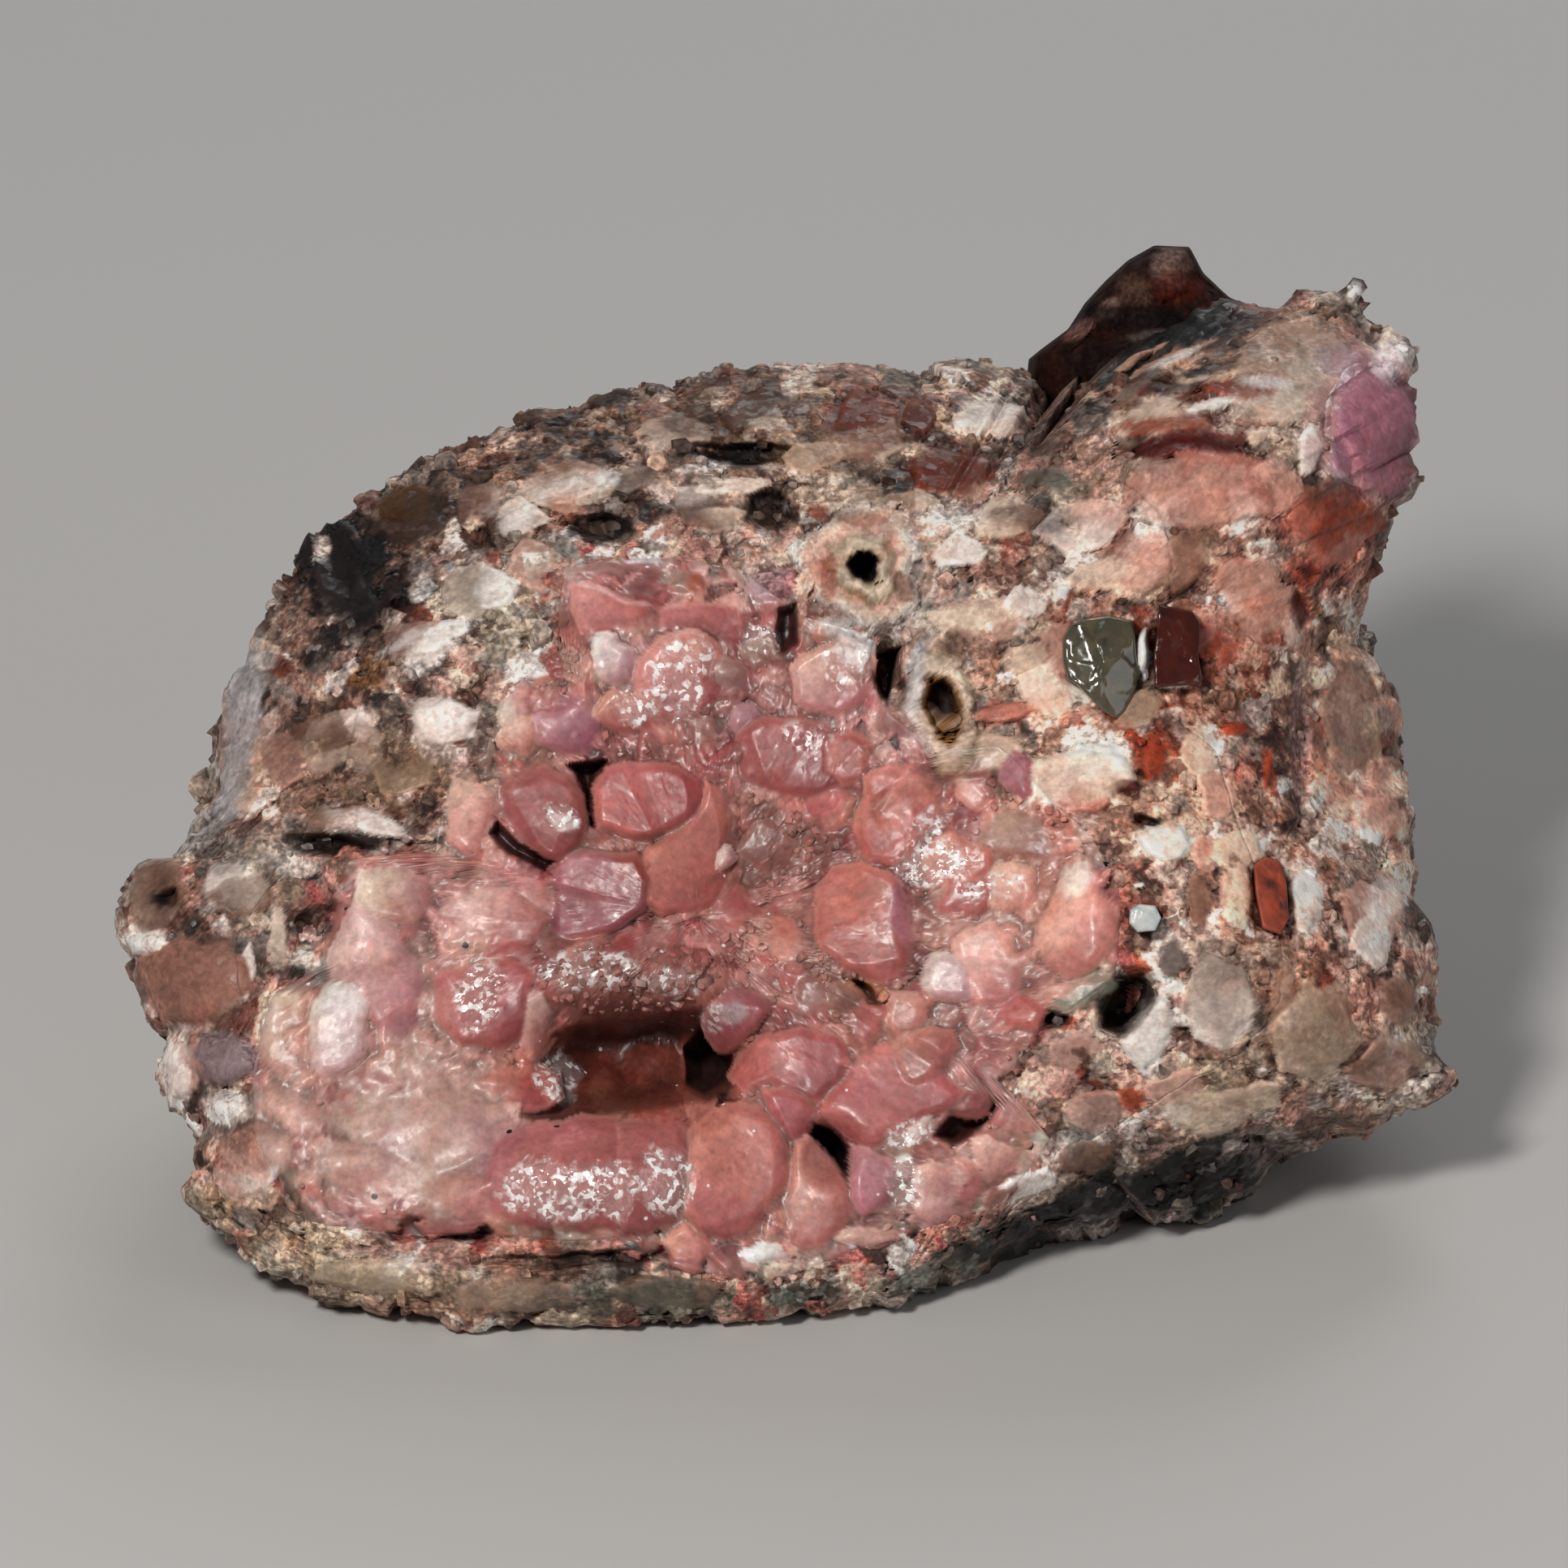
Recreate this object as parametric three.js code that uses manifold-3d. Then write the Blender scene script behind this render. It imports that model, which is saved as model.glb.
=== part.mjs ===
// Cobaltoan calcite specimen: a loose piece of granular rock, 70 mm wide, whose leaning front face
// has a shallow hollow lined with blunt rose crystals. A lilac cluster sits on its upper right edge
// and four single crystals sit in pockets of the rock. Units are millimetres, +Z is up, the front
// faces -Y, and the origin is on the flat underside.
//
// The rock was measured on a picture taken from straight ahead and a little above. A place on it is
// a picture point (px across, py down) and a depth in millimetres along the line of sight.

import * as THREE from 'three';
import { mergeVertices } from 'three/addons/utils/BufferGeometryUtils.js';
import { ConvexGeometry } from 'three/addons/geometries/ConvexGeometry.js';
import Module from 'manifold-3d';

const wasm = await Module();
wasm.setup();

// Driving dimensions
const WIDTH = 70;
const GAP = 0.3;
const LOOK_DOWN = THREE.MathUtils.degToRad(25);
const ORIGIN_DEPTH = 20;
const PICTURE = { left: 142, right: 1790, floor: 1636, middle: [966, 960] };
const PX = WIDTH / (PICTURE.right - PICTURE.left);

// The face goes back by LEAN for each millimetre up the picture and bulges forward by BULGE. The
// back of the rock is a dome that reaches BACK_REACH behind the middle of the rim.
const LEAN = 0.34;
const BULGE = 7;
const MIDDLE_DEPTH = 14;
const BACK_REACH = new THREE.Vector3(0, 17, -13);
const BACK_SQUARE = 0.8;
const ROUGHNESS = 0.8;
const BACK_ROUGHNESS = 0.032;

// The rim's notches fade over the first part of the swing to the back, towards the mean reach of
// the neighbouring bearings in radians, but no further out than NOTCH_GROWTH of their own reach
const NOTCH_FADE = 0.6;
const NOTCH_NEIGHBOURS = [-0.5, -0.25, 0.25, 0.5];
const NOTCH_GROWTH = 1.1;

const ROCK_GRID = { around: 50, front: 11, back: 7 };
const HOLLOW_GRID = { around: 30, rings: 5 };
const HOLLOW_DISH = 2.4;
const SHEET = 1.5;
const SHEET_SPARE = { behind: 2, around: 0.4 };
const WALL_GAP = 0.6;
const FAR_FRONT = -60;
const ROOM = 200;
const WELD = 1e-4;

// Rim of the rock, clockwise from the left of the top edge
const RIM = [
  [273, 893], [299, 817], [332, 734], [377, 663], [439, 614], [520, 562], [604, 531], [680, 505],
  [763, 477], [870, 458], [937, 445], [1079, 453], [1204, 441], [1267, 456], [1284, 480], [1296, 510],
  [1316, 500], [1338, 452], [1400, 410], [1480, 372], [1558, 377], [1585, 375], [1607, 355], [1665, 348],
  [1679, 348], [1701, 384], [1743, 417], [1751, 538], [1732, 549], [1748, 600], [1723, 614], [1701, 683],
  [1672, 741], [1665, 790], [1696, 812], [1723, 897], [1723, 962], [1736, 984], [1737, 1100], [1770, 1158],
  [1768, 1234], [1761, 1279], [1790, 1330], [1772, 1352], [1687, 1388], [1625, 1405], [1571, 1417],
  [1540, 1466], [1478, 1504], [1422, 1504], [1402, 1482], [1330, 1515], [1273, 1512], [1215, 1548],
  [1130, 1582], [1092, 1601], [1019, 1608], [916, 1620], [736, 1623], [646, 1629], [584, 1636],
  [533, 1617], [446, 1599], [387, 1591], [361, 1562], [285, 1521], [229, 1477], [241, 1444],
  [245, 1392], [205, 1337], [198, 1310], [205, 1274], [169, 1203], [142, 1122], [158, 1084],
  [212, 1063], [247, 1011], [272, 975]];

// How far the rim lies behind the leaning face, at bearings in degrees (0 right, 90 up)
const RIM_BACK = [
  [-60, 4], [-47, 9], [-35, 7], [-25, 6], [-17, 6], [2, 9], [15, 5], [28, 4], [43, 7], [54, 9],
  [75, 6], [109, 6], [140, 5], [161, 4], [175, 5], [191, 3], [205, 2], [215, 1.5], [228, 0.3],
  [240, -0.3], [262, 0], [281, 0.6], [300, 4]];

// Broad forms of the front: picture point, half width and height in pixels, rise in millimetres
const FORMS = [
  { name: 'upper right lobe', at: [1570, 560], half: [190, 150], rise: 3.2 },
  { name: 'gully left of the lobe', at: [1330, 600], half: [60, 130], rise: -1.6 },
  { name: 'set back right lobe', at: [1680, 900], half: [95, 130], rise: -3.2 },
  { name: 'lower right block', at: [1640, 1240], half: [140, 150], rise: 1.8 },
  { name: 'shoulder right of the hollow', at: [1420, 1040], half: [170, 260], rise: 1.8 },
  { name: 'rim below the tubes', at: [1140, 720], half: [150, 110], rise: 1.3 },
  { name: 'dark corner', at: [420, 700], half: [100, 100], rise: -1.5 },
  { name: 'pale bay on the left', at: [440, 950], half: [150, 90], rise: -1.2 },
  { name: 'pocket on the left', at: [365, 1130], half: [60, 70], rise: -2.4 },
  { name: 'left knob', at: [195, 1120], half: [70, 60], rise: 1.8 },
  { name: 'lower left swell', at: [330, 1430], half: [110, 80], rise: 1.2 },
  { name: 'bottom ledge', at: [560, 1580], half: [300, 45], rise: 1.4 },
  { name: 'recess above the ledge', at: [620, 1532], half: [210, 18], rise: -1.3 }];

// Edge of the hollow, clockwise from the top, and what sinks or swells its floor
const HOLLOW_MIDDLE = [860, 1130];
const HOLLOW_EDGE = [
  [830, 690], [900, 700], [985, 760], [1080, 790], [1095, 880], [1150, 930], [1230, 920], [1290, 985],
  [1340, 1030], [1375, 1090], [1370, 1200], [1280, 1260], [1230, 1330], [1290, 1400], [1230, 1480],
  [1130, 1510], [1050, 1535], [950, 1570], [850, 1560], [760, 1520], [600, 1510], [450, 1510],
  [385, 1500], [320, 1400], [315, 1330], [340, 1225], [400, 1190], [430, 1060], [540, 1050],
  [560, 960], [600, 930], [620, 870], [690, 800], [690, 740], [700, 700]];
const HOLLOW_FORMS = [
  { name: 'vug', at: [790, 1300], half: [115, 62], rise: -5.5 },
  { name: 'middle of the hollow', at: [960, 1060], half: [90, 80], rise: -1.2 },
  { name: 'shelf above the vug', at: [770, 1200], half: [110, 40], rise: 1.4 },
  { name: 'swell below the vug', at: [720, 1450], half: [140, 55], rise: 1.6 },
  { name: 'upper left swell', at: [780, 800], half: [110, 80], rise: 1.2 },
  { name: 'gap beside the lower crystals', at: [1024, 1412], half: [30, 34], rise: -2 }];

// Rose crystals: picture point, half width and height in pixels, where the tip shows from the
// middle in pixels, rise in millimetres above the hollow's floor
const ROSE_CRYSTALS = [
  { at: [755, 752], half: [56, 38], tip: [-8, 14], rise: 2.0 },
  { at: [762, 716], half: [54, 26], tip: [10, 10], rise: 1.2 },
  { at: [862, 764], half: [54, 30], tip: [0, 12], rise: 1.5 },
  { at: [760, 816], half: [33, 42], tip: [-6, 6], rise: 2.6 },
  { at: [836, 842], half: [44, 50], tip: [6, -8], rise: 2.8 },
  { at: [950, 722], half: [36, 22], tip: [-14, 6], rise: 1.5 },
  { at: [1026, 838], half: [56, 50], tip: [10, -14], rise: 2.6 },
  { at: [916, 884], half: [22, 20], tip: [-4, -6], rise: 1.6 },
  { at: [964, 932], half: [58, 50], tip: [-10, 8], rise: 2.4 },
  { at: [1040, 934], half: [44, 36], tip: [12, 0], rise: 1.7 },
  { at: [700, 898], half: [44, 34], tip: [0, -8], rise: 1.4 },
  { at: [668, 1005], half: [60, 56], tip: [22, 4], rise: 3.4 },
  { at: [782, 980], half: [56, 58], tip: [-10, 4], rise: 3.6 },
  { at: [856, 1060], half: [52, 72], tip: [6, 14], rise: 3.0 },
  { at: [730, 1098], half: [68, 54], tip: [-14, 10], rise: 3.2 },
  { at: [892, 1056], half: [13, 15], tip: [2, -2], rise: 3.4 },
  { at: [950, 1046], half: [38, 36], tip: [-6, 4], rise: 1.3 },
  { at: [1106, 1000], half: [58, 62], tip: [-10, 8], rise: 2.9 },
  { at: [1064, 1132], half: [62, 74], tip: [-4, 22], rise: 3.6 },
  { at: [1178, 1068], half: [46, 40], tip: [8, -8], rise: 1.7 },
  { at: [1162, 1202], half: [35, 33], tip: [6, -4], rise: 3.0 },
  { at: [1218, 1188], half: [50, 56], tip: [8, -6], rise: 2.3 },
  { at: [1116, 1246], half: [28, 34], tip: [-4, 8], rise: 2.2 },
  { at: [1322, 1132], half: [46, 72], tip: [-8, 16], rise: 3.2 },
  { at: [1246, 954], half: [24, 28], tip: [-6, 6], rise: 2.0 },
  { at: [1250, 1030], half: [52, 36], tip: [6, -6], rise: 1.2 },
  { at: [1137, 1300], half: [43, 38], tip: [-4, 8], rise: 3.2 },
  { at: [1085, 1344], half: [80, 64], tip: [-16, 4], rise: 3.0 },
  { at: [956, 1302], half: [64, 42], tip: [10, 6], rise: 2.3 },
  { at: [908, 1254], half: [42, 38], tip: [8, -4], rise: 3.8 },
  { at: [908, 1424], half: [64, 86], tip: [0, 18], rise: 3.8 },
  { at: [975, 1368], half: [36, 38], tip: [4, 4], rise: 2.4 },
  { at: [1002, 1478], half: [46, 62], tip: [-8, 22], rise: 2.6 },
  { at: [1086, 1450], half: [40, 48], tip: [6, 10], rise: 2.8 },
  { at: [1130, 1392], half: [30, 20], tip: [4, -4], rise: 2.4 },
  { at: [1148, 1462], half: [30, 40], tip: [-4, 12], rise: 2.0 },
  { at: [1196, 1444], half: [28, 34], tip: [6, 6], rise: 1.6 },
  { at: [1234, 1424], half: [38, 34], tip: [6, -4], rise: 1.8 },
  { at: [590, 1226], half: [54, 52], tip: [-4, -10], rise: 2.8 },
  { at: [598, 1126], half: [66, 52], tip: [0, 10], rise: 1.3 },
  { at: [668, 1266], half: [26, 52], tip: [-4, 0], rise: 2.4 },
  { at: [470, 1180], half: [46, 82], tip: [-14, -56], rise: 2.6 },
  { at: [486, 1098], half: [46, 38], tip: [-4, -4], rise: 2.3 },
  { at: [424, 1264], half: [43, 57], tip: [-2, 4], rise: 3.0 },
  { at: [353, 1274], half: [34, 49], tip: [-4, 0], rise: 1.9 },
  { at: [655, 1430], half: [52, 60], tip: [-6, 10], rise: 2.3 },
  { at: [735, 1424], half: [52, 62], tip: [0, 12], rise: 2.9 },
  { at: [806, 1436], half: [48, 66], tip: [6, 12], rise: 3.1 },
  { at: [735, 1336], half: [24, 24], tip: [0, 0], rise: 1.8 },
  { at: [846, 1530], half: [32, 26], tip: [0, 8], rise: 1.7 },
  { at: [938, 1536], half: [30, 20], tip: [0, 6], rise: 2.0 },
  { at: [520, 1350], half: [70, 50], tip: [0, 6], rise: 1.0 },
  { at: [560, 1450], half: [64, 44], tip: [6, 8], rise: 1.1 },
  { at: [440, 1430], half: [60, 48], tip: [-6, 8], rise: 0.9 }];

// Blocks and grains fused to the rock: picture point, half width and height in pixels, rise in mm
const FRONT_LUMPS = [
  [1600, 460, 110, 88, 2.2], [1480, 600, 130, 70, 1.8], [1640, 650, 70, 70, 1.5], [1560, 760, 82, 70, 1.6],
  [1430, 520, 88, 50, 1.8], [1210, 762, 84, 38, 1.8], [1205, 930, 72, 40, 1.9], [1320, 962, 102, 58, 1.8],
  [1434, 1036, 44, 36, 1.9], [1516, 1108, 32, 56, 1.6], [1606, 1106, 30, 52, 1.8], [1412, 1270, 38, 60, 2],
  [1616, 1266, 70, 80, 2.1], [1690, 1130, 64, 70, 1.8], [1706, 1316, 64, 42, 1.5], [1500, 1250, 64, 58, 1.4],
  [1480, 1366, 84, 40, 1.6], [1350, 1370, 58, 38, 1.5], [1664, 880, 56, 82, 1.6], [1225, 514, 58, 32, 1.8],
  [1172, 578, 76, 42, 1.9], [1060, 530, 76, 50, 1.5], [940, 504, 70, 38, 1.4], [826, 530, 72, 36, 1.5],
  [700, 596, 76, 42, 1.6], [596, 620, 60, 42, 1.2], [500, 640, 56, 42, 1.5], [420, 726, 52, 52, 1.2],
  [592, 730, 60, 48, 1.4], [520, 790, 70, 42, 1.5], [548, 890, 54, 42, 2], [424, 912, 78, 56, 1.2],
  [302, 960, 36, 58, 1.1], [440, 1010, 78, 24, 1.9], [190, 1112, 48, 52, 1.6], [296, 1092, 56, 42, 1.5],
  [245, 1206, 82, 68, 1.5], [224, 1320, 30, 44, 1.4], [275, 1306, 56, 42, 1.9], [300, 1440, 58, 50, 1.5],
  [470, 1566, 98, 38, 1.2], [640, 1590, 110, 32, 1.1], [824, 1588, 98, 28, 1.1], [1330, 650, 70, 42, 1.5],
  [1236, 640, 58, 38, 1.4], [1404, 690, 58, 48, 1.5], [880, 626, 62, 42, 1.2], [1290, 850, 56, 42, 1.4]];
const BACK_LUMPS = { count: 18, points: 10, smallest: 5, largest: 9, rise: 1.6, spread: 0.8 };
const LUMP_BACK = 2.2;
const LUMP_POINTS = 9;
const BOULDER_SIZE = { smallest: 0.88, spread: 0.2 };
const BACK_LUMP_SHAPE = { across: 1, up: 0.8, deep: 0.6 };
const REAR_PEAK = [
  { at: [1356, 418], half: [78, 46], depth: 25 },
  { at: [1436, 372], half: [72, 74], depth: 26 },
  { at: [1512, 410], half: [66, 54], depth: 25 }];
const PEAK_THICK = 5.5;
const PEAK_POINTS = 14;

// Pits cut in the rock: picture point, half width and height in pixels, how deep in millimetres
const PITS = [
  { name: 'mouth of the round tube', at: [1065, 697], half: [17, 21], deep: 3 },
  { name: 'mouth of the slanted tube', at: [1163, 878], half: [15, 36], deep: 2.6 },
  { name: 'dark prism hole', at: [1386, 1232], half: [28, 38], deep: 2.8 },
  { name: 'slanted slot', at: [1416, 1017], half: [24, 9], deep: 1.8 },
  { name: 'long top slot', at: [930, 558], half: [76, 13], deep: 2 },
  { name: 'upper pit', at: [950, 630], half: [30, 28], deep: 1.8 },
  { name: 'crevice on the left', at: [414, 1044], half: [54, 13], deep: 2 },
  { name: 'shadowed arch', at: [1456, 552], half: [80, 16], deep: 1.8 },
  { name: 'recess over the ledge', at: [548, 1511], half: [74, 15], deep: 1.6 }];
const TUBES = [
  { name: 'round tube', at: [1065, 697], half: [78, 82], rise: 2.3 },
  { name: 'slanted tube', at: [1152, 862], half: [46, 72], rise: 2.2 }];

// Crystals of their own: the lilac cluster and four single crystals set in pockets
const LILAC_CRYSTALS = [
  { at: [1690, 500], half: [52, 56], tip: [14, -8], rise: 3.0 },
  { at: [1716, 446], half: [26, 34], tip: [6, -8], rise: 2.2 },
  { at: [1704, 560], half: [38, 32], tip: [10, 8], rise: 2.3 },
  { at: [1650, 446], half: [26, 26], tip: [-4, -6], rise: 1.8 }];
const SINGLE_CRYSTALS = [
  { name: 'smoky_crystal', at: [1352, 806], half: [48, 46], rise: 1.8, colour: '#5d5a4c' },
  { name: 'red_brown_crystal', at: [1446, 796], half: [32, 48], rise: 1.8, colour: '#5e2415' },
  { name: 'brick_red_crystal', at: [1562, 1103], half: [24, 46], rise: 1.6, colour: '#8a3a24' },
  { name: 'pale_blue_crystal', at: [1407, 1130], half: [20, 17], rise: 1.6, colour: '#b9c2c4' }];
const POCKET_DEPTH = 1.6;
const CAP_SLOPE = 0.45;
const CAP_DIP = 0.5;
const FOOT_WIDTH = 0.9;
const BLOCK_FRONT = 0.7;
const BLOCK_JITTER = 0.4;
const BLOCK_CORNERS = 6;
const TUBE_CORNERS = 9;

// Directions of the picture: across, up and away from the eye
const ACROSS = new THREE.Vector3(1, 0, 0);
const UP = new THREE.Vector3(0, Math.sin(LOOK_DOWN), Math.cos(LOOK_DOWN));
const AWAY = new THREE.Vector3(0, Math.cos(LOOK_DOWN), -Math.sin(LOOK_DOWN));

function place(px, py, depth) {
  return new THREE.Vector3(0, -ORIGIN_DEPTH, 0)
    .addScaledVector(ACROSS, (px - PICTURE.middle[0]) * PX)
    .addScaledVector(UP, (PICTURE.floor - py) * PX)
    .addScaledVector(AWAY, depth);
}

// A fixed sequence of numbers from 0 to 1, the same on every run
function sequence(seed) {
  let state = seed;
  return () => {
    state = (state * 1664525 + 1013904223) % 4294967296;
    return state / 4294967296;
  };
}

// Linear steps between [bearing, value] pairs round the full turn
function aroundTurn(pairs) {
  const sorted = pairs.map(([bearing, value]) => [((bearing % 360) + 360) % 360, value]);
  sorted.sort((a, b) => a[0] - b[0]);
  const first = sorted[0];
  const last = sorted[sorted.length - 1];
  const ring = [[last[0] - 360, last[1]], ...sorted, [first[0] + 360, first[1]]];
  return (angle) => {
    const degrees = ((THREE.MathUtils.radToDeg(angle) % 360) + 360) % 360;
    const next = ring.findIndex(([bearing]) => bearing > degrees);
    const [b0, v0] = ring[next - 1];
    const [b1, v1] = ring[next];
    return v0 + ((v1 - v0) * (degrees - b0)) / (b1 - b0);
  };
}

function reachOf(outline, [cx, cy]) {
  return aroundTurn(outline.map(([px, py]) => [
    THREE.MathUtils.radToDeg(Math.atan2(cy - py, px - cx)), Math.hypot(px - cx, py - cy)]));
}

const rimReach = reachOf(RIM, PICTURE.middle);
const rimBack = aroundTurn(RIM_BACK);
const hollowReach = reachOf(HOLLOW_EDGE, HOLLOW_MIDDLE);

// Sum of soft mounds and dips, each a bell curve over its half width and height
function relief(forms, px, py) {
  let rise = 0;
  for (const form of forms) {
    const u = (px - form.at[0]) / form.half[0];
    const v = (py - form.at[1]) / form.half[1];
    rise += form.rise * Math.exp(-((u * u + v * v) ** 1.5));
  }
  return rise;
}

function bodyDepth(px, py) {
  const dx = px - PICTURE.middle[0];
  const dy = PICTURE.middle[1] - py;
  const bearing = Math.atan2(dy, dx);
  const share = Math.min(Math.hypot(dx, dy) / rimReach(bearing), 1);
  const height = (PICTURE.floor - py) * PX;
  const dome = BULGE * Math.sqrt(1 - share * share);
  const edge = rimBack(bearing) * share ** 6;
  return LEAN * height + edge - dome - relief(FORMS, px, py) * (1 - share ** 8);
}

function hollowShare(px, py) {
  const dx = px - HOLLOW_MIDDLE[0];
  const dy = HOLLOW_MIDDLE[1] - py;
  return Math.min(Math.hypot(dx, dy) / hollowReach(Math.atan2(dy, dx)), 1);
}

// The floor of the hollow: the body's face sunk by a dish, its own forms fading at the edge
function floorDepth(px, py) {
  const inside = 1 - hollowShare(px, py) ** 2;
  const fade = Math.min(1, inside * 3);
  return bodyDepth(px, py) + HOLLOW_DISH * inside - relief(HOLLOW_FORMS, px, py) * fade;
}

function toSolid(geometry) {
  geometry.deleteAttribute('normal');
  geometry.deleteAttribute('uv');
  const merged = mergeVertices(geometry, WELD);
  return new wasm.Manifold(new wasm.Mesh({
    numProp: 3,
    vertProperties: Float32Array.from(merged.attributes.position.array),
    triVerts: Uint32Array.from(merged.index.array)
  }));
}

function toMesh(solid, name, colour, roughness) {
  const { vertProperties, triVerts } = solid.getMesh();
  const geometry = new THREE.BufferGeometry();
  geometry.setAttribute('position', new THREE.BufferAttribute(vertProperties, 3));
  geometry.setIndex(new THREE.BufferAttribute(triVerts, 1));
  const material = new THREE.MeshStandardMaterial({ color: colour, roughness, metalness: 0 });
  const mesh = new THREE.Mesh(geometry, material);
  mesh.name = name;
  return mesh;
}

const join = (solids) => solids.reduce((all, next) => all.add(next));
const hull = (points) => toSolid(new ConvexGeometry(points));

// Closed skin from a first pole, rings of equal count and a last pole, facing out where each ring
// runs counterclockwise seen from the first pole
function skin(firstPole, rings, lastPole) {
  const around = rings[0].length;
  const points = [firstPole, ...rings.flat(), lastPole];
  const last = points.length - 1;
  const faces = [];
  for (let i = 0; i < around; i += 1) {
    const j = (i + 1) % around;
    faces.push(0, 1 + i, 1 + j);
    for (let ring = 0; ring + 1 < rings.length; ring += 1) {
      const near = 1 + ring * around;
      const far = near + around;
      faces.push(near + i, far + i, far + j, near + i, far + j, near + j);
    }
    const end = last - around;
    faces.push(last, end + j, end + i);
  }
  const geometry = new THREE.BufferGeometry();
  geometry.setAttribute('position', new THREE.Float32BufferAttribute(points.flatMap((p) => p.toArray()), 3));
  geometry.setIndex(faces);
  return toSolid(geometry);
}

const turn = (index, count) => (2 * Math.PI * index) / count;
const GOLDEN_ANGLE = Math.PI * (3 - Math.sqrt(5));

// A place on the back, at a bearing and a swing from the rim (0) to the rearmost point (a quarter
// turn)
function backPoint(angle, swing, rough) {
  const [cx, cy] = PICTURE.middle;
  const blend = Math.min(swing / NOTCH_FADE, 1);
  const near = rimReach(angle);
  const sum = NOTCH_NEIGHBOURS.reduce((total, shift) => total + rimReach(angle + shift), 0);
  const wide = sum / NOTCH_NEIGHBOURS.length;
  const reach = THREE.MathUtils.lerp(near, Math.min(wide, near * NOTCH_GROWTH), blend);
  const py = cy - reach * Math.sin(angle);
  const middle = place(cx, cy, MIDDLE_DEPTH);
  return place(cx + reach * Math.cos(angle), py, LEAN * (PICTURE.floor - py) * PX + rimBack(angle))
    .sub(middle)
    .multiplyScalar(Math.cos(swing) ** BACK_SQUARE)
    .addScaledVector(BACK_REACH, Math.sin(swing) ** BACK_SQUARE + rough)
    .add(middle);
}

// The rock before anything is cut: a domed front through the rim and a rounded back
function rockBody() {
  const { around, front, back } = ROCK_GRID;
  const [cx, cy] = PICTURE.middle;
  const random = sequence(11);
  const rough = (size) => (random() - 0.5) * 2 * size;
  const frontRings = [];
  for (let row = 1; row <= front; row += 1) {
    const share = Math.sin((Math.PI / 2) * (row / front));
    frontRings.push(Array.from({ length: around }, (_, column) => {
      const angle = turn(column, around);
      const reach = rimReach(angle) * share;
      const px = cx + reach * Math.cos(angle);
      const py = cy - reach * Math.sin(angle);
      return place(px, py, bodyDepth(px, py) + (row < front ? rough(ROUGHNESS) : 0));
    }));
  }
  const backRings = [];
  for (let row = 1; row < back; row += 1) {
    const swing = (Math.PI / 2) * (row / back);
    backRings.push(Array.from({ length: around }, (_, column) => (
      backPoint(turn(column, around), swing, rough(BACK_ROUGHNESS)))));
  }
  const foremost = place(cx, cy, bodyDepth(cx, cy));
  const rearmost = place(cx, cy, MIDDLE_DEPTH).add(BACK_REACH);
  return skin(foremost, [...frontRings, ...backRings], rearmost);
}

// Rings on the floor of the hollow, from its middle out, shifted back or forward along the sight
function hollowRings(shift, inset) {
  const { around, rings } = HOLLOW_GRID;
  return Array.from({ length: rings }, (_, row) => Array.from({ length: around }, (__, column) => {
    const angle = turn(column, around);
    const reach = (hollowReach(angle) - inset / PX) * ((row + 1) / rings);
    const px = HOLLOW_MIDDLE[0] + reach * Math.cos(angle);
    const py = HOLLOW_MIDDLE[1] - reach * Math.sin(angle);
    return place(px, py, floorDepth(px, py) + shift);
  }));
}

// Everything in front of the hollow's wall, inside its edge drawn in by an inset
function hollowSpace(shift, inset) {
  const rings = hollowRings(shift, inset);
  const mouth = rings[rings.length - 1].map((point) => point.clone()
    .addScaledVector(AWAY, FAR_FRONT - point.clone().dot(AWAY)));
  const front = place(...HOLLOW_MIDDLE, 0);
  front.addScaledVector(AWAY, FAR_FRONT - front.dot(AWAY));
  const wall = place(...HOLLOW_MIDDLE, floorDepth(...HOLLOW_MIDDLE) + shift);
  return skin(front, [mouth, ...rings.reverse()], wall);
}

// The crust under its crystals, a little larger than the space that it is cut to
function crustSheet() {
  const thick = SHEET + SHEET_SPARE.behind;
  const frontRings = hollowRings(0, -SHEET_SPARE.around);
  const backRings = hollowRings(thick, -SHEET_SPARE.around).reverse();
  const front = place(...HOLLOW_MIDDLE, floorDepth(...HOLLOW_MIDDLE));
  const back = place(...HOLLOW_MIDDLE, floorDepth(...HOLLOW_MIDDLE) + thick);
  return skin(front, [...frontRings, ...backRings], back);
}

// Blunt six-sided crystal: a short prism with a low cap of three slanted faces, its axis leaning
// so that the tip shows at the given place, its foot sunk behind the surface
function crystal({ at, half, tip, rise }, surface, random, sunk) {
  const wide = half[0] * PX;
  const stretch = half[1] / half[0];
  const axis = new THREE.Vector3(tip[0] * PX, -tip[1] * PX / stretch, -(rise + sunk)).normalize();
  const side = new THREE.Vector3(1, 0, 0).addScaledVector(axis, -axis.x).normalize();
  const other = new THREE.Vector3().crossVectors(axis, side);
  const spin = random() * Math.PI;
  const length = rise + sunk;
  const points = [axis.clone().multiplyScalar(length)];
  for (let corner = 0; corner < 6; corner += 1) {
    const angle = spin + turn(corner, 6);
    const out = side.clone().multiplyScalar(Math.cos(angle)).addScaledVector(other, Math.sin(angle));
    const shoulder = length - wide * CAP_SLOPE * (corner % 2 ? 1 : CAP_DIP);
    points.push(out.clone().multiplyScalar(wide * FOOT_WIDTH));
    points.push(out.multiplyScalar(wide).addScaledVector(axis, shoulder));
  }
  const foot = place(at[0], at[1], surface(...at) + sunk);
  return hull(points.map((p) => foot.clone()
    .addScaledVector(ACROSS, p.x)
    .addScaledVector(UP, p.y * stretch)
    .addScaledVector(AWAY, p.z)));
}

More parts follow.
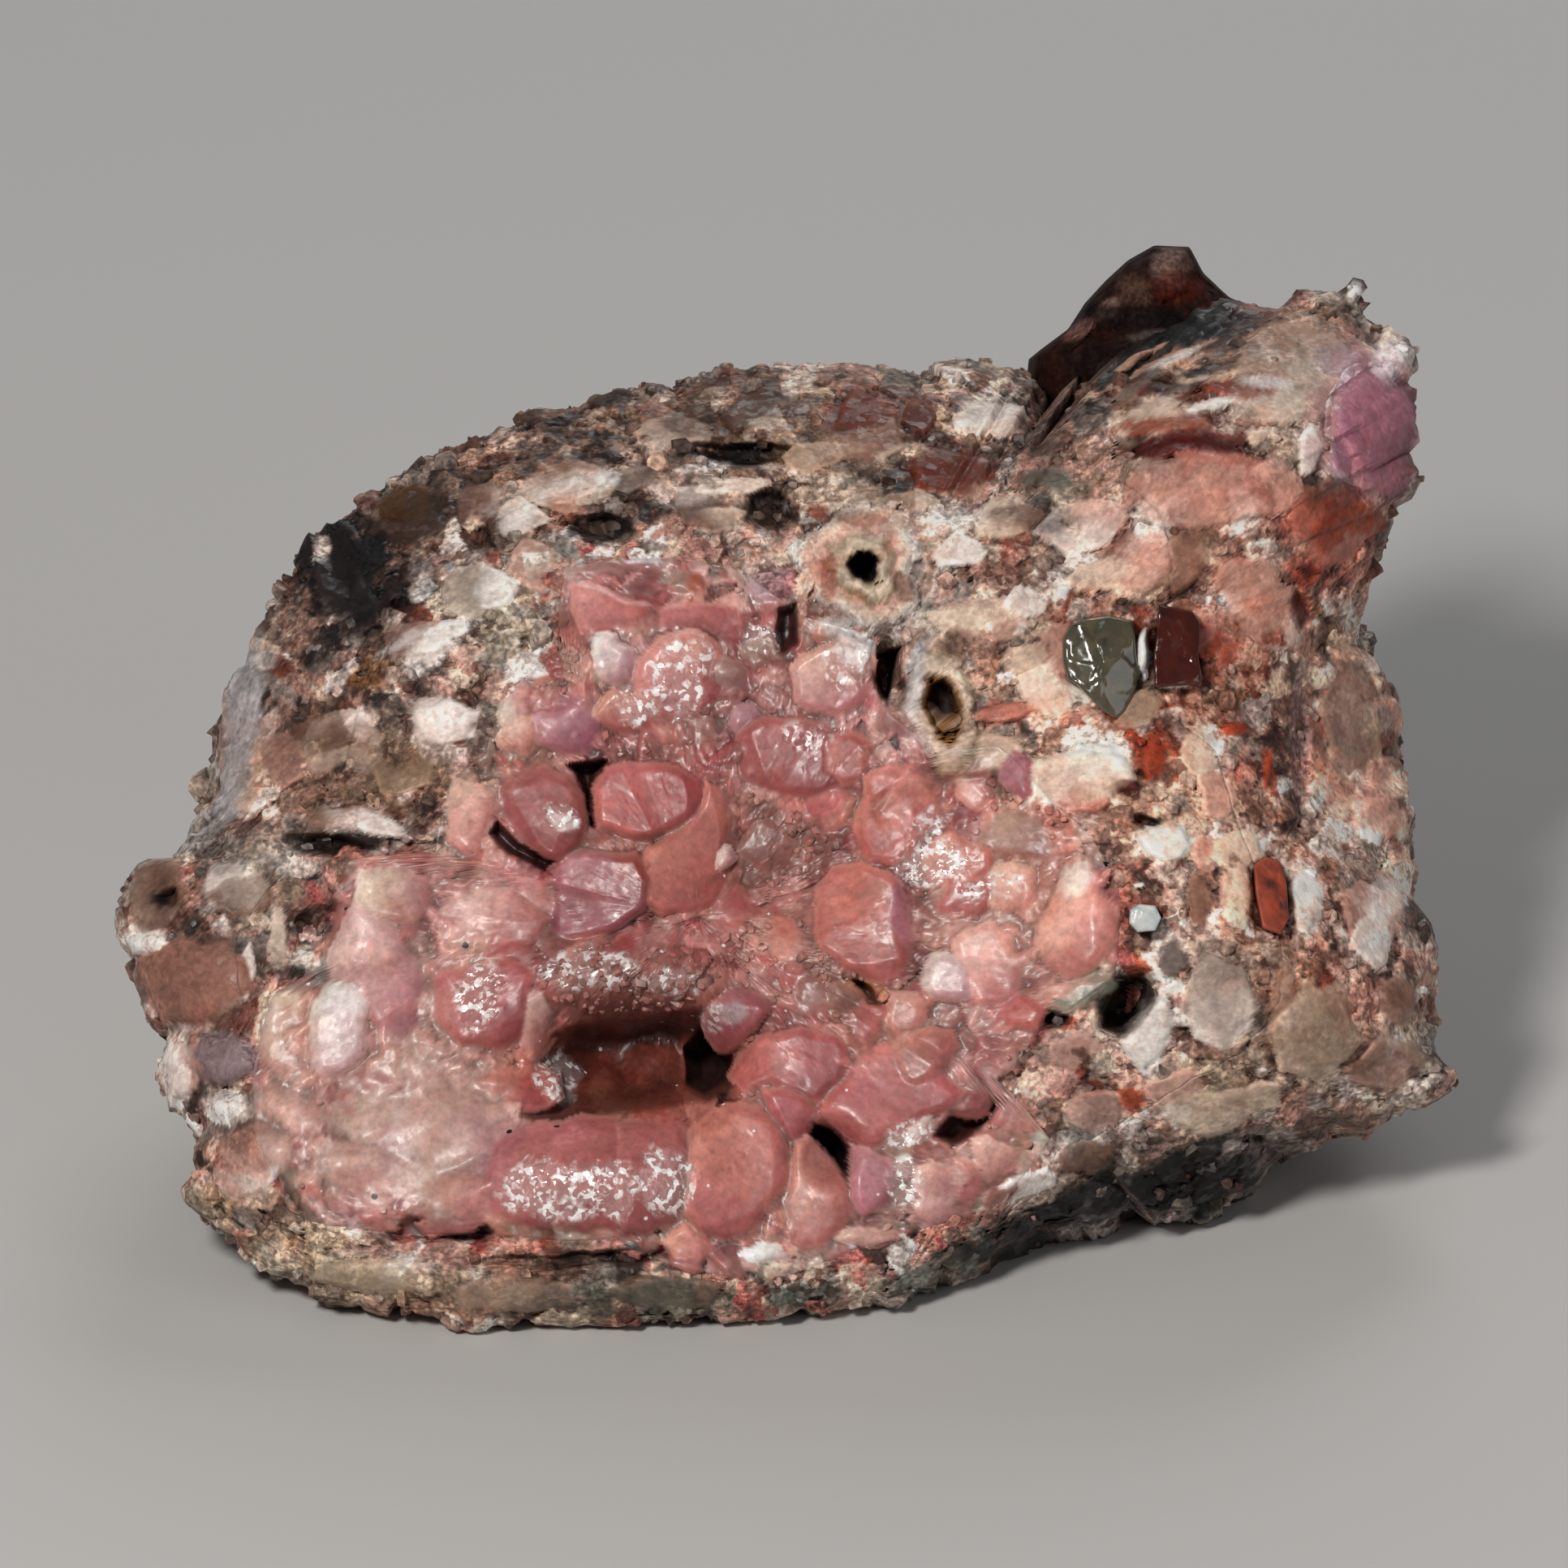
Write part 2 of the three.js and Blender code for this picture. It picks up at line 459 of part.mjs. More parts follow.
// Pit or set-in crystal: a block with few corners, narrower in front, a little uneven
function block({ at, half }, rise, sunk, corners, grow = 0) {
  const random = sequence(at[0] + at[1]);
  const depth = bodyDepth(...at);
  const points = [];
  for (const [shift, width] of [[-rise - grow, BLOCK_FRONT], [sunk + grow, 1]]) {
    for (let corner = 0; corner < corners; corner += 1) {
      const angle = turn(corner + BLOCK_JITTER * random(), corners);
      const across = Math.cos(angle) * (half[0] * width + grow / PX);
      const down = Math.sin(angle) * (half[1] * width + grow / PX);
      points.push(place(at[0] + across, at[1] + down, depth + shift));
    }
  }
  return hull(points);
}

// Angular boulder: the hull of a few uneven points spread over an ellipsoid
function boulder(middle, across, up, deep, count, random) {
  const start = random() * Math.PI;
  return hull(Array.from({ length: count }, (_, i) => {
    const along = 1 - (2 * i + 1) / count;
    const ring = Math.sqrt(1 - along * along);
    const angle = start + i * GOLDEN_ANGLE + 0.5 * random();
    const size = BOULDER_SIZE.smallest + BOULDER_SIZE.spread * random();
    return middle.clone()
      .addScaledVector(ACROSS, ring * Math.cos(angle) * size * across)
      .addScaledVector(UP, ring * Math.sin(angle) * size * up)
      .addScaledVector(AWAY, along * size * deep);
  }));
}

function frontLumps() {
  const random = sequence(23);
  return FRONT_LUMPS.map(([px, py, halfWide, halfHigh, rise]) => {
    const deep = (rise + LUMP_BACK) / 2;
    const middle = place(px, py, bodyDepth(px, py) + LUMP_BACK - deep);
    return boulder(middle, halfWide * PX, halfHigh * PX, deep, LUMP_POINTS, random);
  });
}

// Lumps over the back, at even steps of the golden angle on the dome
function backLumps() {
  const { count, points, smallest, largest, rise, spread } = BACK_LUMPS;
  const { across, up, deep } = BACK_LUMP_SHAPE;
  const random = sequence(37);
  const middle = place(...PICTURE.middle, MIDDLE_DEPTH);
  return Array.from({ length: count }, (_, i) => {
    const swing = (Math.PI / 2) * (1 - spread * Math.sqrt((i + 0.5) / count));
    const spot = backPoint(i * GOLDEN_ANGLE, swing, 0);
    const radius = smallest + (largest - smallest) * random();
    const inward = middle.clone().sub(spot).normalize();
    spot.addScaledVector(inward, radius * deep - rise);
    return boulder(spot, radius * across, radius * up, radius * deep, points, random);
  });
}

function rearPeak() {
  const random = sequence(41);
  return REAR_PEAK.map(({ at, half, depth }) => (
    boulder(place(...at, depth), half[0] * PX, half[1] * PX, PEAK_THICK, PEAK_POINTS, random)));
}

function lilacCluster(grow) {
  const random = sequence(53);
  const grown = (form) => ({
    ...form,
    half: form.half.map((size) => size + grow / PX),
    rise: form.rise + grow
  });
  return join(LILAC_CRYSTALS.map((form) => crystal(grown(form), bodyDepth, random, POCKET_DEPTH + grow)));
}

function aboveFloor() {
  const box = new THREE.BoxGeometry(ROOM, ROOM, ROOM);
  box.translate(0, 0, ROOM / 2);
  return toSolid(box);
}

function singleCrystal(form, grow) {
  return block(form, form.rise, POCKET_DEPTH, BLOCK_CORNERS, grow);
}

function matrixRock() {
  const tubes = TUBES.map((form) => block(form, form.rise, POCKET_DEPTH, TUBE_CORNERS));
  const whole = join([rockBody(), ...frontLumps(), ...backLumps(), ...rearPeak(), ...tubes]);
  const pits = PITS.map((form) => block(form, form.deep, form.deep, BLOCK_CORNERS));
  const pockets = SINGLE_CRYSTALS.map((form) => singleCrystal(form, GAP));
  const cuts = [hollowSpace(SHEET, 0), ...pits, ...pockets, lilacCluster(GAP)];
  return cuts.reduce((rock, cut) => rock.subtract(cut), whole).intersect(aboveFloor());
}

function roseCrust() {
  const random = sequence(5);
  const crystals = ROSE_CRYSTALS.map((form) => crystal(form, floorDepth, random, SHEET));
  return join([crustSheet(), ...crystals]).intersect(hollowSpace(SHEET - WALL_GAP, GAP));
}

const specimen = new THREE.Group();
specimen.add(
  toMesh(matrixRock(), 'matrix_rock', '#a08a76', 0.85),
  toMesh(roseCrust(), 'rose_crystal_crust', '#b5706e', 0.4),
  toMesh(lilacCluster(0), 'lilac_crystal_cluster', '#a8728a', 0.4),
  ...SINGLE_CRYSTALS.map((form) => toMesh(singleCrystal(form, 0), form.name, form.colour, 0.3)));

export default specimen;
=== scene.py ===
"""Cobaltoan calcite specimen: the looks of the rock, its rose crust and its single crystals.

A place on the specimen is a picture point (px across, py down, in a picture 1932 pixels square) and
a depth in millimetres along the line of sight. Meshes are grids worked out as whole arrays.
"""
import math

import bpy
import numpy as np
from mathutils import Matrix, Vector


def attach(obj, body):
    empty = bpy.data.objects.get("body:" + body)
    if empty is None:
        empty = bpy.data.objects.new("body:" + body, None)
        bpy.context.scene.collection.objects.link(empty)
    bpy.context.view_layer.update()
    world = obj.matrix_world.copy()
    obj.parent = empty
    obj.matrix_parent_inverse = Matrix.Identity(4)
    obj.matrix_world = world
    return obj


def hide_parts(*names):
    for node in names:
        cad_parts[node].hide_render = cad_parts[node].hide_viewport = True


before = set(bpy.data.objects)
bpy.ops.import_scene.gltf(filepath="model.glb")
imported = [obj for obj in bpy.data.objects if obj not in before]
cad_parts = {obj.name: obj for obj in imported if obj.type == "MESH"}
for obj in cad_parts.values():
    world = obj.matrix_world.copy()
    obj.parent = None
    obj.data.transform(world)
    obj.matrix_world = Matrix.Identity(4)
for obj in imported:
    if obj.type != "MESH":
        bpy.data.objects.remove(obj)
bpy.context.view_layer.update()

# Driving dimensions, as in the solid model: pixels of the picture, and millimetres
PICTURE = 1932
LEFT, RIGHT, FLOOR = 142, 1790, 1636
MIDDLE = (966, 960)
WIDTH_MM = 70
PX = WIDTH_MM / (RIGHT - LEFT)    # millimetres per pixel
LOOK_DOWN = math.radians(25)
ORIGIN_DEPTH = 20
LEAN = 0.34                       # millimetres back for each millimetre up the picture
BULGE = 7
MIDDLE_DEPTH = 14
BACK_REACH = np.array([0, 17, -13])
BACK_SQUARE = 0.8                 # 1 is a round dome, less is squarer
HOLLOW_DISH = 2.4
MM = 0.001
GOLDEN = math.pi * (3 - math.sqrt(5))

# Camera: a long lens, so that the view is nearly parallel
LENS = 600
SENSOR = 36
AIM_DEPTH = 10.0

# The picture's right, its up and the line of sight
ACROSS = np.array([1.0, 0.0, 0.0])
UP = np.array([0.0, math.sin(LOOK_DOWN), math.cos(LOOK_DOWN)])
AWAY = np.array([0.0, math.cos(LOOK_DOWN), -math.sin(LOOK_DOWN)])

# Rim of the rock, clockwise from the left of the top edge
RIM = [
    (273, 893), (275, 853), (281, 830), (299, 817), (310, 783), (325, 763), (332, 734), (354, 696),
    (377, 663), (412, 636), (439, 614), (479, 587), (520, 562), (551, 554), (573, 538), (604, 531),
    (627, 516), (654, 502), (680, 505), (709, 499), (727, 487), (763, 477), (829, 473), (870, 458),
    (921, 456), (937, 445), (1013, 448), (1079, 453), (1138, 453), (1169, 444), (1204, 441),
    (1236, 451), (1267, 456), (1280, 468), (1290, 508), (1312, 508), (1338, 452), (1400, 410),
    (1480, 372), (1518, 359), (1558, 377), (1585, 375), (1607, 355), (1643, 357), (1665, 348),
    (1679, 348), (1701, 384), (1723, 397), (1743, 417), (1737, 469), (1746, 478), (1751, 538),
    (1732, 549), (1746, 580), (1748, 600), (1723, 614), (1712, 652), (1701, 683), (1679, 719),
    (1672, 741), (1670, 763), (1665, 790), (1696, 812), (1717, 844), (1723, 897), (1725, 917),
    (1723, 962), (1736, 984), (1734, 1029), (1737, 1100), (1754, 1127), (1770, 1158), (1771, 1198),
    (1768, 1234), (1761, 1279), (1770, 1303), (1788, 1314), (1790, 1330), (1772, 1352),
    (1737, 1366), (1701, 1375), (1687, 1388), (1634, 1388), (1625, 1405), (1589, 1408),
    (1571, 1417), (1558, 1444), (1540, 1466), (1500, 1486), (1478, 1504), (1442, 1510),
    (1422, 1504), (1402, 1482), (1366, 1504), (1330, 1515), (1295, 1508), (1273, 1512),
    (1242, 1530), (1215, 1548), (1179, 1566), (1130, 1582), (1108, 1595), (1092, 1601),
    (1077, 1593), (1050, 1593), (1019, 1608), (956, 1612), (916, 1620), (867, 1620), (825, 1626),
    (736, 1623), (682, 1620), (646, 1629), (606, 1629), (584, 1636), (557, 1629), (533, 1617),
    (481, 1614), (446, 1599), (410, 1597), (387, 1591), (385, 1575), (361, 1562), (334, 1553),
    (305, 1533), (285, 1521), (256, 1500), (229, 1477), (223, 1462), (241, 1444), (245, 1392),
    (225, 1361), (205, 1337), (198, 1310), (205, 1274), (183, 1256), (180, 1229), (169, 1203),
    (169, 1176), (156, 1167), (147, 1147), (142, 1122), (153, 1104), (158, 1084), (185, 1069),
    (212, 1063), (227, 1042), (247, 1011), (272, 975), (279, 948)]

# How far the rim lies behind the leaning face, at bearings in degrees (0 right, 90 up)
RIM_BACK = [
    (-60, 4), (-47, 9), (-35, 7), (-25, 6), (-17, 6), (2, 9), (15, 5), (28, 4), (43, 7), (54, 9),
    (75, 6), (109, 6), (140, 5), (161, 4), (175, 5), (191, 3), (205, 2), (215, 1.5), (228, 0.3),
    (240, -0.3), (262, 0), (281, 0.6)]

# Edge of the hollow, clockwise from the top
HOLLOW_MIDDLE = (860, 1130)
HOLLOW_EDGE = [
    (830, 690), (900, 700), (985, 760), (1080, 790), (1095, 880), (1150, 930), (1230, 920),
    (1290, 985), (1340, 1030), (1375, 1090), (1370, 1200), (1280, 1260), (1230, 1330), (1290, 1400),
    (1230, 1480), (1130, 1510), (1050, 1535), (950, 1570), (850, 1560), (760, 1520), (600, 1510),
    (450, 1510), (385, 1500), (320, 1400), (315, 1330), (340, 1225), (400, 1190), (430, 1060),
    (540, 1050), (560, 960), (600, 930), (620, 870), (690, 800), (690, 740), (700, 700)]

# Broad forms of the front: across, down, half width, half height in pixels, rise in millimetres
FORMS = [
    (1570, 560, 190, 150, 3.2),    # upper right lobe
    (1330, 600, 60, 130, -1.6),    # gully left of the lobe
    (1680, 900, 95, 130, -3.2),    # set back right lobe
    (1640, 1240, 140, 150, 1.8),   # lower right block
    (1420, 1040, 170, 260, 1.8),   # shoulder right of the hollow
    (1140, 720, 150, 110, 1.3),    # rim below the tubes
    (420, 700, 100, 100, -1.5),    # dark corner
    (440, 950, 150, 90, -1.2),     # pale bay on the left
    (365, 1130, 60, 70, -2.4),     # pocket on the left
    (195, 1120, 70, 60, 1.8),      # left knob
    (330, 1430, 110, 80, 1.2),     # lower left swell
    (560, 1580, 300, 45, 1.4),     # bottom ledge
    (620, 1532, 210, 18, -1.3)]    # recess above the ledge
HOLLOW_FORMS = [
    (790, 1300, 115, 62, -5.5),    # vug
    (960, 1060, 90, 80, -1.2),     # middle of the hollow
    (770, 1200, 110, 40, 1.4),     # shelf above the vug
    (720, 1450, 140, 55, 1.6),     # swell below the vug
    (780, 800, 110, 80, 1.2),      # upper left swell
    (1024, 1412, 30, 34, -2),      # gap beside the lower crystals
    (700, 1322, 26, 30, 1.2),      # bubbles on the vug's wall
    (742, 1338, 22, 20, 1.0),
    (806, 1318, 30, 32, 1.1)]

# Blocks that stand out of the rock: across, down, half width, half height, rise
BLOCKS = [
    (1600, 460, 110, 88, 2.2), (1480, 600, 130, 70, 1.8), (1640, 650, 70, 70, 1.5),
    (1560, 760, 82, 70, 1.6), (1430, 520, 88, 50, 1.8), (1210, 762, 86, 38, 1.8),
    (1205, 930, 72, 40, 1.9), (1320, 962, 102, 58, 1.8), (1434, 1036, 46, 36, 1.9),
    (1516, 1108, 32, 56, 1.6), (1606, 1106, 30, 52, 1.8), (1412, 1270, 38, 60, 2),
    (1616, 1266, 70, 80, 2.1), (1690, 1130, 66, 70, 1.8), (1706, 1316, 66, 42, 1.5),
    (1500, 1250, 66, 58, 1.4), (1480, 1366, 86, 40, 1.6), (1350, 1370, 58, 38, 1.5),
    (1664, 880, 56, 82, 1.6), (1225, 514, 58, 32, 1.8), (1172, 578, 76, 42, 1.9),
    (1060, 530, 76, 50, 1.5), (940, 504, 70, 38, 1.4), (826, 530, 72, 36, 1.5),
    (700, 596, 76, 42, 1.6), (596, 620, 60, 42, 1.2), (500, 640, 56, 42, 1.5),
    (420, 726, 52, 52, 1.2), (592, 730, 60, 48, 1.4), (520, 790, 70, 42, 1.5),
    (548, 890, 54, 42, 2), (424, 912, 78, 56, 1.2), (302, 960, 36, 58, 1.1),
    (440, 1010, 78, 24, 1.9), (190, 1112, 48, 52, 1.6), (296, 1092, 56, 42, 1.5),
    (245, 1206, 82, 68, 1.5), (224, 1320, 30, 46, 1.4), (275, 1306, 56, 42, 1.9),
    (300, 1440, 58, 50, 1.5), (470, 1566, 98, 38, 1.2), (640, 1590, 110, 32, 1.1),
    (824, 1588, 98, 28, 1.1), (1330, 650, 70, 42, 1.5), (1236, 640, 58, 38, 1.4),
    (1404, 690, 58, 48, 1.5), (880, 626, 62, 42, 1.2), (1290, 850, 56, 42, 1.4)]

# Pits in the rock: across, down, half width, half height, turn in degrees, how deep
PITS = [
    (1095, 822, 17, 44, -12, 2.6),    # gap between the tubes
    (1386, 1232, 28, 36, 20, 2.8),    # dark prism hole
    (1416, 1017, 24, 8, 32, 1.8),     # slanted slot
    (1290, 1250, 28, 12, 0, 1.4),     # pit right of the hollow
    (930, 558, 78, 12, 4, 2.0),       # long top slot
    (948, 632, 30, 28, 20, 1.8),      # upper pit
    (738, 652, 42, 15, 10, 1.6),      # slot above the crust
    (414, 1044, 56, 12, 10, 2.0),     # crevice on the left
    (203, 1100, 11, 20, -35, 1.5),    # slot in the left knob
    (1456, 552, 82, 15, 5, 1.8),      # shadowed arch
    (1500, 500, 60, 8, 10, 1.0),      # seams of the upper lobe
    (1440, 470, 60, 7, 20, 1.0),
    (548, 1511, 76, 14, 4, 1.7),      # recess over the ledge
    (730, 1545, 150, 9, -3, 1.0),
    (1600, 930, 12, 90, 0, 0.7),      # groove beside the right lobe
    (1472, 1112, 16, 32, 0, 1.2),
    (400, 1140, 44, 26, 0, 1.6),
    (1352, 806, 44, 42, 0, 1.3),      # pockets of the single crystals
    (1446, 796, 30, 46, 0, 1.3),
    (1562, 1103, 22, 44, 0, 1.2),
    (1407, 1130, 18, 15, 0, 1.2)]

# Main crystals: colour, rise over the floor in millimetres, slope down to the right and towards the
# foot of the picture, outline, and facets that fall away (bearing in degrees with 0 right and 90 up,
# where they start from the middle in pixels, slope)
CRYSTALS = [
    ("taupe", 1.3, (0, 0.1), [(707, 708), (714, 697), (746, 688), (806, 690), (815, 701),
        (808, 740), (787, 738), (746, 724), (718, 715)], []),
    ("salmon", 2.0, (0.1, 0.25), [(700, 752), (705, 717), (730, 717), (769, 729), (806, 745),
        (801, 761), (808, 784), (790, 798), (746, 792), (712, 780)], [(-60, 14, 0.4)]),
    ("rose", 1.6, (0, 0.15), [(808, 750), (838, 742), (874, 738), (914, 742), (918, 763),
        (912, 786), (874, 792), (839, 798), (808, 804)], [(-90, 8, 0.5)]),
    ("white", 2.9, (-0.2, 0.1), [(730, 782), (741, 775), (764, 779), (769, 791), (785, 798),
        (790, 812), (785, 837), (755, 853), (737, 844), (729, 825)], [(-20, 10, 0.6)]),
    ("salmon", 2.9, (0.05, 0.1), [(786, 812), (812, 784), (850, 776), (884, 788), (902, 806),
        (904, 834), (890, 862), (858, 886), (816, 898), (786, 892), (768, 872)], [(0, 22, 0.5),
        (250, 20, 0.4)]),
    ("greylilac", 1.6, (0, 0), [(914, 722), (930, 712), (957, 703), (982, 700), (980, 733),
        (959, 745), (934, 749), (918, 738)], []),
    ("pale", 2.8, (0.1, 0.1), [(970, 821), (985, 805), (1021, 789), (1060, 784), (1082, 813),
        (1078, 846), (1060, 872), (1030, 886), (992, 882), (972, 868)], [(40, 16, 0.5)]),
    ("greylilac", 1.5, (0.2, 0), [(894, 890), (905, 868), (925, 866), (938, 884), (930, 900),
        (905, 904)], []),
    ("darkrose", 2.4, (0.05, 0.05), [(905, 902), (930, 886), (975, 882), (1018, 888), (1034, 905),
        (1040, 940), (1036, 976), (1012, 980), (972, 982), (932, 974), (908, 956), (902, 930)],
        [(200, 34, 0.5)]),
    ("orange", 1.8, (0.1, 0), [(1010, 905), (1050, 896), (1082, 912), (1086, 940), (1070, 968),
        (1034, 974), (1008, 950)], [(0, 14, 0.4)]),
    ("rose", 3.6, (-0.25, -0.1), [(600, 948), (645, 940), (676, 936), (704, 954), (723, 978),
        (730, 1004), (727, 1030), (719, 1048), (690, 1063), (672, 1060), (645, 1042), (622, 1017),
        (606, 996), (597, 970)], [(-18, 30, 0.7), (215, 26, 0.5), (110, 36, 0.5)]),
    ("rose", 3.7, (-0.05, 0), [(729, 969), (744, 944), (770, 934), (804, 937), (840, 946),
        (866, 962), (872, 985), (858, 1012), (833, 1022), (801, 1038), (767, 1032), (736, 1022)],
        [(0, 42, 0.6), (-80, 40, 0.5)]),
    ("salmon", 3.0, (0.15, 0.05), [(800, 1040), (836, 1018), (858, 992), (868, 960), (900, 968),
        (906, 1005), (896, 1044), (904, 1075), (890, 1104), (866, 1124), (815, 1132), (786, 1112),
        (784, 1070)], [(10, 34, 0.6)]),
    ("lilac", 3.2, (-0.3, 0.05), [(682, 1063), (697, 1050), (722, 1046), (752, 1052), (790, 1046),
        (806, 1080), (794, 1122), (752, 1150), (707, 1157), (679, 1152), (668, 1110), (662, 1085)],
        [(0, 20, 0.15), (180, 34, 0.6)]),
    ("salmon", 3.0, (-0.1, 0), [(1062, 956), (1080, 944), (1108, 938), (1136, 934), (1156, 952),
        (1160, 978), (1150, 1007), (1142, 1036), (1124, 1058), (1098, 1066), (1062, 1060),
        (1052, 1039), (1044, 1021), (1049, 1005), (1058, 985)], [(0, 26, 0.45), (60, 34, 0.4)]),
    ("orange", 3.7, (-0.1, 0.05), [(998, 1092), (1023, 1066), (1060, 1058), (1091, 1066),
        (1110, 1080), (1120, 1103), (1126, 1131), (1131, 1160), (1120, 1188), (1106, 1203),
        (1090, 1214), (1065, 1206), (1042, 1198), (1022, 1181), (1006, 1164), (999, 1135)],
        [(5, 34, 0.5), (-80, 46, 0.5)]),
    ("white", 3.1, (0, 0.2), [(1133, 1189), (1146, 1173), (1164, 1168), (1182, 1175), (1194, 1193),
        (1195, 1230), (1173, 1238), (1140, 1236), (1128, 1216)], []),
    ("pale", 2.4, (0.15, 0.05), [(1167, 1154), (1187, 1136), (1218, 1131), (1250, 1152),
        (1262, 1180), (1260, 1216), (1250, 1240), (1196, 1238), (1176, 1200)], [(30, 28, 0.3)]),
    ("pale", 3.3, (-0.1, 0), [(1292, 1100), (1306, 1072), (1325, 1056), (1344, 1063), (1357, 1098),
        (1376, 1118), (1376, 1160), (1357, 1182), (1335, 1200), (1312, 1208), (1287, 1190),
        (1276, 1163), (1278, 1130)], [(0, 20, 0.4), (70, 40, 0.5)]),
    ("pale", 2.3, (0, 0.1), [(1095, 1212), (1129, 1219), (1143, 1236), (1147, 1252), (1131, 1272),
        (1106, 1277), (1087, 1263), (1091, 1234)], []),
    ("salmon", 3.3, (-0.1, -0.1), [(1093, 1283), (1113, 1265), (1150, 1261), (1180, 1268),
        (1184, 1290), (1166, 1312), (1148, 1330), (1124, 1341), (1104, 1334), (1094, 1306)],
        [(10, 24, 0.4)]),
    ("rose", 3.0, (-0.05, -0.1), [(1006, 1363), (1029, 1331), (1052, 1294), (1088, 1277),
        (1120, 1290), (1160, 1312), (1193, 1341), (1175, 1365), (1146, 1380), (1102, 1401),
        (1070, 1413), (1046, 1407), (1019, 1387)], [(-80, 30, 0.4)]),
    ("rose", 2.3, (0.05, 0.1), [(890, 1323), (909, 1294), (937, 1277), (986, 1263), (1032, 1272),
        (1050, 1288), (1046, 1316), (1032, 1339), (1010, 1356), (984, 1348), (950, 1336),
        (916, 1344)], []),
    ("lilac", 4.0, (-0.1, 0), [(866, 1252), (878, 1228), (896, 1214), (924, 1214), (944, 1228),
        (952, 1248), (939, 1272), (920, 1284), (896, 1295), (878, 1292), (866, 1275)],
        [(200, 20, 0.7), (90, 14, 0.6)]),
    ("orange", 3.9, (0, 0), [(845, 1390), (866, 1366), (896, 1348), (938, 1357), (965, 1385),
        (973, 1421), (970, 1463), (946, 1492), (930, 1513), (900, 1522), (861, 1517), (846, 1493),
        (848, 1440)], [(150, 38, 0.5), (0, 44, 0.6), (-80, 56, 0.5)]),
    ("rose", 2.5, (0.1, 0.2), [(938, 1337), (968, 1332), (997, 1344), (1010, 1363), (1001, 1388),
        (978, 1408), (962, 1388), (948, 1363)], []),
    ("salmon", 2.7, (-0.1, 0.1), [(961, 1475), (975, 1402), (995, 1390), (1014, 1417),
        (1050, 1457), (1055, 1488), (1041, 1513), (1012, 1526), (986, 1536), (961, 1522)],
        [(0, 22, 0.3)]),
    ("lilac", 2.9, (0.3, 0.1), [(1046, 1406), (1079, 1411), (1112, 1424), (1124, 1448),
        (1117, 1473), (1088, 1487), (1066, 1497), (1050, 1475), (1045, 1448)], [(-10, 12, 0.5)]),
    ("white", 2.5, (-0.3, 0.1), [(1102, 1408), (1119, 1379), (1153, 1370), (1149, 1401),
        (1120, 1415)], []),
    ("pale", 2.1, (0, 0.2), [(1118, 1435), (1146, 1424), (1171, 1443), (1175, 1475), (1165, 1499),
        (1141, 1495), (1120, 1467)], []),
    ("salmon", 1.7, (0.2, 0.1), [(1168, 1424), (1196, 1424), (1215, 1456), (1215, 1481),
        (1187, 1473)], []),
    ("pale", 1.9, (0.1, 0.2), [(1189, 1397), (1213, 1390), (1251, 1411), (1260, 1445),
        (1227, 1450), (1213, 1459), (1195, 1426)], []),
    ("rose", 2.9, (0, -0.1), [(527, 1207), (545, 1192), (591, 1181), (637, 1178), (664, 1192),
        (656, 1252), (647, 1280), (619, 1290), (568, 1286), (538, 1254), (529, 1226)],
        [(200, 30, 0.4), (-80, 34, 0.4)]),
    ("cream", 2.5, (0.2, 0), [(645, 1229), (657, 1219), (673, 1219), (697, 1243), (688, 1281),
        (672, 1299), (654, 1309), (638, 1280)], [(0, 8, 0.5), (180, 10, 0.5)]),
    ("palelilac", 2.8, (0.15, 0.1), [(437, 1114), (470, 1120), (494, 1134), (508, 1171),
        (526, 1207), (531, 1254), (526, 1300), (488, 1308), (457, 1245), (424, 1222), (410, 1207),
        (408, 1171)], [(200, 26, 0.5), (20, 22, 0.4)]),
    ("cream", 2.3, (0, -0.2), [(437, 1072), (484, 1062), (531, 1076), (533, 1120), (516, 1138),
        (457, 1131), (435, 1113)], [(-60, 26, 0.5)]),
    ("white", 3.1, (0, 0), [(383, 1234), (410, 1207), (440, 1205), (466, 1229), (459, 1272),
        (453, 1303), (421, 1325), (389, 1321), (379, 1279)], []),
    ("cream", 1.9, (0.1, 0), [(317, 1223), (349, 1220), (378, 1223), (388, 1252), (383, 1321),
        (359, 1325), (328, 1312), (317, 1274)], [(180, 14, 0.5)]),
    ("rose", 2.3, (-0.1, 0), [(604, 1404), (640, 1385), (680, 1374), (706, 1384), (712, 1430),
        (704, 1490), (680, 1510), (640, 1506), (606, 1492), (596, 1450)], []),
    ("rose", 2.9, (0, 0), [(680, 1376), (725, 1366), (764, 1376), (782, 1420), (778, 1476),
        (762, 1510), (722, 1516), (688, 1506), (674, 1470), (672, 1420)], []),
    ("rose", 3.1, (0.1, 0), [(760, 1380), (800, 1374), (846, 1384), (856, 1420), (854, 1478),
        (834, 1502), (796, 1518), (762, 1508), (752, 1470), (752, 1410)], [(0, 34, 0.4)])]

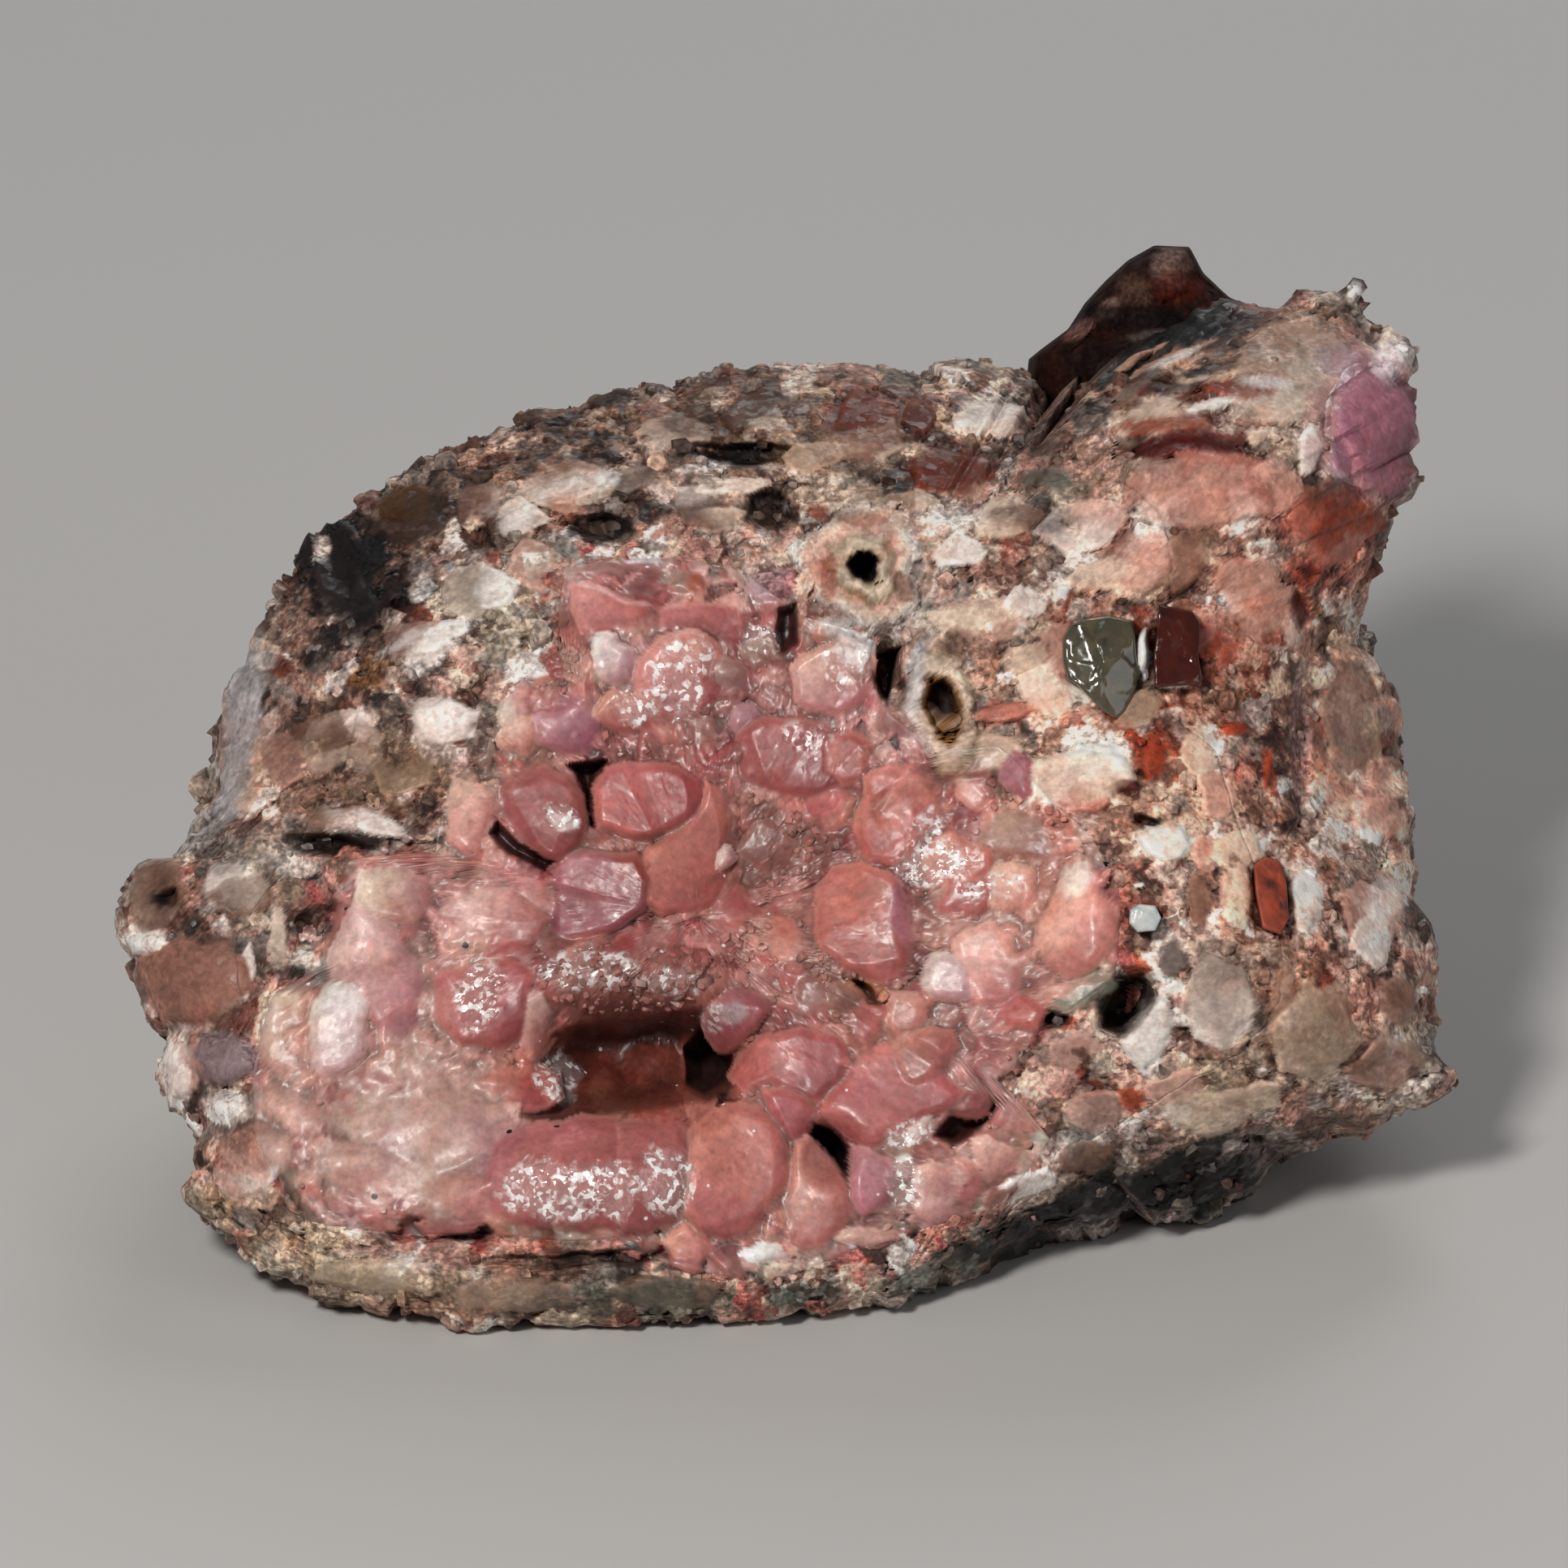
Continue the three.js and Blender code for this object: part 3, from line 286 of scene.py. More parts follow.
# Lesser crystals: across, down, half width, half height, rise, colour
LESSER_CRYSTALS = [
    (850, 720, 30, 18, 1.3, "taupe"), (936, 808, 28, 24, 1.5, "taupe"),
    (700, 898, 44, 34, 1.4, "lilac"), (640, 905, 30, 30, 1.2, "pale"),
    (576, 1000, 34, 50, 1.6, "pale"), (892, 1056, 15, 17, 3.4, "white"),
    (950, 1046, 42, 36, 1.3, "taupe"), (1178, 1068, 46, 38, 1.7, "salmon"),
    (1250, 1030, 54, 36, 1.2, "taupe"), (1250, 954, 28, 30, 2.0, "lilac"),
    (1196, 1106, 44, 30, 1.5, "rose"), (846, 1530, 34, 26, 1.7, "salmon"),
    (938, 1538, 32, 18, 2.0, "white"), (598, 1126, 70, 50, 1.3, "pale"),
    (650, 1340, 40, 36, 0.8, "rose"), (1290, 1330, 44, 30, 1.0, "pale"),
    (1196, 1352, 34, 24, 1.0, "darkrose"), (1250, 1250, 40, 24, 1.2, "rose"),
    (1240, 1096, 40, 34, 1.5, "pale"), (1040, 1230, 30, 24, 1.0, "taupe"),
    (760, 880, 44, 26, 1.6, "salmon"), (900, 836, 30, 26, 1.3, "taupe"),
    (1150, 1478, 40, 24, 1.4, "pale"), (1070, 1520, 44, 16, 1.4, "pale"),
    (1116, 1000, 40, 50, 2.0, "salmon"), (640, 1160, 44, 34, 1.3, "rose")]

# Low mounds of the hollow and crystals on the rock's edge: as in LESSER_CRYSTALS
SMOOTH_MOUNDS = [
    (520, 1380, 96, 66, 1.1, "pale"), (570, 1462, 74, 44, 1.2, "salmon"),
    (440, 1430, 70, 60, 1.0, "pale"), (470, 1330, 60, 34, 0.9, "rose"),
    (370, 1370, 60, 44, 1.1, "pale"), (610, 1330, 50, 36, 1.0, "salmon")]
EDGE_CRYSTALS = [
    (245, 1208, 76, 58, 1.9, "tan"), (276, 1304, 48, 34, 2.2, "greylilac"),
    (284, 1362, 26, 24, 1.8, "white"), (218, 1318, 24, 44, 1.5, "white"),
    (184, 1158, 34, 20, 1.6, "white"), (320, 1420, 56, 40, 1.4, "pinkish"),
    (250, 1300, 24, 30, 1.6, "pale")]

# The lilac cluster: its crystals as in CRYSTALS, its middle and edge, and its colour patches
LILAC_CRYSTALS = [
    ("lilac", 2.6, (0.1, -0.1), [(1640, 500), (1652, 462), (1680, 448), (1719, 458), (1744, 474),
        (1749, 536), (1732, 550), (1690, 566), (1662, 560), (1642, 536)], [(60, 26, 0.3),
        (-60, 30, 0.3)]),
    ("lilac", 1.9, (0.1, 0.1), [(1668, 556), (1700, 546), (1733, 550), (1747, 590), (1722, 610),
        (1690, 602), (1668, 584)], []),
    ("pale", 1.8, (0.2, 0), [(1712, 424), (1742, 418), (1740, 468), (1722, 466), (1706, 450)], []),
    ("pale", 1.6, (-0.2, 0), [(1640, 430), (1668, 424), (1690, 440), (1682, 462), (1652, 466),
        (1636, 452)], []),
    ("greylilac", 1.5, (-0.1, 0), [(1628, 520), (1650, 516), (1664, 548), (1666, 590), (1640, 596),
        (1622, 560)], [])]
LILAC_MIDDLE = (1690, 520)
LILAC_EDGE = [
    (1634, 470), (1655, 438), (1700, 424), (1733, 424), (1729, 470), (1740, 480), (1745, 536),
    (1726, 549), (1739, 580), (1741, 598), (1716, 610), (1680, 620), (1645, 606), (1630, 560),
    (1624, 510)]
LILAC_PATCHES = [
    (1690, 520, 66, 90, 0, "lilac", 0.75), (1630, 520, 22, 70, 8, "pinkish", 0.6),
    (1716, 440, 22, 26, 0, "white", 0.5), (1650, 440, 30, 24, 0, "greylilac", 0.6),
    (1614, 556, 16, 40, 8, "white", 0.5)]

# The rear peak: outline in the picture, depth of its back, thickness and foot in millimetres
PEAK_OUTLINE = [
    (1277, 452), (1279, 433), (1295, 420), (1326, 397), (1346, 366), (1371, 339), (1397, 315),
    (1429, 297), (1471, 299), (1487, 330), (1518, 359), (1558, 377), (1560, 396), (1520, 420),
    (1440, 470), (1380, 500), (1310, 512), (1284, 486)]
PEAK_DEPTH = 23
PEAK_RISE = 6.0
PEAK_BACK = 3.0
PEAK_SLOPES = (0, 0.1)
PEAK_FACETS = [(150, 10, 0.3), (30, 30, 0.4)]

# Single crystals: name, slot, node they stand for, colour, rise, slopes, outline, facets
SINGLE_CRYSTALS = [
    ("smoky_block", "smoky_calcite", "smoky_crystal", "smoke", 1.9, (0.1, 0.1), [(1308, 788),
        (1317, 772), (1338, 764), (1365, 760), (1394, 766), (1396, 784), (1398, 807), (1402, 830),
        (1398, 846), (1384, 878), (1374, 888), (1356, 876), (1338, 857), (1327, 845), (1314, 838),
        (1308, 815)], [(200, 12, 0.5), (-40, 10, 0.4)]),
    ("red_brown_block", "red_brown_calcite", "red_brown_crystal", "redbrown", 1.9, (-0.1, 0.1),
        [(1426, 746), (1445, 750), (1468, 754), (1477, 767), (1477, 792), (1474, 807), (1479, 834),
        (1476, 843), (1449, 845), (1421, 847), (1420, 807), (1424, 780)], [(20, 14, 0.4)]),
    ("brick_red_block", "brick_red_calcite", "brick_red_crystal", "brick", 1.7, (0.1, 0),
        [(1542, 1066), (1556, 1056), (1574, 1062), (1582, 1090), (1584, 1130), (1574, 1150),
        (1552, 1142), (1544, 1100)], [(200, 8, 0.4)]),
    ("pale_blue_block", "pale_calcite", "pale_blue_crystal", "paleblue", 1.7, (0, 0.1),
        [(1389, 1120), (1400, 1113), (1420, 1115), (1427, 1130), (1420, 1145), (1398, 1147),
        (1388, 1136)], [])]

# Places where broken facets glint, with less roughness, scaly relief and white flecks painted in as
# glints: across, down, half width, half height, turn, strength
GLOSS_AND_PAINTED_GLINTS = [
    (790, 870, 40, 24, -20, 1.0), (836, 836, 34, 50, 10, 1.0), (862, 812, 18, 30, 0, 0.8),
    (692, 1006, 22, 14, 20, 1.0), (880, 1255, 20, 20, 0, 0.6), (1150, 1062, 56, 26, -10, 1.0),
    (1140, 1030, 20, 34, 0, 0.8), (1112, 1448, 22, 36, 0, 1.0), (1120, 1395, 30, 18, -25, 0.9),
    (690, 1462, 60, 36, 0, 1.0), (752, 1460, 40, 40, 0, 1.0), (822, 1448, 34, 44, 0, 1.0),
    (592, 1222, 30, 40, 0, 0.8), (690, 1325, 30, 30, 0, 0.8), (936, 790, 24, 16, 0, 0.8),
    (1040, 822, 28, 26, 0, 0.5), (730, 1190, 60, 26, 0, 0.7), (830, 1210, 40, 20, 0, 0.7),
    (1200, 1100, 30, 14, 0, 0.6), (1230, 1090, 30, 16, 0, 0.6), (1000, 905, 40, 20, 0, 0.4)]

# Grains set in the rock: across, down, half width, half height, turn, rise, colour
GRAIN_BLOCKS = [
    # The first row, a white sliver between the smoky and the red-brown crystal, is a painted glint
    (1409, 802, 9, 34, 4, 5.0, "painted_glint"), (1444, 848, 26, 5, -4, 1.6, "white"),
    (1395, 872, 30, 34, 30, 1.3, "olive"), (1484, 790, 18, 26, 10, 1.2, "rust"),
    (1512, 805, 16, 22, 30, 1.2, "rust"), (1418, 936, 17, 26, 8, 1.3, "rust"),
    (1384, 967, 15, 10, 0, 1.2, "red"), (1520, 899, 17, 9, 8, 1.3, "rust"),
    (1562, 948, 7, 38, 6, 1.3, "rust"), (1480, 930, 26, 30, 0, 1.5, "cream"),
    (1495, 975, 30, 34, 20, 1.3, "pale"), (1345, 938, 30, 22, -20, 1.7, "white"),
    (1330, 985, 48, 20, 10, 1.5, "salmon"), (1436, 1040, 32, 24, 0, 1.9, "white"),
    (1520, 1106, 20, 46, 0, 1.6, "cream"), (1606, 1106, 20, 42, 0, 1.7, "white"),
    (1472, 1108, 16, 34, -10, 1.0, "brown"), (1520, 1050, 36, 26, 0, 1.3, "cream"),
    (1480, 1050, 20, 26, 0, 1.1, "pinkish"), (1412, 1272, 24, 42, 14, 1.9, "white"),
    (1618, 1266, 50, 62, 0, 2.0, "olive"), (1580, 1240, 18, 50, 0, 1.5, "brown"),
    (1392, 1350, 16, 18, 0, 1.3, "rust"), (1690, 1150, 30, 40, 0, 1.6, "white"),
    (1700, 1120, 20, 20, 0, 1.8, "white"), (1205, 932, 52, 26, -6, 1.9, "cream"),
    (1232, 882, 44, 14, -6, 1.6, "orange"), (1196, 756, 58, 17, -8, 1.8, "cream"),
    (1262, 744, 26, 20, 0, 1.5, "white"), (1300, 800, 30, 36, 0, 1.2, "pinkish"),
    (1260, 812, 34, 24, 0, 1.3, "cream"), (1172, 580, 58, 26, -12, 1.9, "rust"),
    (1060, 505, 36, 26, -20, 1.7, "stain"), (1130, 512, 26, 22, -10, 1.5, "rust"),
    (1000, 560, 46, 22, 0, 1.3, "cream"), (1220, 515, 46, 18, -8, 1.9, "white"),
    (1240, 640, 44, 22, 0, 1.4, "brown"), (1350, 640, 40, 26, 0, 1.5, "pinkish"),
    (1300, 590, 40, 16, 10, 1.3, "green"), (1456, 546, 78, 17, -6, 1.6, "red"),
    (1500, 566, 60, 18, 6, 1.7, "orange"), (1520, 477, 52, 11, 8, 1.8, "rust"),
    (1490, 500, 40, 9, -16, 1.7, "white"), (1450, 440, 60, 10, -24, 1.6, "white"),
    (1560, 470, 44, 9, 4, 1.9, "white"), (1410, 470, 40, 9, -26, 1.4, "grey"),
    (1430, 452, 50, 6, -28, 1.6, "brown"), (1480, 428, 56, 6, -24, 1.8, "dark"),
    (1530, 452, 50, 6, -12, 1.8, "brown"), (1500, 464, 44, 6, -10, 1.9, "cream"),
    (1464, 480, 40, 6, -20, 1.7, "dark"), (1560, 430, 40, 6, -8, 1.8, "grey"),
    (1404, 440, 36, 6, -32, 1.8, "white"), (1540, 410, 40, 6, -14, 1.8, "dark"),
    (1390, 490, 36, 6, -34, 1.7, "brown"), (1553, 536, 20, 14, 0, 2.0, "cream"),
    (1614, 556, 18, 34, 8, 2.0, "white"), (1480, 620, 60, 24, 0, 1.3, "pinkish"),
    (1570, 600, 34, 34, 0, 1.4, "pale"), (1634, 656, 26, 26, 0, 1.9, "rust"),
    (1674, 640, 34, 24, 0, 1.6, "stain"), (1614, 706, 20, 18, 0, 1.6, "rust"),
    (1598, 752, 12, 24, 0, 1.5, "rust"), (1540, 720, 44, 36, 0, 1.7, "pinkish"),
    (1450, 690, 44, 40, 0, 1.6, "brown"), (1360, 710, 50, 22, 0, 1.6, "cream"),
    (550, 888, 42, 32, -10, 2.3, "white"), (626, 880, 20, 20, 0, 1.6, "cream"),
    (400, 900, 44, 24, 20, 1.3, "brown"), (455, 1012, 54, 16, 14, 2.0, "white"),
    (350, 935, 30, 40, 0, 1.1, "pinkish"), (500, 945, 44, 30, 0, 1.0, "beige"),
    (500, 620, 40, 26, -20, 1.5, "ochre"), (700, 600, 56, 22, -16, 1.8, "white"),
    (640, 640, 34, 24, -10, 1.4, "white"), (780, 590, 40, 20, -10, 1.5, "grey"),
    (600, 720, 40, 30, 0, 1.4, "white"), (540, 790, 46, 18, -30, 1.5, "white"),
    (660, 700, 34, 34, 0, 1.2, "pinkish"), (190, 1080, 34, 22, -20, 1.7, "brown"),
    (345, 1170, 14, 50, 0, 1.4, "cream"), (300, 1100, 44, 30, 0, 1.5, "brown"),
    (300, 1200, 14, 40, 8, 1.5, "white"), (1680, 905, 26, 50, 0, 0.9, "olive"),
    (1700, 1010, 30, 30, 0, 1.4, "pinkish"), (1500, 1230, 48, 62, 0, 1.6, "grey"),
    (1440, 1180, 24, 30, 0, 1.2, "dark"), (1330, 1225, 44, 16, -20, 1.4, "green"),
    (1320, 1290, 40, 26, 0, 1.4, "pinkish"), (1260, 1460, 50, 18, -28, 1.2, "white"),
    (1340, 1420, 40, 20, -20, 1.2, "brown"), (1450, 1340, 40, 24, 0, 1.4, "pinkish"),
    (1540, 1350, 44, 22, 0, 1.4, "cream"), (1700, 1310, 40, 30, 0, 1.5, "pinkish"),
    (1720, 1230, 26, 34, 0, 1.2, "brown"), (880, 640, 40, 20, 0, 1.3, "cream"),
    (1180, 680, 30, 22, 0, 1.4, "white"), (900, 600, 50, 14, -6, 1.2, "white"),
    (1120, 620, 44, 16, 6, 1.5, "cream")]

# Tubes: middle, half width and height, turn, and a profile of share outwards, height and colour
# The black and dark middles of the profiles are painted shade in the tubes' holes
TUBES = [
    ((1065, 697), (84, 88), 0,
     [(0.0, -3.0, "black"), (0.16, -2.8, "black"), (0.22, 0.9, "dark"), (0.27, 1.5, "beige"),
      (0.36, 1.7, "cream"), (0.5, 1.3, "beige"), (0.58, 1.0, "pale"), (0.72, 1.2, "cream"),
      (0.86, 0.8, "white"), (1.0, -0.6, "pinkish")]),
    ((1160, 874), (46, 84), -8,
     [(0.0, -2.4, "dark"), (0.26, -2.2, "dark"), (0.4, 0.3, "ochre"), (0.52, 1.0, "cream"),
      (0.7, 0.9, "cream"), (0.85, 0.5, "beige"), (1.0, -0.4, "pinkish")])]

# Colour patches of the tubes, the peak and the crystals: across, down, half width, half height, turn
# in degrees, colour, strength
TUBE_PATCHES = [
    (1021, 715, 12, 34, 0, "rust", 0.6), (1113, 719, 14, 22, 0, "brown", 0.8),
    (1062, 640, 40, 9, 0, "rust", 0.35), (1052, 736, 22, 9, 20, "ochre", 0.4),
    (1095, 670, 10, 20, 0, "stain", 0.35), (1040, 775, 44, 13, 12, "white", 0.7),
    (1000, 700, 11, 50, 0, "pale", 0.6), (1126, 850, 9, 66, 10, "bluewhite", 0.7),
    (1106, 834, 8, 48, 8, "pale", 0.6), (1132, 905, 8, 30, -30, "white", 0.7)]
# On the peak the pinkish rows are painted highlights and the black rows painted shade
PEAK_PATCHES = [
    (1450, 322, 26, 26, 0, "pinkish", 0.34), (1458, 347, 36, 24, 0, "redbrown", 0.8),
    (1400, 352, 20, 24, -45, "brown", 0.25), (1370, 374, 18, 12, -40, "pinkish", 0.3),
    (1336, 400, 24, 10, -35, "pinkish", 0.26), (1420, 388, 110, 15, 8, "black", 0.8),
    (1380, 432, 60, 20, -20, "black", 0.6), (1430, 410, 40, 10, 0, "grey", 0.2),
    (1526, 388, 50, 16, 20, "redbrown", 0.7)]
# Among the crystals' patches the white and blue-white rows are painted glints
CRYSTAL_PATCHES = [
    (742, 1338, 22, 20, 0, "taupe", 0.6), (698, 1322, 22, 30, 0, "greylilac", 0.5),
    (812, 1312, 34, 30, 0, "taupe", 0.35), (856, 718, 15, 15, 0, "stain", 0.9),
    (782, 1066, 22, 22, 0, "rust", 0.6), (1050, 928, 22, 26, 0, "rust", 0.4),
    (1066, 1100, 30, 30, 0, "stain", 0.35), (1080, 985, 16, 20, 0, "stain", 0.5),
    (895, 1400, 30, 40, 0, "stain", 0.3), (1110, 1120, 12, 60, -12, "lilac", 0.8),
    (1066, 1190, 50, 16, 8, "rose", 0.7), (1344, 1110, 12, 40, 0, "orange", 0.5),
    (1322, 1080, 26, 22, 0, "white", 0.6), (668, 990, 50, 40, 0, "taupe", 0.2),
    (1052, 800, 24, 22, 0, "white", 0.5), (905, 1248, 20, 12, 20, "bluewhite", 0.7),
    (692, 1008, 17, 11, 25, "white", 0.7), (1180, 1062, 12, 18, 20, "white", 0.5)]

# Where small crystals stand thick: across, down, half width, half height
DRUSE_ZONES = [
    (770, 1205, 100, 44), (936, 806, 28, 24), (960, 1050, 70, 50), (1040, 1180, 36, 80),
    (650, 830, 70, 46), (950, 1180, 80, 50), (900, 890, 50, 26), (1240, 1010, 70, 50)]

# Holes in the crust: colour, depth in millimetres, outline, width of the sloping edge in pixels.
# The near-black colour is painted shade in the deepest holes, and the maroon is partly painted shade
CAVITIES = [
    ("vugwall", 1.8, [(640, 1376), (648, 1330), (668, 1292), (700, 1264), (760, 1256), (810, 1240),
        (868, 1238), (904, 1262), (902, 1330), (880, 1352), (829, 1366), (750, 1374), (690, 1384)],
        26),
    ("shade_red", 4.5, [(838, 1290), (862, 1262), (905, 1262), (902, 1322), (868, 1352), (842, 1340)],
        20),
    ("shade_red", 3.6, [(1070, 806), (1112, 795), (1110, 822), (1094, 868), (1084, 852)], 9),
    ("shade_red", 3.8, [(1002, 1376), (1016, 1386), (1046, 1414), (1050, 1452), (1030, 1440),
        (1008, 1412), (996, 1392)], 8),
    ("maroon", 2.6, [(700, 940), (748, 936), (734, 956), (730, 990), (736, 1022), (724, 1012),
        (718, 966)], 7),
    ("maroon", 1.8, [(612, 1010), (640, 1042), (690, 1064), (672, 1076), (630, 1056), (604, 1026)],
        9),
    ("maroon", 2.2, [(1151, 1400), (1176, 1366), (1236, 1348), (1216, 1376), (1172, 1412)], 12),
    ("maroon", 2.0, [(958, 748), (984, 740), (988, 790), (966, 802), (956, 780)], 10),
    ("brownpit", 1.8, [(1046, 1200), (1078, 1214), (1088, 1232), (1066, 1234)], 8)]

# Holes in the rock, as in CAVITIES: the black and dark colours are painted shade in the holes, and the
# dark red of the arch is painted shade
ROCK_CAVITIES = [
    ("black", 2.2, [(1356, 1262), (1360, 1232), (1376, 1202), (1400, 1196), (1424, 1226),
        (1404, 1262), (1380, 1278)], 14),
    ("dark", 1.0, [(1266, 1246), (1290, 1238), (1318, 1246), (1312, 1258), (1284, 1262)], 8),
    ("red", 0.45, [(1372, 562), (1400, 540), (1440, 530), (1480, 528), (1520, 540), (1544, 562),
        (1500, 557), (1450, 553), (1400, 564)], 10),
    ("red", 0.7, [(1590, 740), (1600, 724), (1614, 736), (1618, 766), (1604, 782), (1594, 768)], 8),
    ("red", 0.6, [(1598, 696), (1616, 690), (1630, 704), (1614, 714)], 8),
    ("black", 0.9, [(722, 652), (744, 640), (772, 642), (764, 658), (738, 664)], 8),
    ("maroon", 0.8, [(380, 640), (420, 650), (446, 700), (430, 740), (396, 720), (384, 680)], 16)]

# Smooth zones: across, down, half width, half height, turn, how calm
SMOOTH_ZONES = [
    (520, 1400, 130, 95, 0, 0.85), (300, 880, 46, 150, 8, 0.7), (1680, 900, 70, 130, 0, 0.6),
    (1065, 697, 84, 88, 0, 0.8), (1150, 868, 46, 76, 0, 0.8), (245, 1208, 80, 64, 0, 0.7),
    (1440, 380, 130, 80, 0, 0.5), (330, 1420, 70, 60, 0, 0.5), (1696, 520, 62, 110, 0, 0.9)]

# Films that multiply the colours, partly painted shade and partly tone. Painted shade: over the top,
# the upper left and the top of the lobe, which turn away from the light, in the notch and on the
# underside at the lower right. Tone: the rest, on the left, the right, the hollow, the vug, the lilac
# cluster, the bottom ledge and the smooth zone. Across, down, half width, half height, turn in
# degrees, and the share of red, green and blue that they leave
SHADE_AND_TONE_FILMS = [
    (980, 530, 380, 115, 2, (0.5, 0.4, 0.34)), (640, 560, 170, 90, -25, (0.45, 0.38, 0.34)),
    (430, 690, 150, 120, -45, (0.3, 0.25, 0.23)), (1440, 420, 180, 42, -24, (0.36, 0.24, 0.18)),
    (1604, 400, 84, 46, 0, (0.52, 0.41, 0.36)), (1294, 490, 36, 50, 25, (0.4, 0.32, 0.28)),
    (1280, 535, 40, 36, 30, (0.6, 0.5, 0.46)), (1500, 440, 120, 46, -16, (0.6, 0.5, 0.44)),
    (400, 930, 210, 120, 0, (0.7, 0.6, 0.58)), (230, 1250, 120, 200, 0, (0.7, 0.62, 0.6)),
    (1400, 1470, 230, 50, -15, (0.3, 0.3, 0.32)), (1520, 930, 300, 380, 0, (1.3, 1.08, 1.0)),
    (1600, 660, 150, 110, 0, (0.95, 0.9, 0.88)), (880, 1120, 330, 300, 0, (0.87, 0.66, 0.66)),
    (1690, 520, 80, 110, 0, (1.1, 1.0, 1.1)), (770, 1320, 150, 60, 0, (1.0, 0.66, 0.54)),
    (640, 1600, 400, 50, 0, (0.8, 0.78, 0.75)), (520, 1400, 150, 100, 0, (0.8, 0.82, 0.85))]

# Colours of the minerals, as seen in even light, and three that are painted light and shade: the
# shade of the underside, a near-black red for deep gaps and hollows, and a near-white for glints
COLOURS = {
    "cream": "#c9b5a2", "white": "#e2dad4", "pinkish": "#b48d80", "brown": "#7d5c4b",
    "dark": "#2c1813", "black": "#0c0807", "rust": "#8e3a1e", "red": "#5e170c", "ochre": "#94652a",
    "green": "#5f655a", "shade": "#2f3530", "bluewhite": "#b1b2b5", "grey": "#8b837c",
    "beige": "#a08d74", "olive": "#9f8a76", "rose": "#a95f5b", "salmon": "#bb7c6d",
    "pale": "#cfa294", "lilac": "#a56f79", "greylilac": "#9d8a8f", "darkrose": "#8a4540",
    "orange": "#b87567", "stain": "#9a4a2a", "painted_glint": "#fbf7f4", "vugwall": "#6c4030",
    "brownpit": "#5a3418", "taupe": "#8d6659", "maroon": "#4a1512", "shade_red": "#1f0706",
    "smoke": "#5b5747", "peak": "#22100b", "tan": "#b78776", "palelilac": "#bd9692",
    "redbrown": "#48170c", "brick": "#8a3a24", "paleblue": "#b9c2c4"}
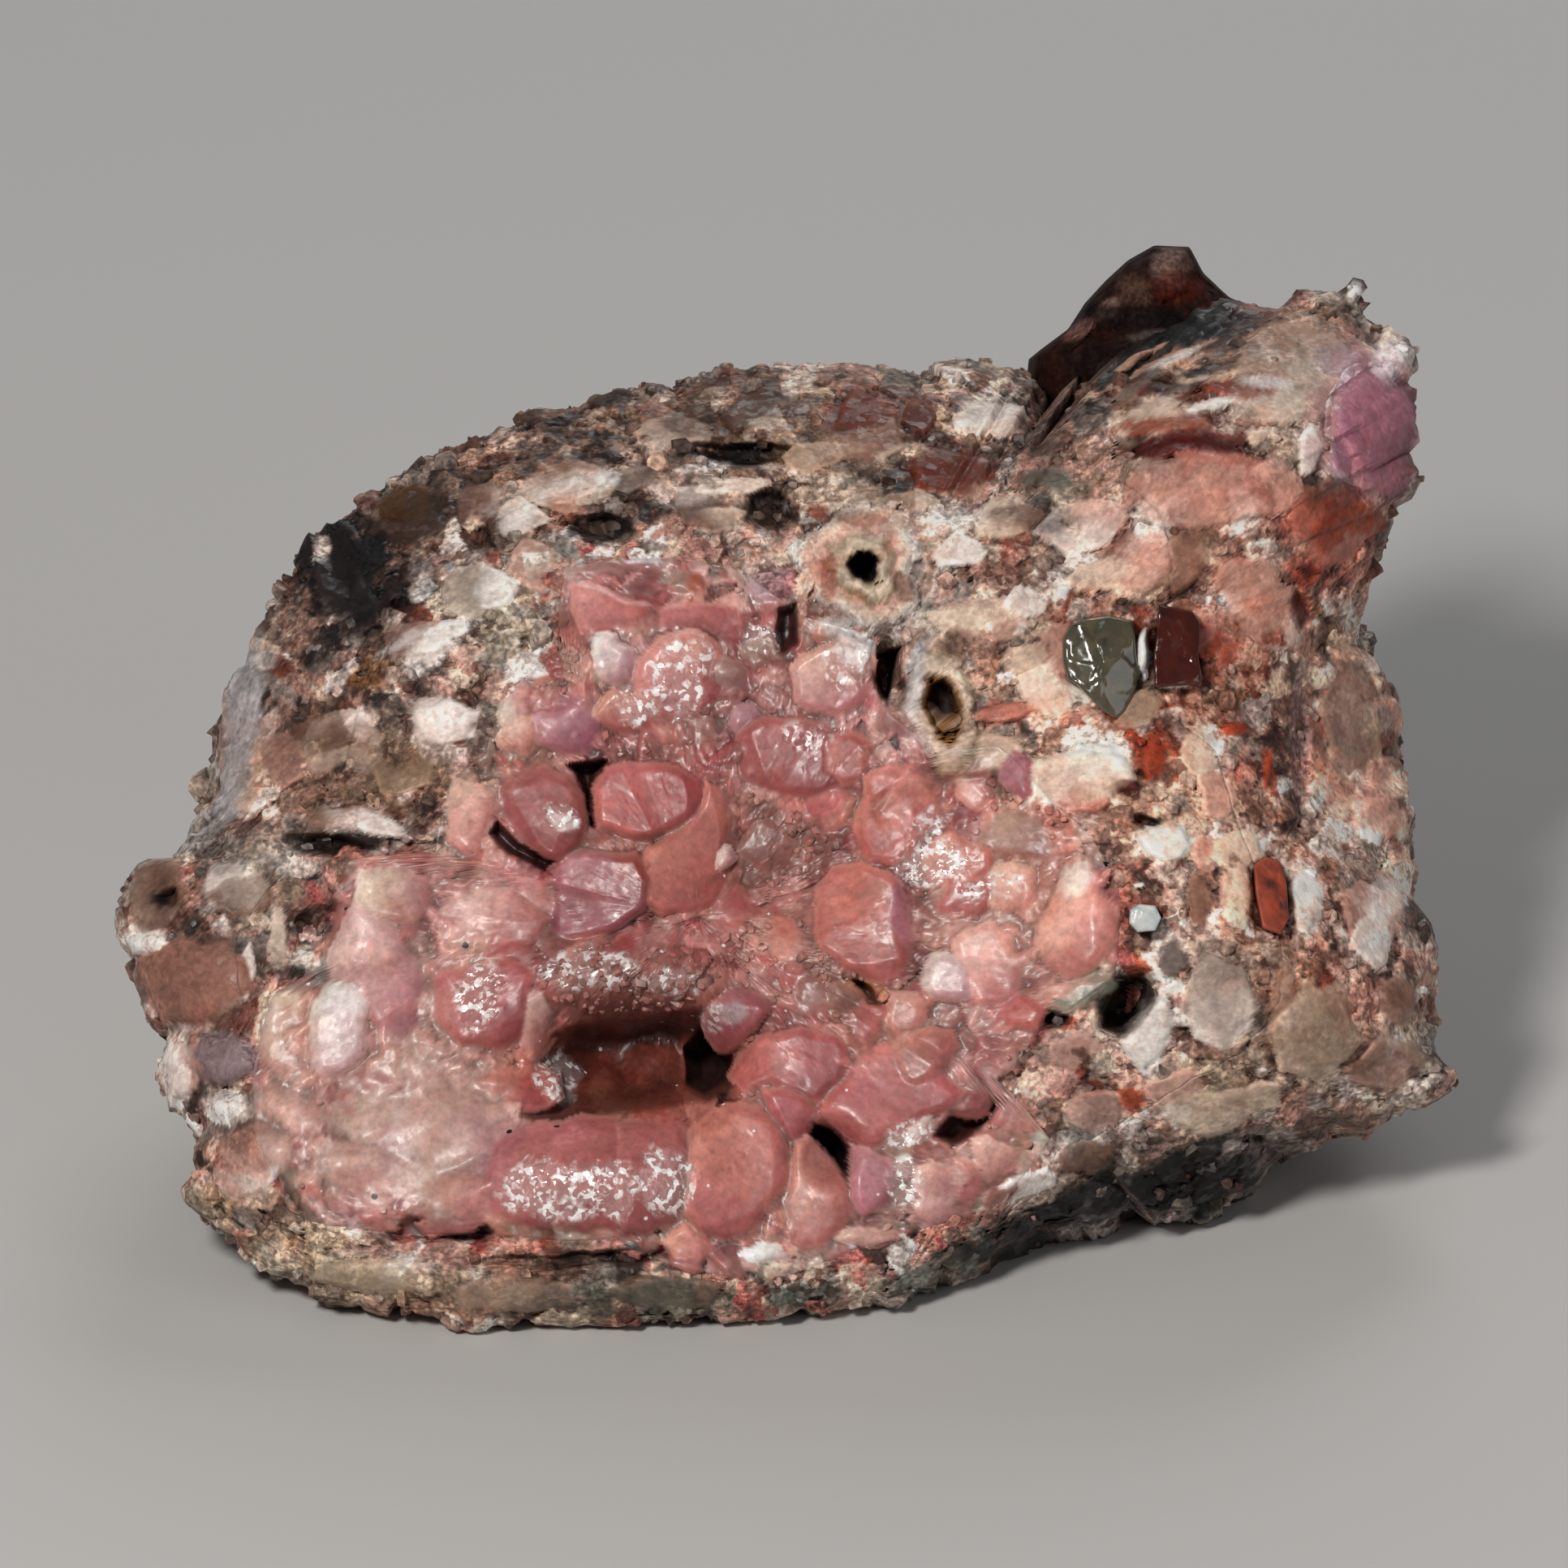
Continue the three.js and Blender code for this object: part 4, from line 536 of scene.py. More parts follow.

# Patches of the rock's minerals, and painted shade: the shade rows on the underside at the lower
# right, and the dark and black rows in slots, pits, recesses, the tubes' holes and under the peak.
# As in TUBE_PATCHES
PATCHES = [
    (420, 700, 70, 80, -30, "dark", 0.85), (390, 640, 40, 30, -40, "black", 0.7),
    (470, 740, 60, 30, -30, "dark", 0.6), (500, 620, 42, 26, -20, "ochre", 0.8),
    (560, 590, 40, 20, -20, "brown", 0.5), (700, 600, 60, 26, -15, "white", 0.7),
    (740, 650, 44, 18, -10, "black", 0.9), (640, 620, 40, 24, -10, "white", 0.5),
    (590, 720, 60, 40, 0, "grey", 0.5), (520, 705, 18, 24, 0, "bluewhite", 0.8),
    (660, 700, 40, 40, 0, "beige", 0.5), (460, 830, 40, 18, -20, "ochre", 0.7),
    (530, 800, 60, 20, -35, "white", 0.6), (620, 780, 50, 40, 0, "beige", 0.6),
    (296, 890, 26, 110, 5, "bluewhite", 0.9), (252, 1010, 30, 50, 30, "bluewhite", 0.7),
    (440, 950, 120, 70, 0, "beige", 0.7), (390, 900, 50, 30, 0, "brown", 0.4),
    (548, 890, 44, 34, 0, "white", 0.85), (380, 960, 40, 30, 0, "pinkish", 0.5),
    (470, 1000, 60, 40, -10, "brown", 0.5), (600, 930, 24, 50, 25, "brown", 0.7),
    (455, 1012, 60, 16, 15, "white", 0.6), (414, 1042, 58, 15, -8, "dark", 0.95),
    (290, 1050, 60, 30, 0, "grey", 0.6), (200, 1100, 40, 30, 0, "brown", 0.6),
    (203, 1100, 13, 22, 35, "black", 0.9), (175, 1160, 34, 20, 0, "white", 0.6),
    (385, 1085, 30, 10, -20, "black", 0.9), (330, 1110, 60, 40, 0, "beige", 0.4),
    (400, 1135, 60, 34, 0, "maroon", 0.6), (370, 1200, 40, 10, 0, "black", 0.7),
    (345, 1150, 14, 30, 0, "white", 0.6), (245, 1205, 74, 56, 0, "tan", 0.85),
    (240, 1282, 34, 28, 0, "white", 0.6), (275, 1305, 44, 30, 0, "greylilac", 0.85),
    (215, 1330, 24, 50, 0, "white", 0.7), (285, 1360, 30, 26, 0, "white", 0.6),
    (310, 1410, 60, 30, 0, "pinkish", 0.6), (300, 1440, 50, 40, 0, "salmon", 0.5),
    (330, 1480, 60, 20, 0, "brown", 0.5), (260, 1480, 40, 24, 0, "beige", 0.6),
    (400, 1550, 100, 40, 15, "beige", 0.7), (560, 1590, 160, 34, 5, "olive", 0.6),
    (545, 1510, 78, 16, -4, "dark", 0.8), (640, 1555, 120, 16, 5, "brown", 0.6),
    (740, 1545, 150, 13, 3, "dark", 0.6), (830, 1592, 160, 26, -3, "green", 0.7),
    (980, 1592, 80, 20, 0, "green", 0.7), (1150, 1562, 80, 24, -20, "green", 0.8),
    (1300, 1475, 130, 40, -25, "shade", 0.95), (1480, 1455, 90, 50, -10, "shade", 0.95),
    (948, 632, 32, 30, 0, "dark", 0.85), (930, 558, 80, 14, -4, "dark", 0.95),
    (870, 520, 60, 20, 0, "brown", 0.6), (980, 500, 80, 16, 0, "grey", 0.6),
    (1060, 500, 46, 34, -20, "rust", 0.7), (1130, 500, 30, 26, 0, "rust", 0.5),
    (1225, 514, 50, 26, -10, "white", 0.8), (1172, 580, 64, 34, -15, "rust", 0.85),
    (1000, 560, 60, 30, 0, "cream", 0.5), (850, 600, 60, 24, 0, "white", 0.5),
    (1170, 640, 60, 20, 0, "white", 0.6), (1060, 620, 60, 20, 0, "cream", 0.6),
    (1065, 697, 74, 78, 0, "cream", 0.7), (1020, 715, 9, 36, 0, "rust", 0.8),
    (1085, 650, 30, 9, 20, "rust", 0.5), (1113, 719, 15, 22, 0, "ochre", 0.9),
    (1065, 697, 20, 25, 0, "black", 1.0), (1065, 770, 60, 18, 0, "white", 0.6),
    (1200, 760, 62, 20, -10, "cream", 0.8), (1125, 850, 12, 80, 15, "bluewhite", 0.6),
    (1163, 880, 15, 38, -8, "ochre", 0.9), (1167, 890, 9, 22, -8, "dark", 0.9),
    (1145, 900, 9, 34, -15, "white", 0.7), (1232, 880, 56, 16, -8, "rust", 0.55),
    (1205, 930, 60, 30, 0, "cream", 0.85), (1290, 850, 50, 40, 0, "cream", 0.5),
    (1215, 700, 30, 14, 0, "rust", 0.5), (1310, 795, 14, 50, 0, "rust", 0.6),
    (1395, 862, 30, 40, 40, "green", 0.6), (1372, 882, 60, 9, 50, "rust", 0.95),
    (1412, 935, 20, 30, 0, "rust", 0.95), (1384, 970, 18, 12, 0, "red", 0.95),
    (1320, 960, 64, 34, 0, "cream", 0.7), (1350, 940, 40, 18, 0, "white", 0.6),
    (1416, 1017, 26, 9, -32, "black", 0.95), (1434, 1037, 38, 26, 0, "white", 0.75),
    (1490, 930, 24, 30, 0, "white", 0.6), (1522, 898, 20, 9, 0, "rust", 0.95),
    (1562, 950, 10, 38, -10, "rust", 0.9), (1530, 960, 24, 40, 0, "salmon", 0.5),
    (1500, 990, 40, 30, 0, "cream", 0.5), (1472, 1110, 22, 36, 0, "brown", 0.8),
    (1520, 1105, 22, 46, 0, "cream", 0.8), (1605, 1105, 22, 44, 0, "white", 0.7),
    (1290, 1250, 32, 15, 0, "dark", 0.85), (1386, 1230, 32, 40, 20, "black", 1.0),
    (1414, 1272, 26, 46, 0, "white", 0.9), (1320, 1212, 50, 28, 0, "green", 0.6),
    (1330, 1285, 50, 30, 0, "grey", 0.5), (1480, 1180, 60, 40, 0, "grey", 0.5),
    (1560, 1230, 18, 60, 0, "brown", 0.6), (1616, 1268, 52, 66, 0, "olive", 0.8),
    (1690, 1230, 50, 60, 0, "pinkish", 0.5), (1390, 1352, 16, 20, 0, "rust", 0.9),
    (1500, 1330, 80, 30, 0, "beige", 0.5), (1560, 1350, 50, 20, 0, "brown", 0.6),
    (1250, 1442, 60, 40, -25, "pale", 0.6), (1330, 1440, 60, 16, -30, "brown", 0.7),
    (1240, 1484, 80, 13, -25, "cream", 0.7), (1440, 370, 110, 60, -10, "dark", 0.9),
    (1340, 420, 60, 44, 0, "dark", 0.95), (1452, 332, 18, 18, 0, "pinkish", 0.6),
    (1600, 400, 50, 30, 0, "cream", 0.6), (1660, 380, 30, 24, 0, "olive", 0.6),
    (1480, 430, 80, 14, -20, "white", 0.5), (1420, 450, 50, 13, -25, "rust", 0.5),
    (1520, 480, 60, 14, -10, "rust", 0.75), (1456, 548, 86, 19, -5, "red", 0.95),
    (1440, 522, 70, 11, -8, "rust", 0.8), (1480, 602, 90, 30, 0, "orange", 0.4),
    (1560, 590, 30, 30, 0, "salmon", 0.6), (1590, 560, 28, 40, 0, "cream", 0.7),
    (1620, 642, 50, 28, 0, "rust", 0.75), (1662, 620, 36, 24, 0, "rust", 0.7),
    (1610, 700, 30, 24, 0, "rust", 0.7), (1300, 600, 50, 24, 0, "green", 0.5),
    (1290, 640, 40, 14, 0, "dark", 0.5), (1340, 560, 50, 30, 0, "pinkish", 0.5),
    (1350, 700, 40, 20, 0, "white", 0.5), (1492, 800, 36, 44, 0, "rust", 0.5),
    (1560, 780, 50, 40, 0, "brown", 0.4), (1580, 740, 30, 20, 0, "rust", 0.5),
    (1670, 880, 50, 80, 0, "grey", 0.6), (1602, 930, 13, 90, 0, "greylilac", 0.5),
    (1690, 980, 40, 30, 0, "pinkish", 0.5), (1700, 1110, 34, 34, 0, "white", 0.5),
    (1650, 690, 46, 50, 0, "orange", 0.8), (1590, 640, 40, 30, 0, "orange", 0.6),
    (1400, 440, 70, 24, -35, "black", 0.85), (1480, 398, 80, 24, -20, "peak", 0.85),
    (1545, 388, 46, 15, 0, "brown", 0.6)]

# Bright grains and painted highlights, laid over the films: as in TUBE_PATCHES
BRIGHT_PATCHES = [
    (394, 674, 9, 20, 0, "white", 0.8), (522, 722, 14, 20, 20, "white", 0.8),
    (556, 700, 9, 10, 0, "bluewhite", 0.7), (700, 600, 36, 11, -16, "white", 0.8),
    (748, 590, 18, 12, 0, "white", 0.8), (640, 640, 30, 10, -20, "white", 0.5),
    (1225, 506, 44, 18, -10, "white", 0.7), (1040, 618, 32, 13, -10, "cream", 0.6),
    (1185, 640, 32, 9, 0, "white", 0.6), (940, 520, 24, 8, 0, "cream", 0.5),
    (860, 576, 34, 8, -8, "white", 0.6), (1020, 588, 40, 8, 6, "cream", 0.6),
    (1100, 560, 30, 8, -30, "cream", 0.6), (820, 600, 30, 8, 0, "white", 0.5),
    (1490, 500, 34, 6, -16, "white", 0.7), (1450, 438, 40, 6, -24, "white", 0.6),
    (1560, 470, 30, 7, 4, "white", 0.7), (500, 790, 40, 10, -30, "white", 0.5),
    (1700, 1112, 20, 24, 0, "white", 0.7), (1690, 1160, 16, 20, 0, "white", 0.6),
    (1414, 1272, 16, 36, 14, "white", 0.7)]

# Patches of the hollow: as in TUBE_PATCHES. The near-black rows are painted shade in the vug and in
# gaps between crystals, and the maroon rows there are partly painted shade
HOLLOW_PATCHES = [
    (790, 1300, 112, 62, 0, "maroon", 0.9), (878, 1330, 34, 40, 0, "shade_red", 1.0),
    (727, 965, 24, 50, 10, "maroon", 1.0), (655, 1052, 36, 14, 30, "maroon", 0.9),
    (1095, 824, 22, 48, -12, "shade_red", 1.0), (972, 776, 22, 32, 0, "maroon", 0.7),
    (1024, 1412, 28, 38, 0, "shade_red", 1.0), (1182, 1380, 36, 20, -30, "maroon", 0.9),
    (770, 1205, 92, 44, 0, "taupe", 0.85), (960, 1050, 76, 56, 0, "taupe", 0.8),
    (1030, 1190, 44, 60, 0, "taupe", 0.6), (1064, 1216, 24, 16, 20, "ochre", 0.7),
    (780, 1062, 34, 18, 0, "rust", 0.7), (520, 1400, 120, 90, 0, "pale", 0.8),
    (600, 1130, 80, 60, 0, "pale", 0.6), (700, 890, 50, 40, 0, "lilac", 0.6),
    (640, 860, 30, 30, 0, "pale", 0.6), (580, 990, 34, 60, 20, "cream", 0.7),
    (415, 1440, 22, 80, 10, "brown", 0.6), (1270, 1080, 60, 40, 0, "salmon", 0.6),
    (1250, 1340, 60, 40, 0, "pinkish", 0.6), (900, 880, 80, 30, -20, "taupe", 0.6),
    (1230, 1140, 120, 110, 0, "pale", 0.5), (480, 1290, 150, 160, 0, "pale", 0.5)]


# Darkest and lightest tint of a surface, and of a grain
TINT_RANGE = (0.003, 0.9)
GRAIN_TINT_RANGE = (0.004, 0.9)


def colour(name):
    """A named colour in linear light."""
    code = COLOURS[name].lstrip("#")
    value = np.array([int(code[i:i + 2], 16) / 255 for i in (0, 2, 4)])
    return np.where(value <= 0.04045, value / 12.92, ((value + 0.055) / 1.055) ** 2.4)


def place(px, py, depth):
    """Picture point plus depth in millimetres along the sight, as a point in metres."""
    px, py, depth = np.broadcast_arrays(px, py, depth)
    across = (px - MIDDLE[0]) * PX
    height = (FLOOR - py) * PX
    point = across[..., None] * ACROSS + height[..., None] * UP + depth[..., None] * AWAY
    return (point - np.array([0, ORIGIN_DEPTH, 0])) * MM


def bearing_table(outline, middle):
    """Bearings and reaches of an outline seen from its middle, for stepping between."""
    points = np.array(outline, float)
    dx = points[:, 0] - middle[0]
    dy = middle[1] - points[:, 1]
    return np.degrees(np.arctan2(dy, dx)), np.hypot(dx, dy)


RIM_TABLE = bearing_table(RIM, MIDDLE)
HOLLOW_TABLE = bearing_table(HOLLOW_EDGE, HOLLOW_MIDDLE)


def reach(table, angle):
    """Reach at an angle in radians, in straight steps between the outline's bearings."""
    return np.interp(np.degrees(angle), table[0], table[1], period=360)


def rim_back(angle):
    """How far the rim is set back at an angle, in straight steps between the table's bearings."""
    pairs = np.array(RIM_BACK)
    return np.interp(np.degrees(angle), pairs[:, 0], pairs[:, 1], period=360)


def bells(forms, px, py):
    """Sum of rise times exp(-(u^2 + v^2)^1.5), u and v measured in half widths and heights."""
    total = np.zeros(np.shape(px))
    for x, y, wide, high, rise in forms:
        total += rise * np.exp(-(((px - x) / wide) ** 2 + ((py - y) / high) ** 2) ** 1.5)
    return total


def turned(px, py, x, y, wide, high, degrees):
    """Distance from a turned ellipse's middle, 1 on its edge."""
    angle = math.radians(degrees)
    dx = px - x
    dy = py - y
    along = (dx * math.cos(angle) + dy * math.sin(angle)) / wide
    over = (dy * math.cos(angle) - dx * math.sin(angle)) / high
    return np.sqrt(along ** 2 + over ** 2)


# Bearings, in radians, that the rim is evened over, and the share outwards where its own jags begin
EVEN = (-0.12, -0.06, 0, 0.06, 0.12)
JAGS_FROM = 0.9
JAGS_SPAN = 0.1


def body_depth(px, py):
    """Leaning face plus a set back edge, less a dome and the broad forms."""
    dx = px - MIDDLE[0]
    dy = MIDDLE[1] - py
    angle = np.arctan2(dy, dx)
    far = np.hypot(dx, dy)
    share = np.minimum(far / reach(RIM_TABLE, angle), 1)
    even = np.minimum(far / sum(reach(RIM_TABLE, angle + shift) for shift in EVEN) * len(EVEN), 1)
    share = even + (share - even) * np.clip((share - JAGS_FROM) / JAGS_SPAN, 0, 1)
    dome = BULGE * np.sqrt(1 - share ** 2)
    edge = rim_back(angle) * share ** 6
    return LEAN * (FLOOR - py) * PX + edge - dome - bells(FORMS, px, py) * (1 - share ** 8)


def hollow_share(px, py):
    """Share of the way from the hollow's middle to its edge, at most 1."""
    dx = px - HOLLOW_MIDDLE[0]
    dy = HOLLOW_MIDDLE[1] - py
    return np.minimum(np.hypot(dx, dy) / reach(HOLLOW_TABLE, np.arctan2(dy, dx)), 1)


def floor_depth(px, py):
    """The body's face sunk by a dish, less the hollow's own forms, which fade at its edge."""
    inside = 1 - hollow_share(px, py) ** 2
    fade = np.minimum(1, inside * 3)
    return body_depth(px, py) + HOLLOW_DISH * inside - bells(HOLLOW_FORMS, px, py) * fade


def hashed(cell, seed):
    """Four fixed random numbers from 0 to 1 for each whole-number cell."""
    mixed = (cell[:, 0] * 73856093) ^ (cell[:, 1] * 19349663) ^ (cell[:, 2] * 83492791) ^ (seed * 7919)
    numbers = []
    for _ in range(4):
        mixed = (mixed * 1103515245 + 12345) & 0x7FFFFFFF
        mixed = mixed ^ (mixed >> 13)
        numbers.append((mixed & 0xFFFF) / 65535)
    return np.stack(numbers, axis=1)


def cells(points, size, seed):
    """Cell pattern: for each point the random numbers of its nearest seed, the offset from that
    seed and how much further the second seed is, all in cell sizes."""
    scaled = points / size
    base = np.floor(scaled).astype(np.int64)
    best = np.full(len(points), 9.0)
    second = best.copy()
    numbers = np.zeros((len(points), 4))
    offset = np.zeros((len(points), 3))
    for shift in np.ndindex(3, 3, 3):
        cell = base + np.array(shift) - 1
        random = hashed(cell, seed)
        delta = scaled - (cell + 0.1 + 0.8 * random[:, :3])
        distance = np.linalg.norm(delta, axis=1)
        nearer = distance < best
        second = np.where(nearer, best, np.minimum(second, distance))
        best = np.where(nearer, distance, best)
        numbers[nearer] = hashed(cell[nearer] + 31, seed + 5)
        offset[nearer] = delta[nearer]
    return numbers, offset, second - best


def faceted(points, size, seed, step, tilt, crease):
    """Relief of tilted flats: each cell has its own height and slope, with a crease round it."""
    numbers, offset, gap = cells(points, size, seed)
    slope = (numbers[:, 1:] - 0.5) * 2 * tilt
    height = (numbers[:, 0] - 0.5) * 2 * step + (slope * offset).sum(1)
    return height - crease * np.exp(-(gap / 0.12) ** 2), numbers


def grid_faces(rows, columns):
    """Quads of a grid whose columns close round, with a pole before the first row and after the
    last, facing out where each row runs counterclockwise seen from the first pole."""
    index = 1 + np.arange(rows * columns).reshape(rows, columns)
    right = np.roll(index, -1, axis=1)
    quads = np.stack([index[:-1], index[1:], right[1:], right[:-1]], axis=-1).reshape(-1, 4)
    first = np.stack([np.zeros(columns, int), index[0], right[0]], axis=-1)
    last = np.stack([np.full(columns, rows * columns + 1), right[-1], index[-1]], axis=-1)
    return quads, np.concatenate([first, last])


def build(name, points, quads, triangles, smooth, material, **attributes):
    """Puts whole arrays of points and faces into a mesh, with point attributes beside them."""
    mesh = bpy.data.meshes.new(name)
    count = 4 * len(quads) + 3 * len(triangles)
    mesh.vertices.add(len(points))
    mesh.vertices.foreach_set("co", np.ascontiguousarray(points, np.float32).ravel())
    mesh.loops.add(count)
    corners = np.concatenate([quads.ravel(), triangles.ravel()]).astype(np.int32)
    mesh.loops.foreach_set("vertex_index", corners)
    mesh.polygons.add(len(quads) + len(triangles))
    starts = np.concatenate([np.arange(len(quads)) * 4, 4 * len(quads) + np.arange(len(triangles)) * 3])
    mesh.polygons.foreach_set("loop_start", starts.astype(np.int32))
    mesh.polygons.foreach_set("use_smooth", np.full(len(starts), smooth))
    mesh.update(calc_edges=True)
    mesh.validate()
    for key, values in attributes.items():
        if values.ndim == 2:
            layer = mesh.attributes.new(key, "FLOAT_COLOR", "POINT")
            rgba = np.concatenate([values, np.ones((len(values), 1))], axis=1)
            layer.data.foreach_set("color", rgba.astype(np.float32).ravel())
        else:
            layer = mesh.attributes.new(key, "FLOAT", "POINT")
            layer.data.foreach_set("value", values.astype(np.float32))
    mesh.materials.append(material)
    piece = bpy.data.objects.new(name, mesh)
    bpy.context.scene.collection.objects.link(piece)
    return piece


def normals_of(points):
    """Outward unit normals and cell areas of a closed grid, from its neighbours' differences."""
    along = np.roll(points, -1, axis=1) - np.roll(points, 1, axis=1)
    down = np.gradient(points, axis=0)
    cross = np.cross(down, along)
    size = np.linalg.norm(cross, axis=2)
    return cross / np.maximum(size, 1e-15)[..., None], size


def paint(tint, px, py, patches, wobble):
    """Lays each patch over the tint, its edge shifted by a wobble."""
    for x, y, wide, high, degrees, name, strength in patches:
        away = turned(px, py, x, y, wide, high, degrees) + wobble
        mask = strength * np.clip((1.15 - away) / 0.45, 0, 1)
        tint = tint + mask[:, None] * (colour(name) - tint)
    return tint


def shaded_and_toned(px, py):
    """What the films of painted shade and tone leave of each colour: a product of shares, each fading
    out past its ellipse.
    """
    left = np.ones((len(px), 3))
    for x, y, wide, high, degrees, share in SHADE_AND_TONE_FILMS:
        cover = np.exp(-turned(px, py, x, y, wide, high, degrees) ** 4)
        left *= 1 - cover[:, None] * (1 - np.array(share))
    return left


# Colours of the rock and their shares
MATRIX_MIX = [("cream", 0.2), ("pinkish", 0.22), ("brown", 0.2), ("white", 0.14), ("grey", 0.1),
              ("dark", 0.08), ("rust", 0.06)]


def matrix_mix(numbers):
    """Picks one of the rock's colours for each random number, by the colours' shares."""
    steps = np.cumsum([share for _, share in MATRIX_MIX])
    choice = np.minimum(np.searchsorted(steps, numbers), len(MATRIX_MIX) - 1)
    return np.array([colour(name) for name, _ in MATRIX_MIX])[choice]


# Cells of colour on the back, in metres, and how much darker it is than the front
BACK_CELLS = {"wide": 3.0 * MM, "fine": 1.25 * MM}
BACK_DARKER = np.array([0.8, 0.78, 0.74])


def back_tint(points):
    """Colour of the back: two sizes of cells pick from the mix, a little darker than the front."""
    wide, _, _ = cells(points, BACK_CELLS["wide"], 3)
    fine, _, gap = cells(points, BACK_CELLS["fine"], 8)
    tint = (0.4 * matrix_mix(wide[:, 0]) + 0.6 * matrix_mix(fine[:, 0])) * BACK_DARKER
    shade = (0.72 + 0.5 * fine[:, 2]) * (1 - 0.35 * np.exp(-(gap / 0.08) ** 2))
    return np.clip(tint * shade[:, None], *TINT_RANGE)


def back_points(angle, swing):
    """The back: from the rim (swing 0) to the rearmost point (a quarter turn) on a squared dome."""
    blend = np.minimum(swing / 0.6, 1)
    near = reach(RIM_TABLE, angle)
    wide = sum(reach(RIM_TABLE, angle + shift) for shift in (-0.5, -0.25, 0.25, 0.5)) / 4
    far = near + (np.minimum(wide, near * 1.1) - near) * blend
    py = MIDDLE[1] - far * np.sin(angle)
    px = MIDDLE[0] + far * np.cos(angle)
    middle = place(MIDDLE[0], MIDDLE[1], MIDDLE_DEPTH)
    rim = place(px, py, LEAN * (FLOOR - py) * PX + rim_back(angle))
    inward = (np.cos(swing) ** BACK_SQUARE)[..., None]
    outward = (np.sin(swing) ** BACK_SQUARE)[..., None]
    return middle + (rim - middle) * inward + BACK_REACH * MM * outward, px, py


def sequence(seed, count):
    """The fixed numbers from 0 to 1 that the solid model's lumps are placed by."""
    numbers = []
    state = seed
    for _ in range(count):
        state = (state * 1664525 + 1013904223) % 4294967296
        numbers.append(state / 4294967296)
    return numbers


# Lumps on the back: number, random numbers drawn for each, smallest and largest radius, rise, how
# far towards the rim they reach, and the seed
BACK_LUMPS = {"count": 18, "draws": 22, "smallest": 5, "largest": 9, "rise": 1.6, "spread": 0.8,
              "seed": 37}


def back_swells(points):
    """Rounded lumps at even steps of the golden angle over the back."""
    form = BACK_LUMPS
    draws = sequence(form["seed"], form["count"] * form["draws"])
    rise = np.zeros(len(points))
    for i in range(form["count"]):
        swing = (math.pi / 2) * (1 - form["spread"] * math.sqrt((i + 0.5) / form["count"]))
        spot, _, _ = back_points(np.array([i * GOLDEN]), np.array([swing]))
        radius = form["smallest"] + (form["largest"] - form["smallest"]) * draws[i * form["draws"]]
        away = np.linalg.norm(points - spot[0], axis=1) / (radius * MM * 0.9)
        rise = np.maximum(rise, form["rise"] * np.clip(1.2 * (1 - away ** 4), 0, 1))
    return rise


def node(tree, kind, inputs=None, **settings):
    """A new node: its settings, and for each input a value or the socket that feeds it."""
    made = tree.nodes.new(kind)
    for key, value in settings.items():
        setattr(made, key, value)
    for key, value in (inputs or {}).items():
        socket = made.inputs[key]
        if isinstance(value, bpy.types.NodeSocket):
            tree.links.new(value, socket)
        else:
            socket.default_value = value
    return made


def maths(tree, operation, first, second=0.0, clamp=False):
    """Output of a math node."""
    return node(tree, "ShaderNodeMath", {0: first, 1: second}, operation=operation,
                use_clamp=clamp).outputs[0]


def blend_colours(tree, factor, first, second, mode="MIX"):
    """Output of a colour mix node."""
    made = node(tree, "ShaderNodeMix", data_type="RGBA", blend_type=mode)
    for key, value in (("Factor", factor), ("A", first), ("B", second)):
        socket = [s for s in made.inputs if s.name == key and s.enabled][0]
        if isinstance(value, bpy.types.NodeSocket):
            tree.links.new(value, socket)
        else:
            socket.default_value = value
    return [s for s in made.outputs if s.enabled][0]


def new_group(name, inputs, outputs):
    """An empty shader group with named number, colour or vector sockets."""
    tree = bpy.data.node_groups.new(name, "ShaderNodeTree")
    kinds = {"value": "NodeSocketFloat", "colour": "NodeSocketColor", "vector": "NodeSocketVector"}
    for socket, (kind, default) in inputs.items():
        made = tree.interface.new_socket(socket, in_out="INPUT", socket_type=kinds[kind])
        made.default_value = default
    for socket, kind in outputs.items():
        tree.interface.new_socket(socket, in_out="OUTPUT", socket_type=kinds[kind])
    return tree, node(tree, "NodeGroupInput").outputs, node(tree, "NodeGroupOutput").inputs


def scaled_vector(tree, given):
    """The group's vector times its scale."""
    return node(tree, "ShaderNodeVectorMath", {0: given["Vector"], 3: given["Scale"]},
                operation="SCALE")


def make_scales():
    """Growth scales: cells that each slope their own way, as a height, and a number per cell."""
    tree, given, out = new_group(
        "growth_scales", {"Vector": ("vector", (0, 0, 0)), "Scale": ("value", 1500.0)},
        {"Height": "value", "Number": "value"})
    scaled = scaled_vector(tree, given)
    warp = node(tree, "ShaderNodeTexNoise", {"Vector": scaled.outputs[0], "Scale": 0.7, "Detail": 1.0})
    shifted = node(tree, "ShaderNodeVectorMath", {0: scaled.outputs[0], 1: warp.outputs["Color"]},
                   operation="ADD")
    pattern = node(tree, "ShaderNodeTexVoronoi", {"Vector": shifted.outputs[0], "Scale": 1.0})
    offset = node(tree, "ShaderNodeVectorMath", {0: shifted.outputs[0], 1: pattern.outputs["Position"]},
                  operation="SUBTRACT")
    slope = node(tree, "ShaderNodeVectorMath", {0: pattern.outputs["Color"], 1: (0.5, 0.5, 0.5)},
                 operation="SUBTRACT")
    height = node(tree, "ShaderNodeVectorMath", {0: offset.outputs[0], 1: slope.outputs[0]},
                  operation="DOT_PRODUCT")
    number = node(tree, "ShaderNodeSeparateColor", {0: pattern.outputs["Color"]})
    tree.links.new(height.outputs["Value"], out["Height"])
    tree.links.new(number.outputs[0], out["Number"])
    return tree


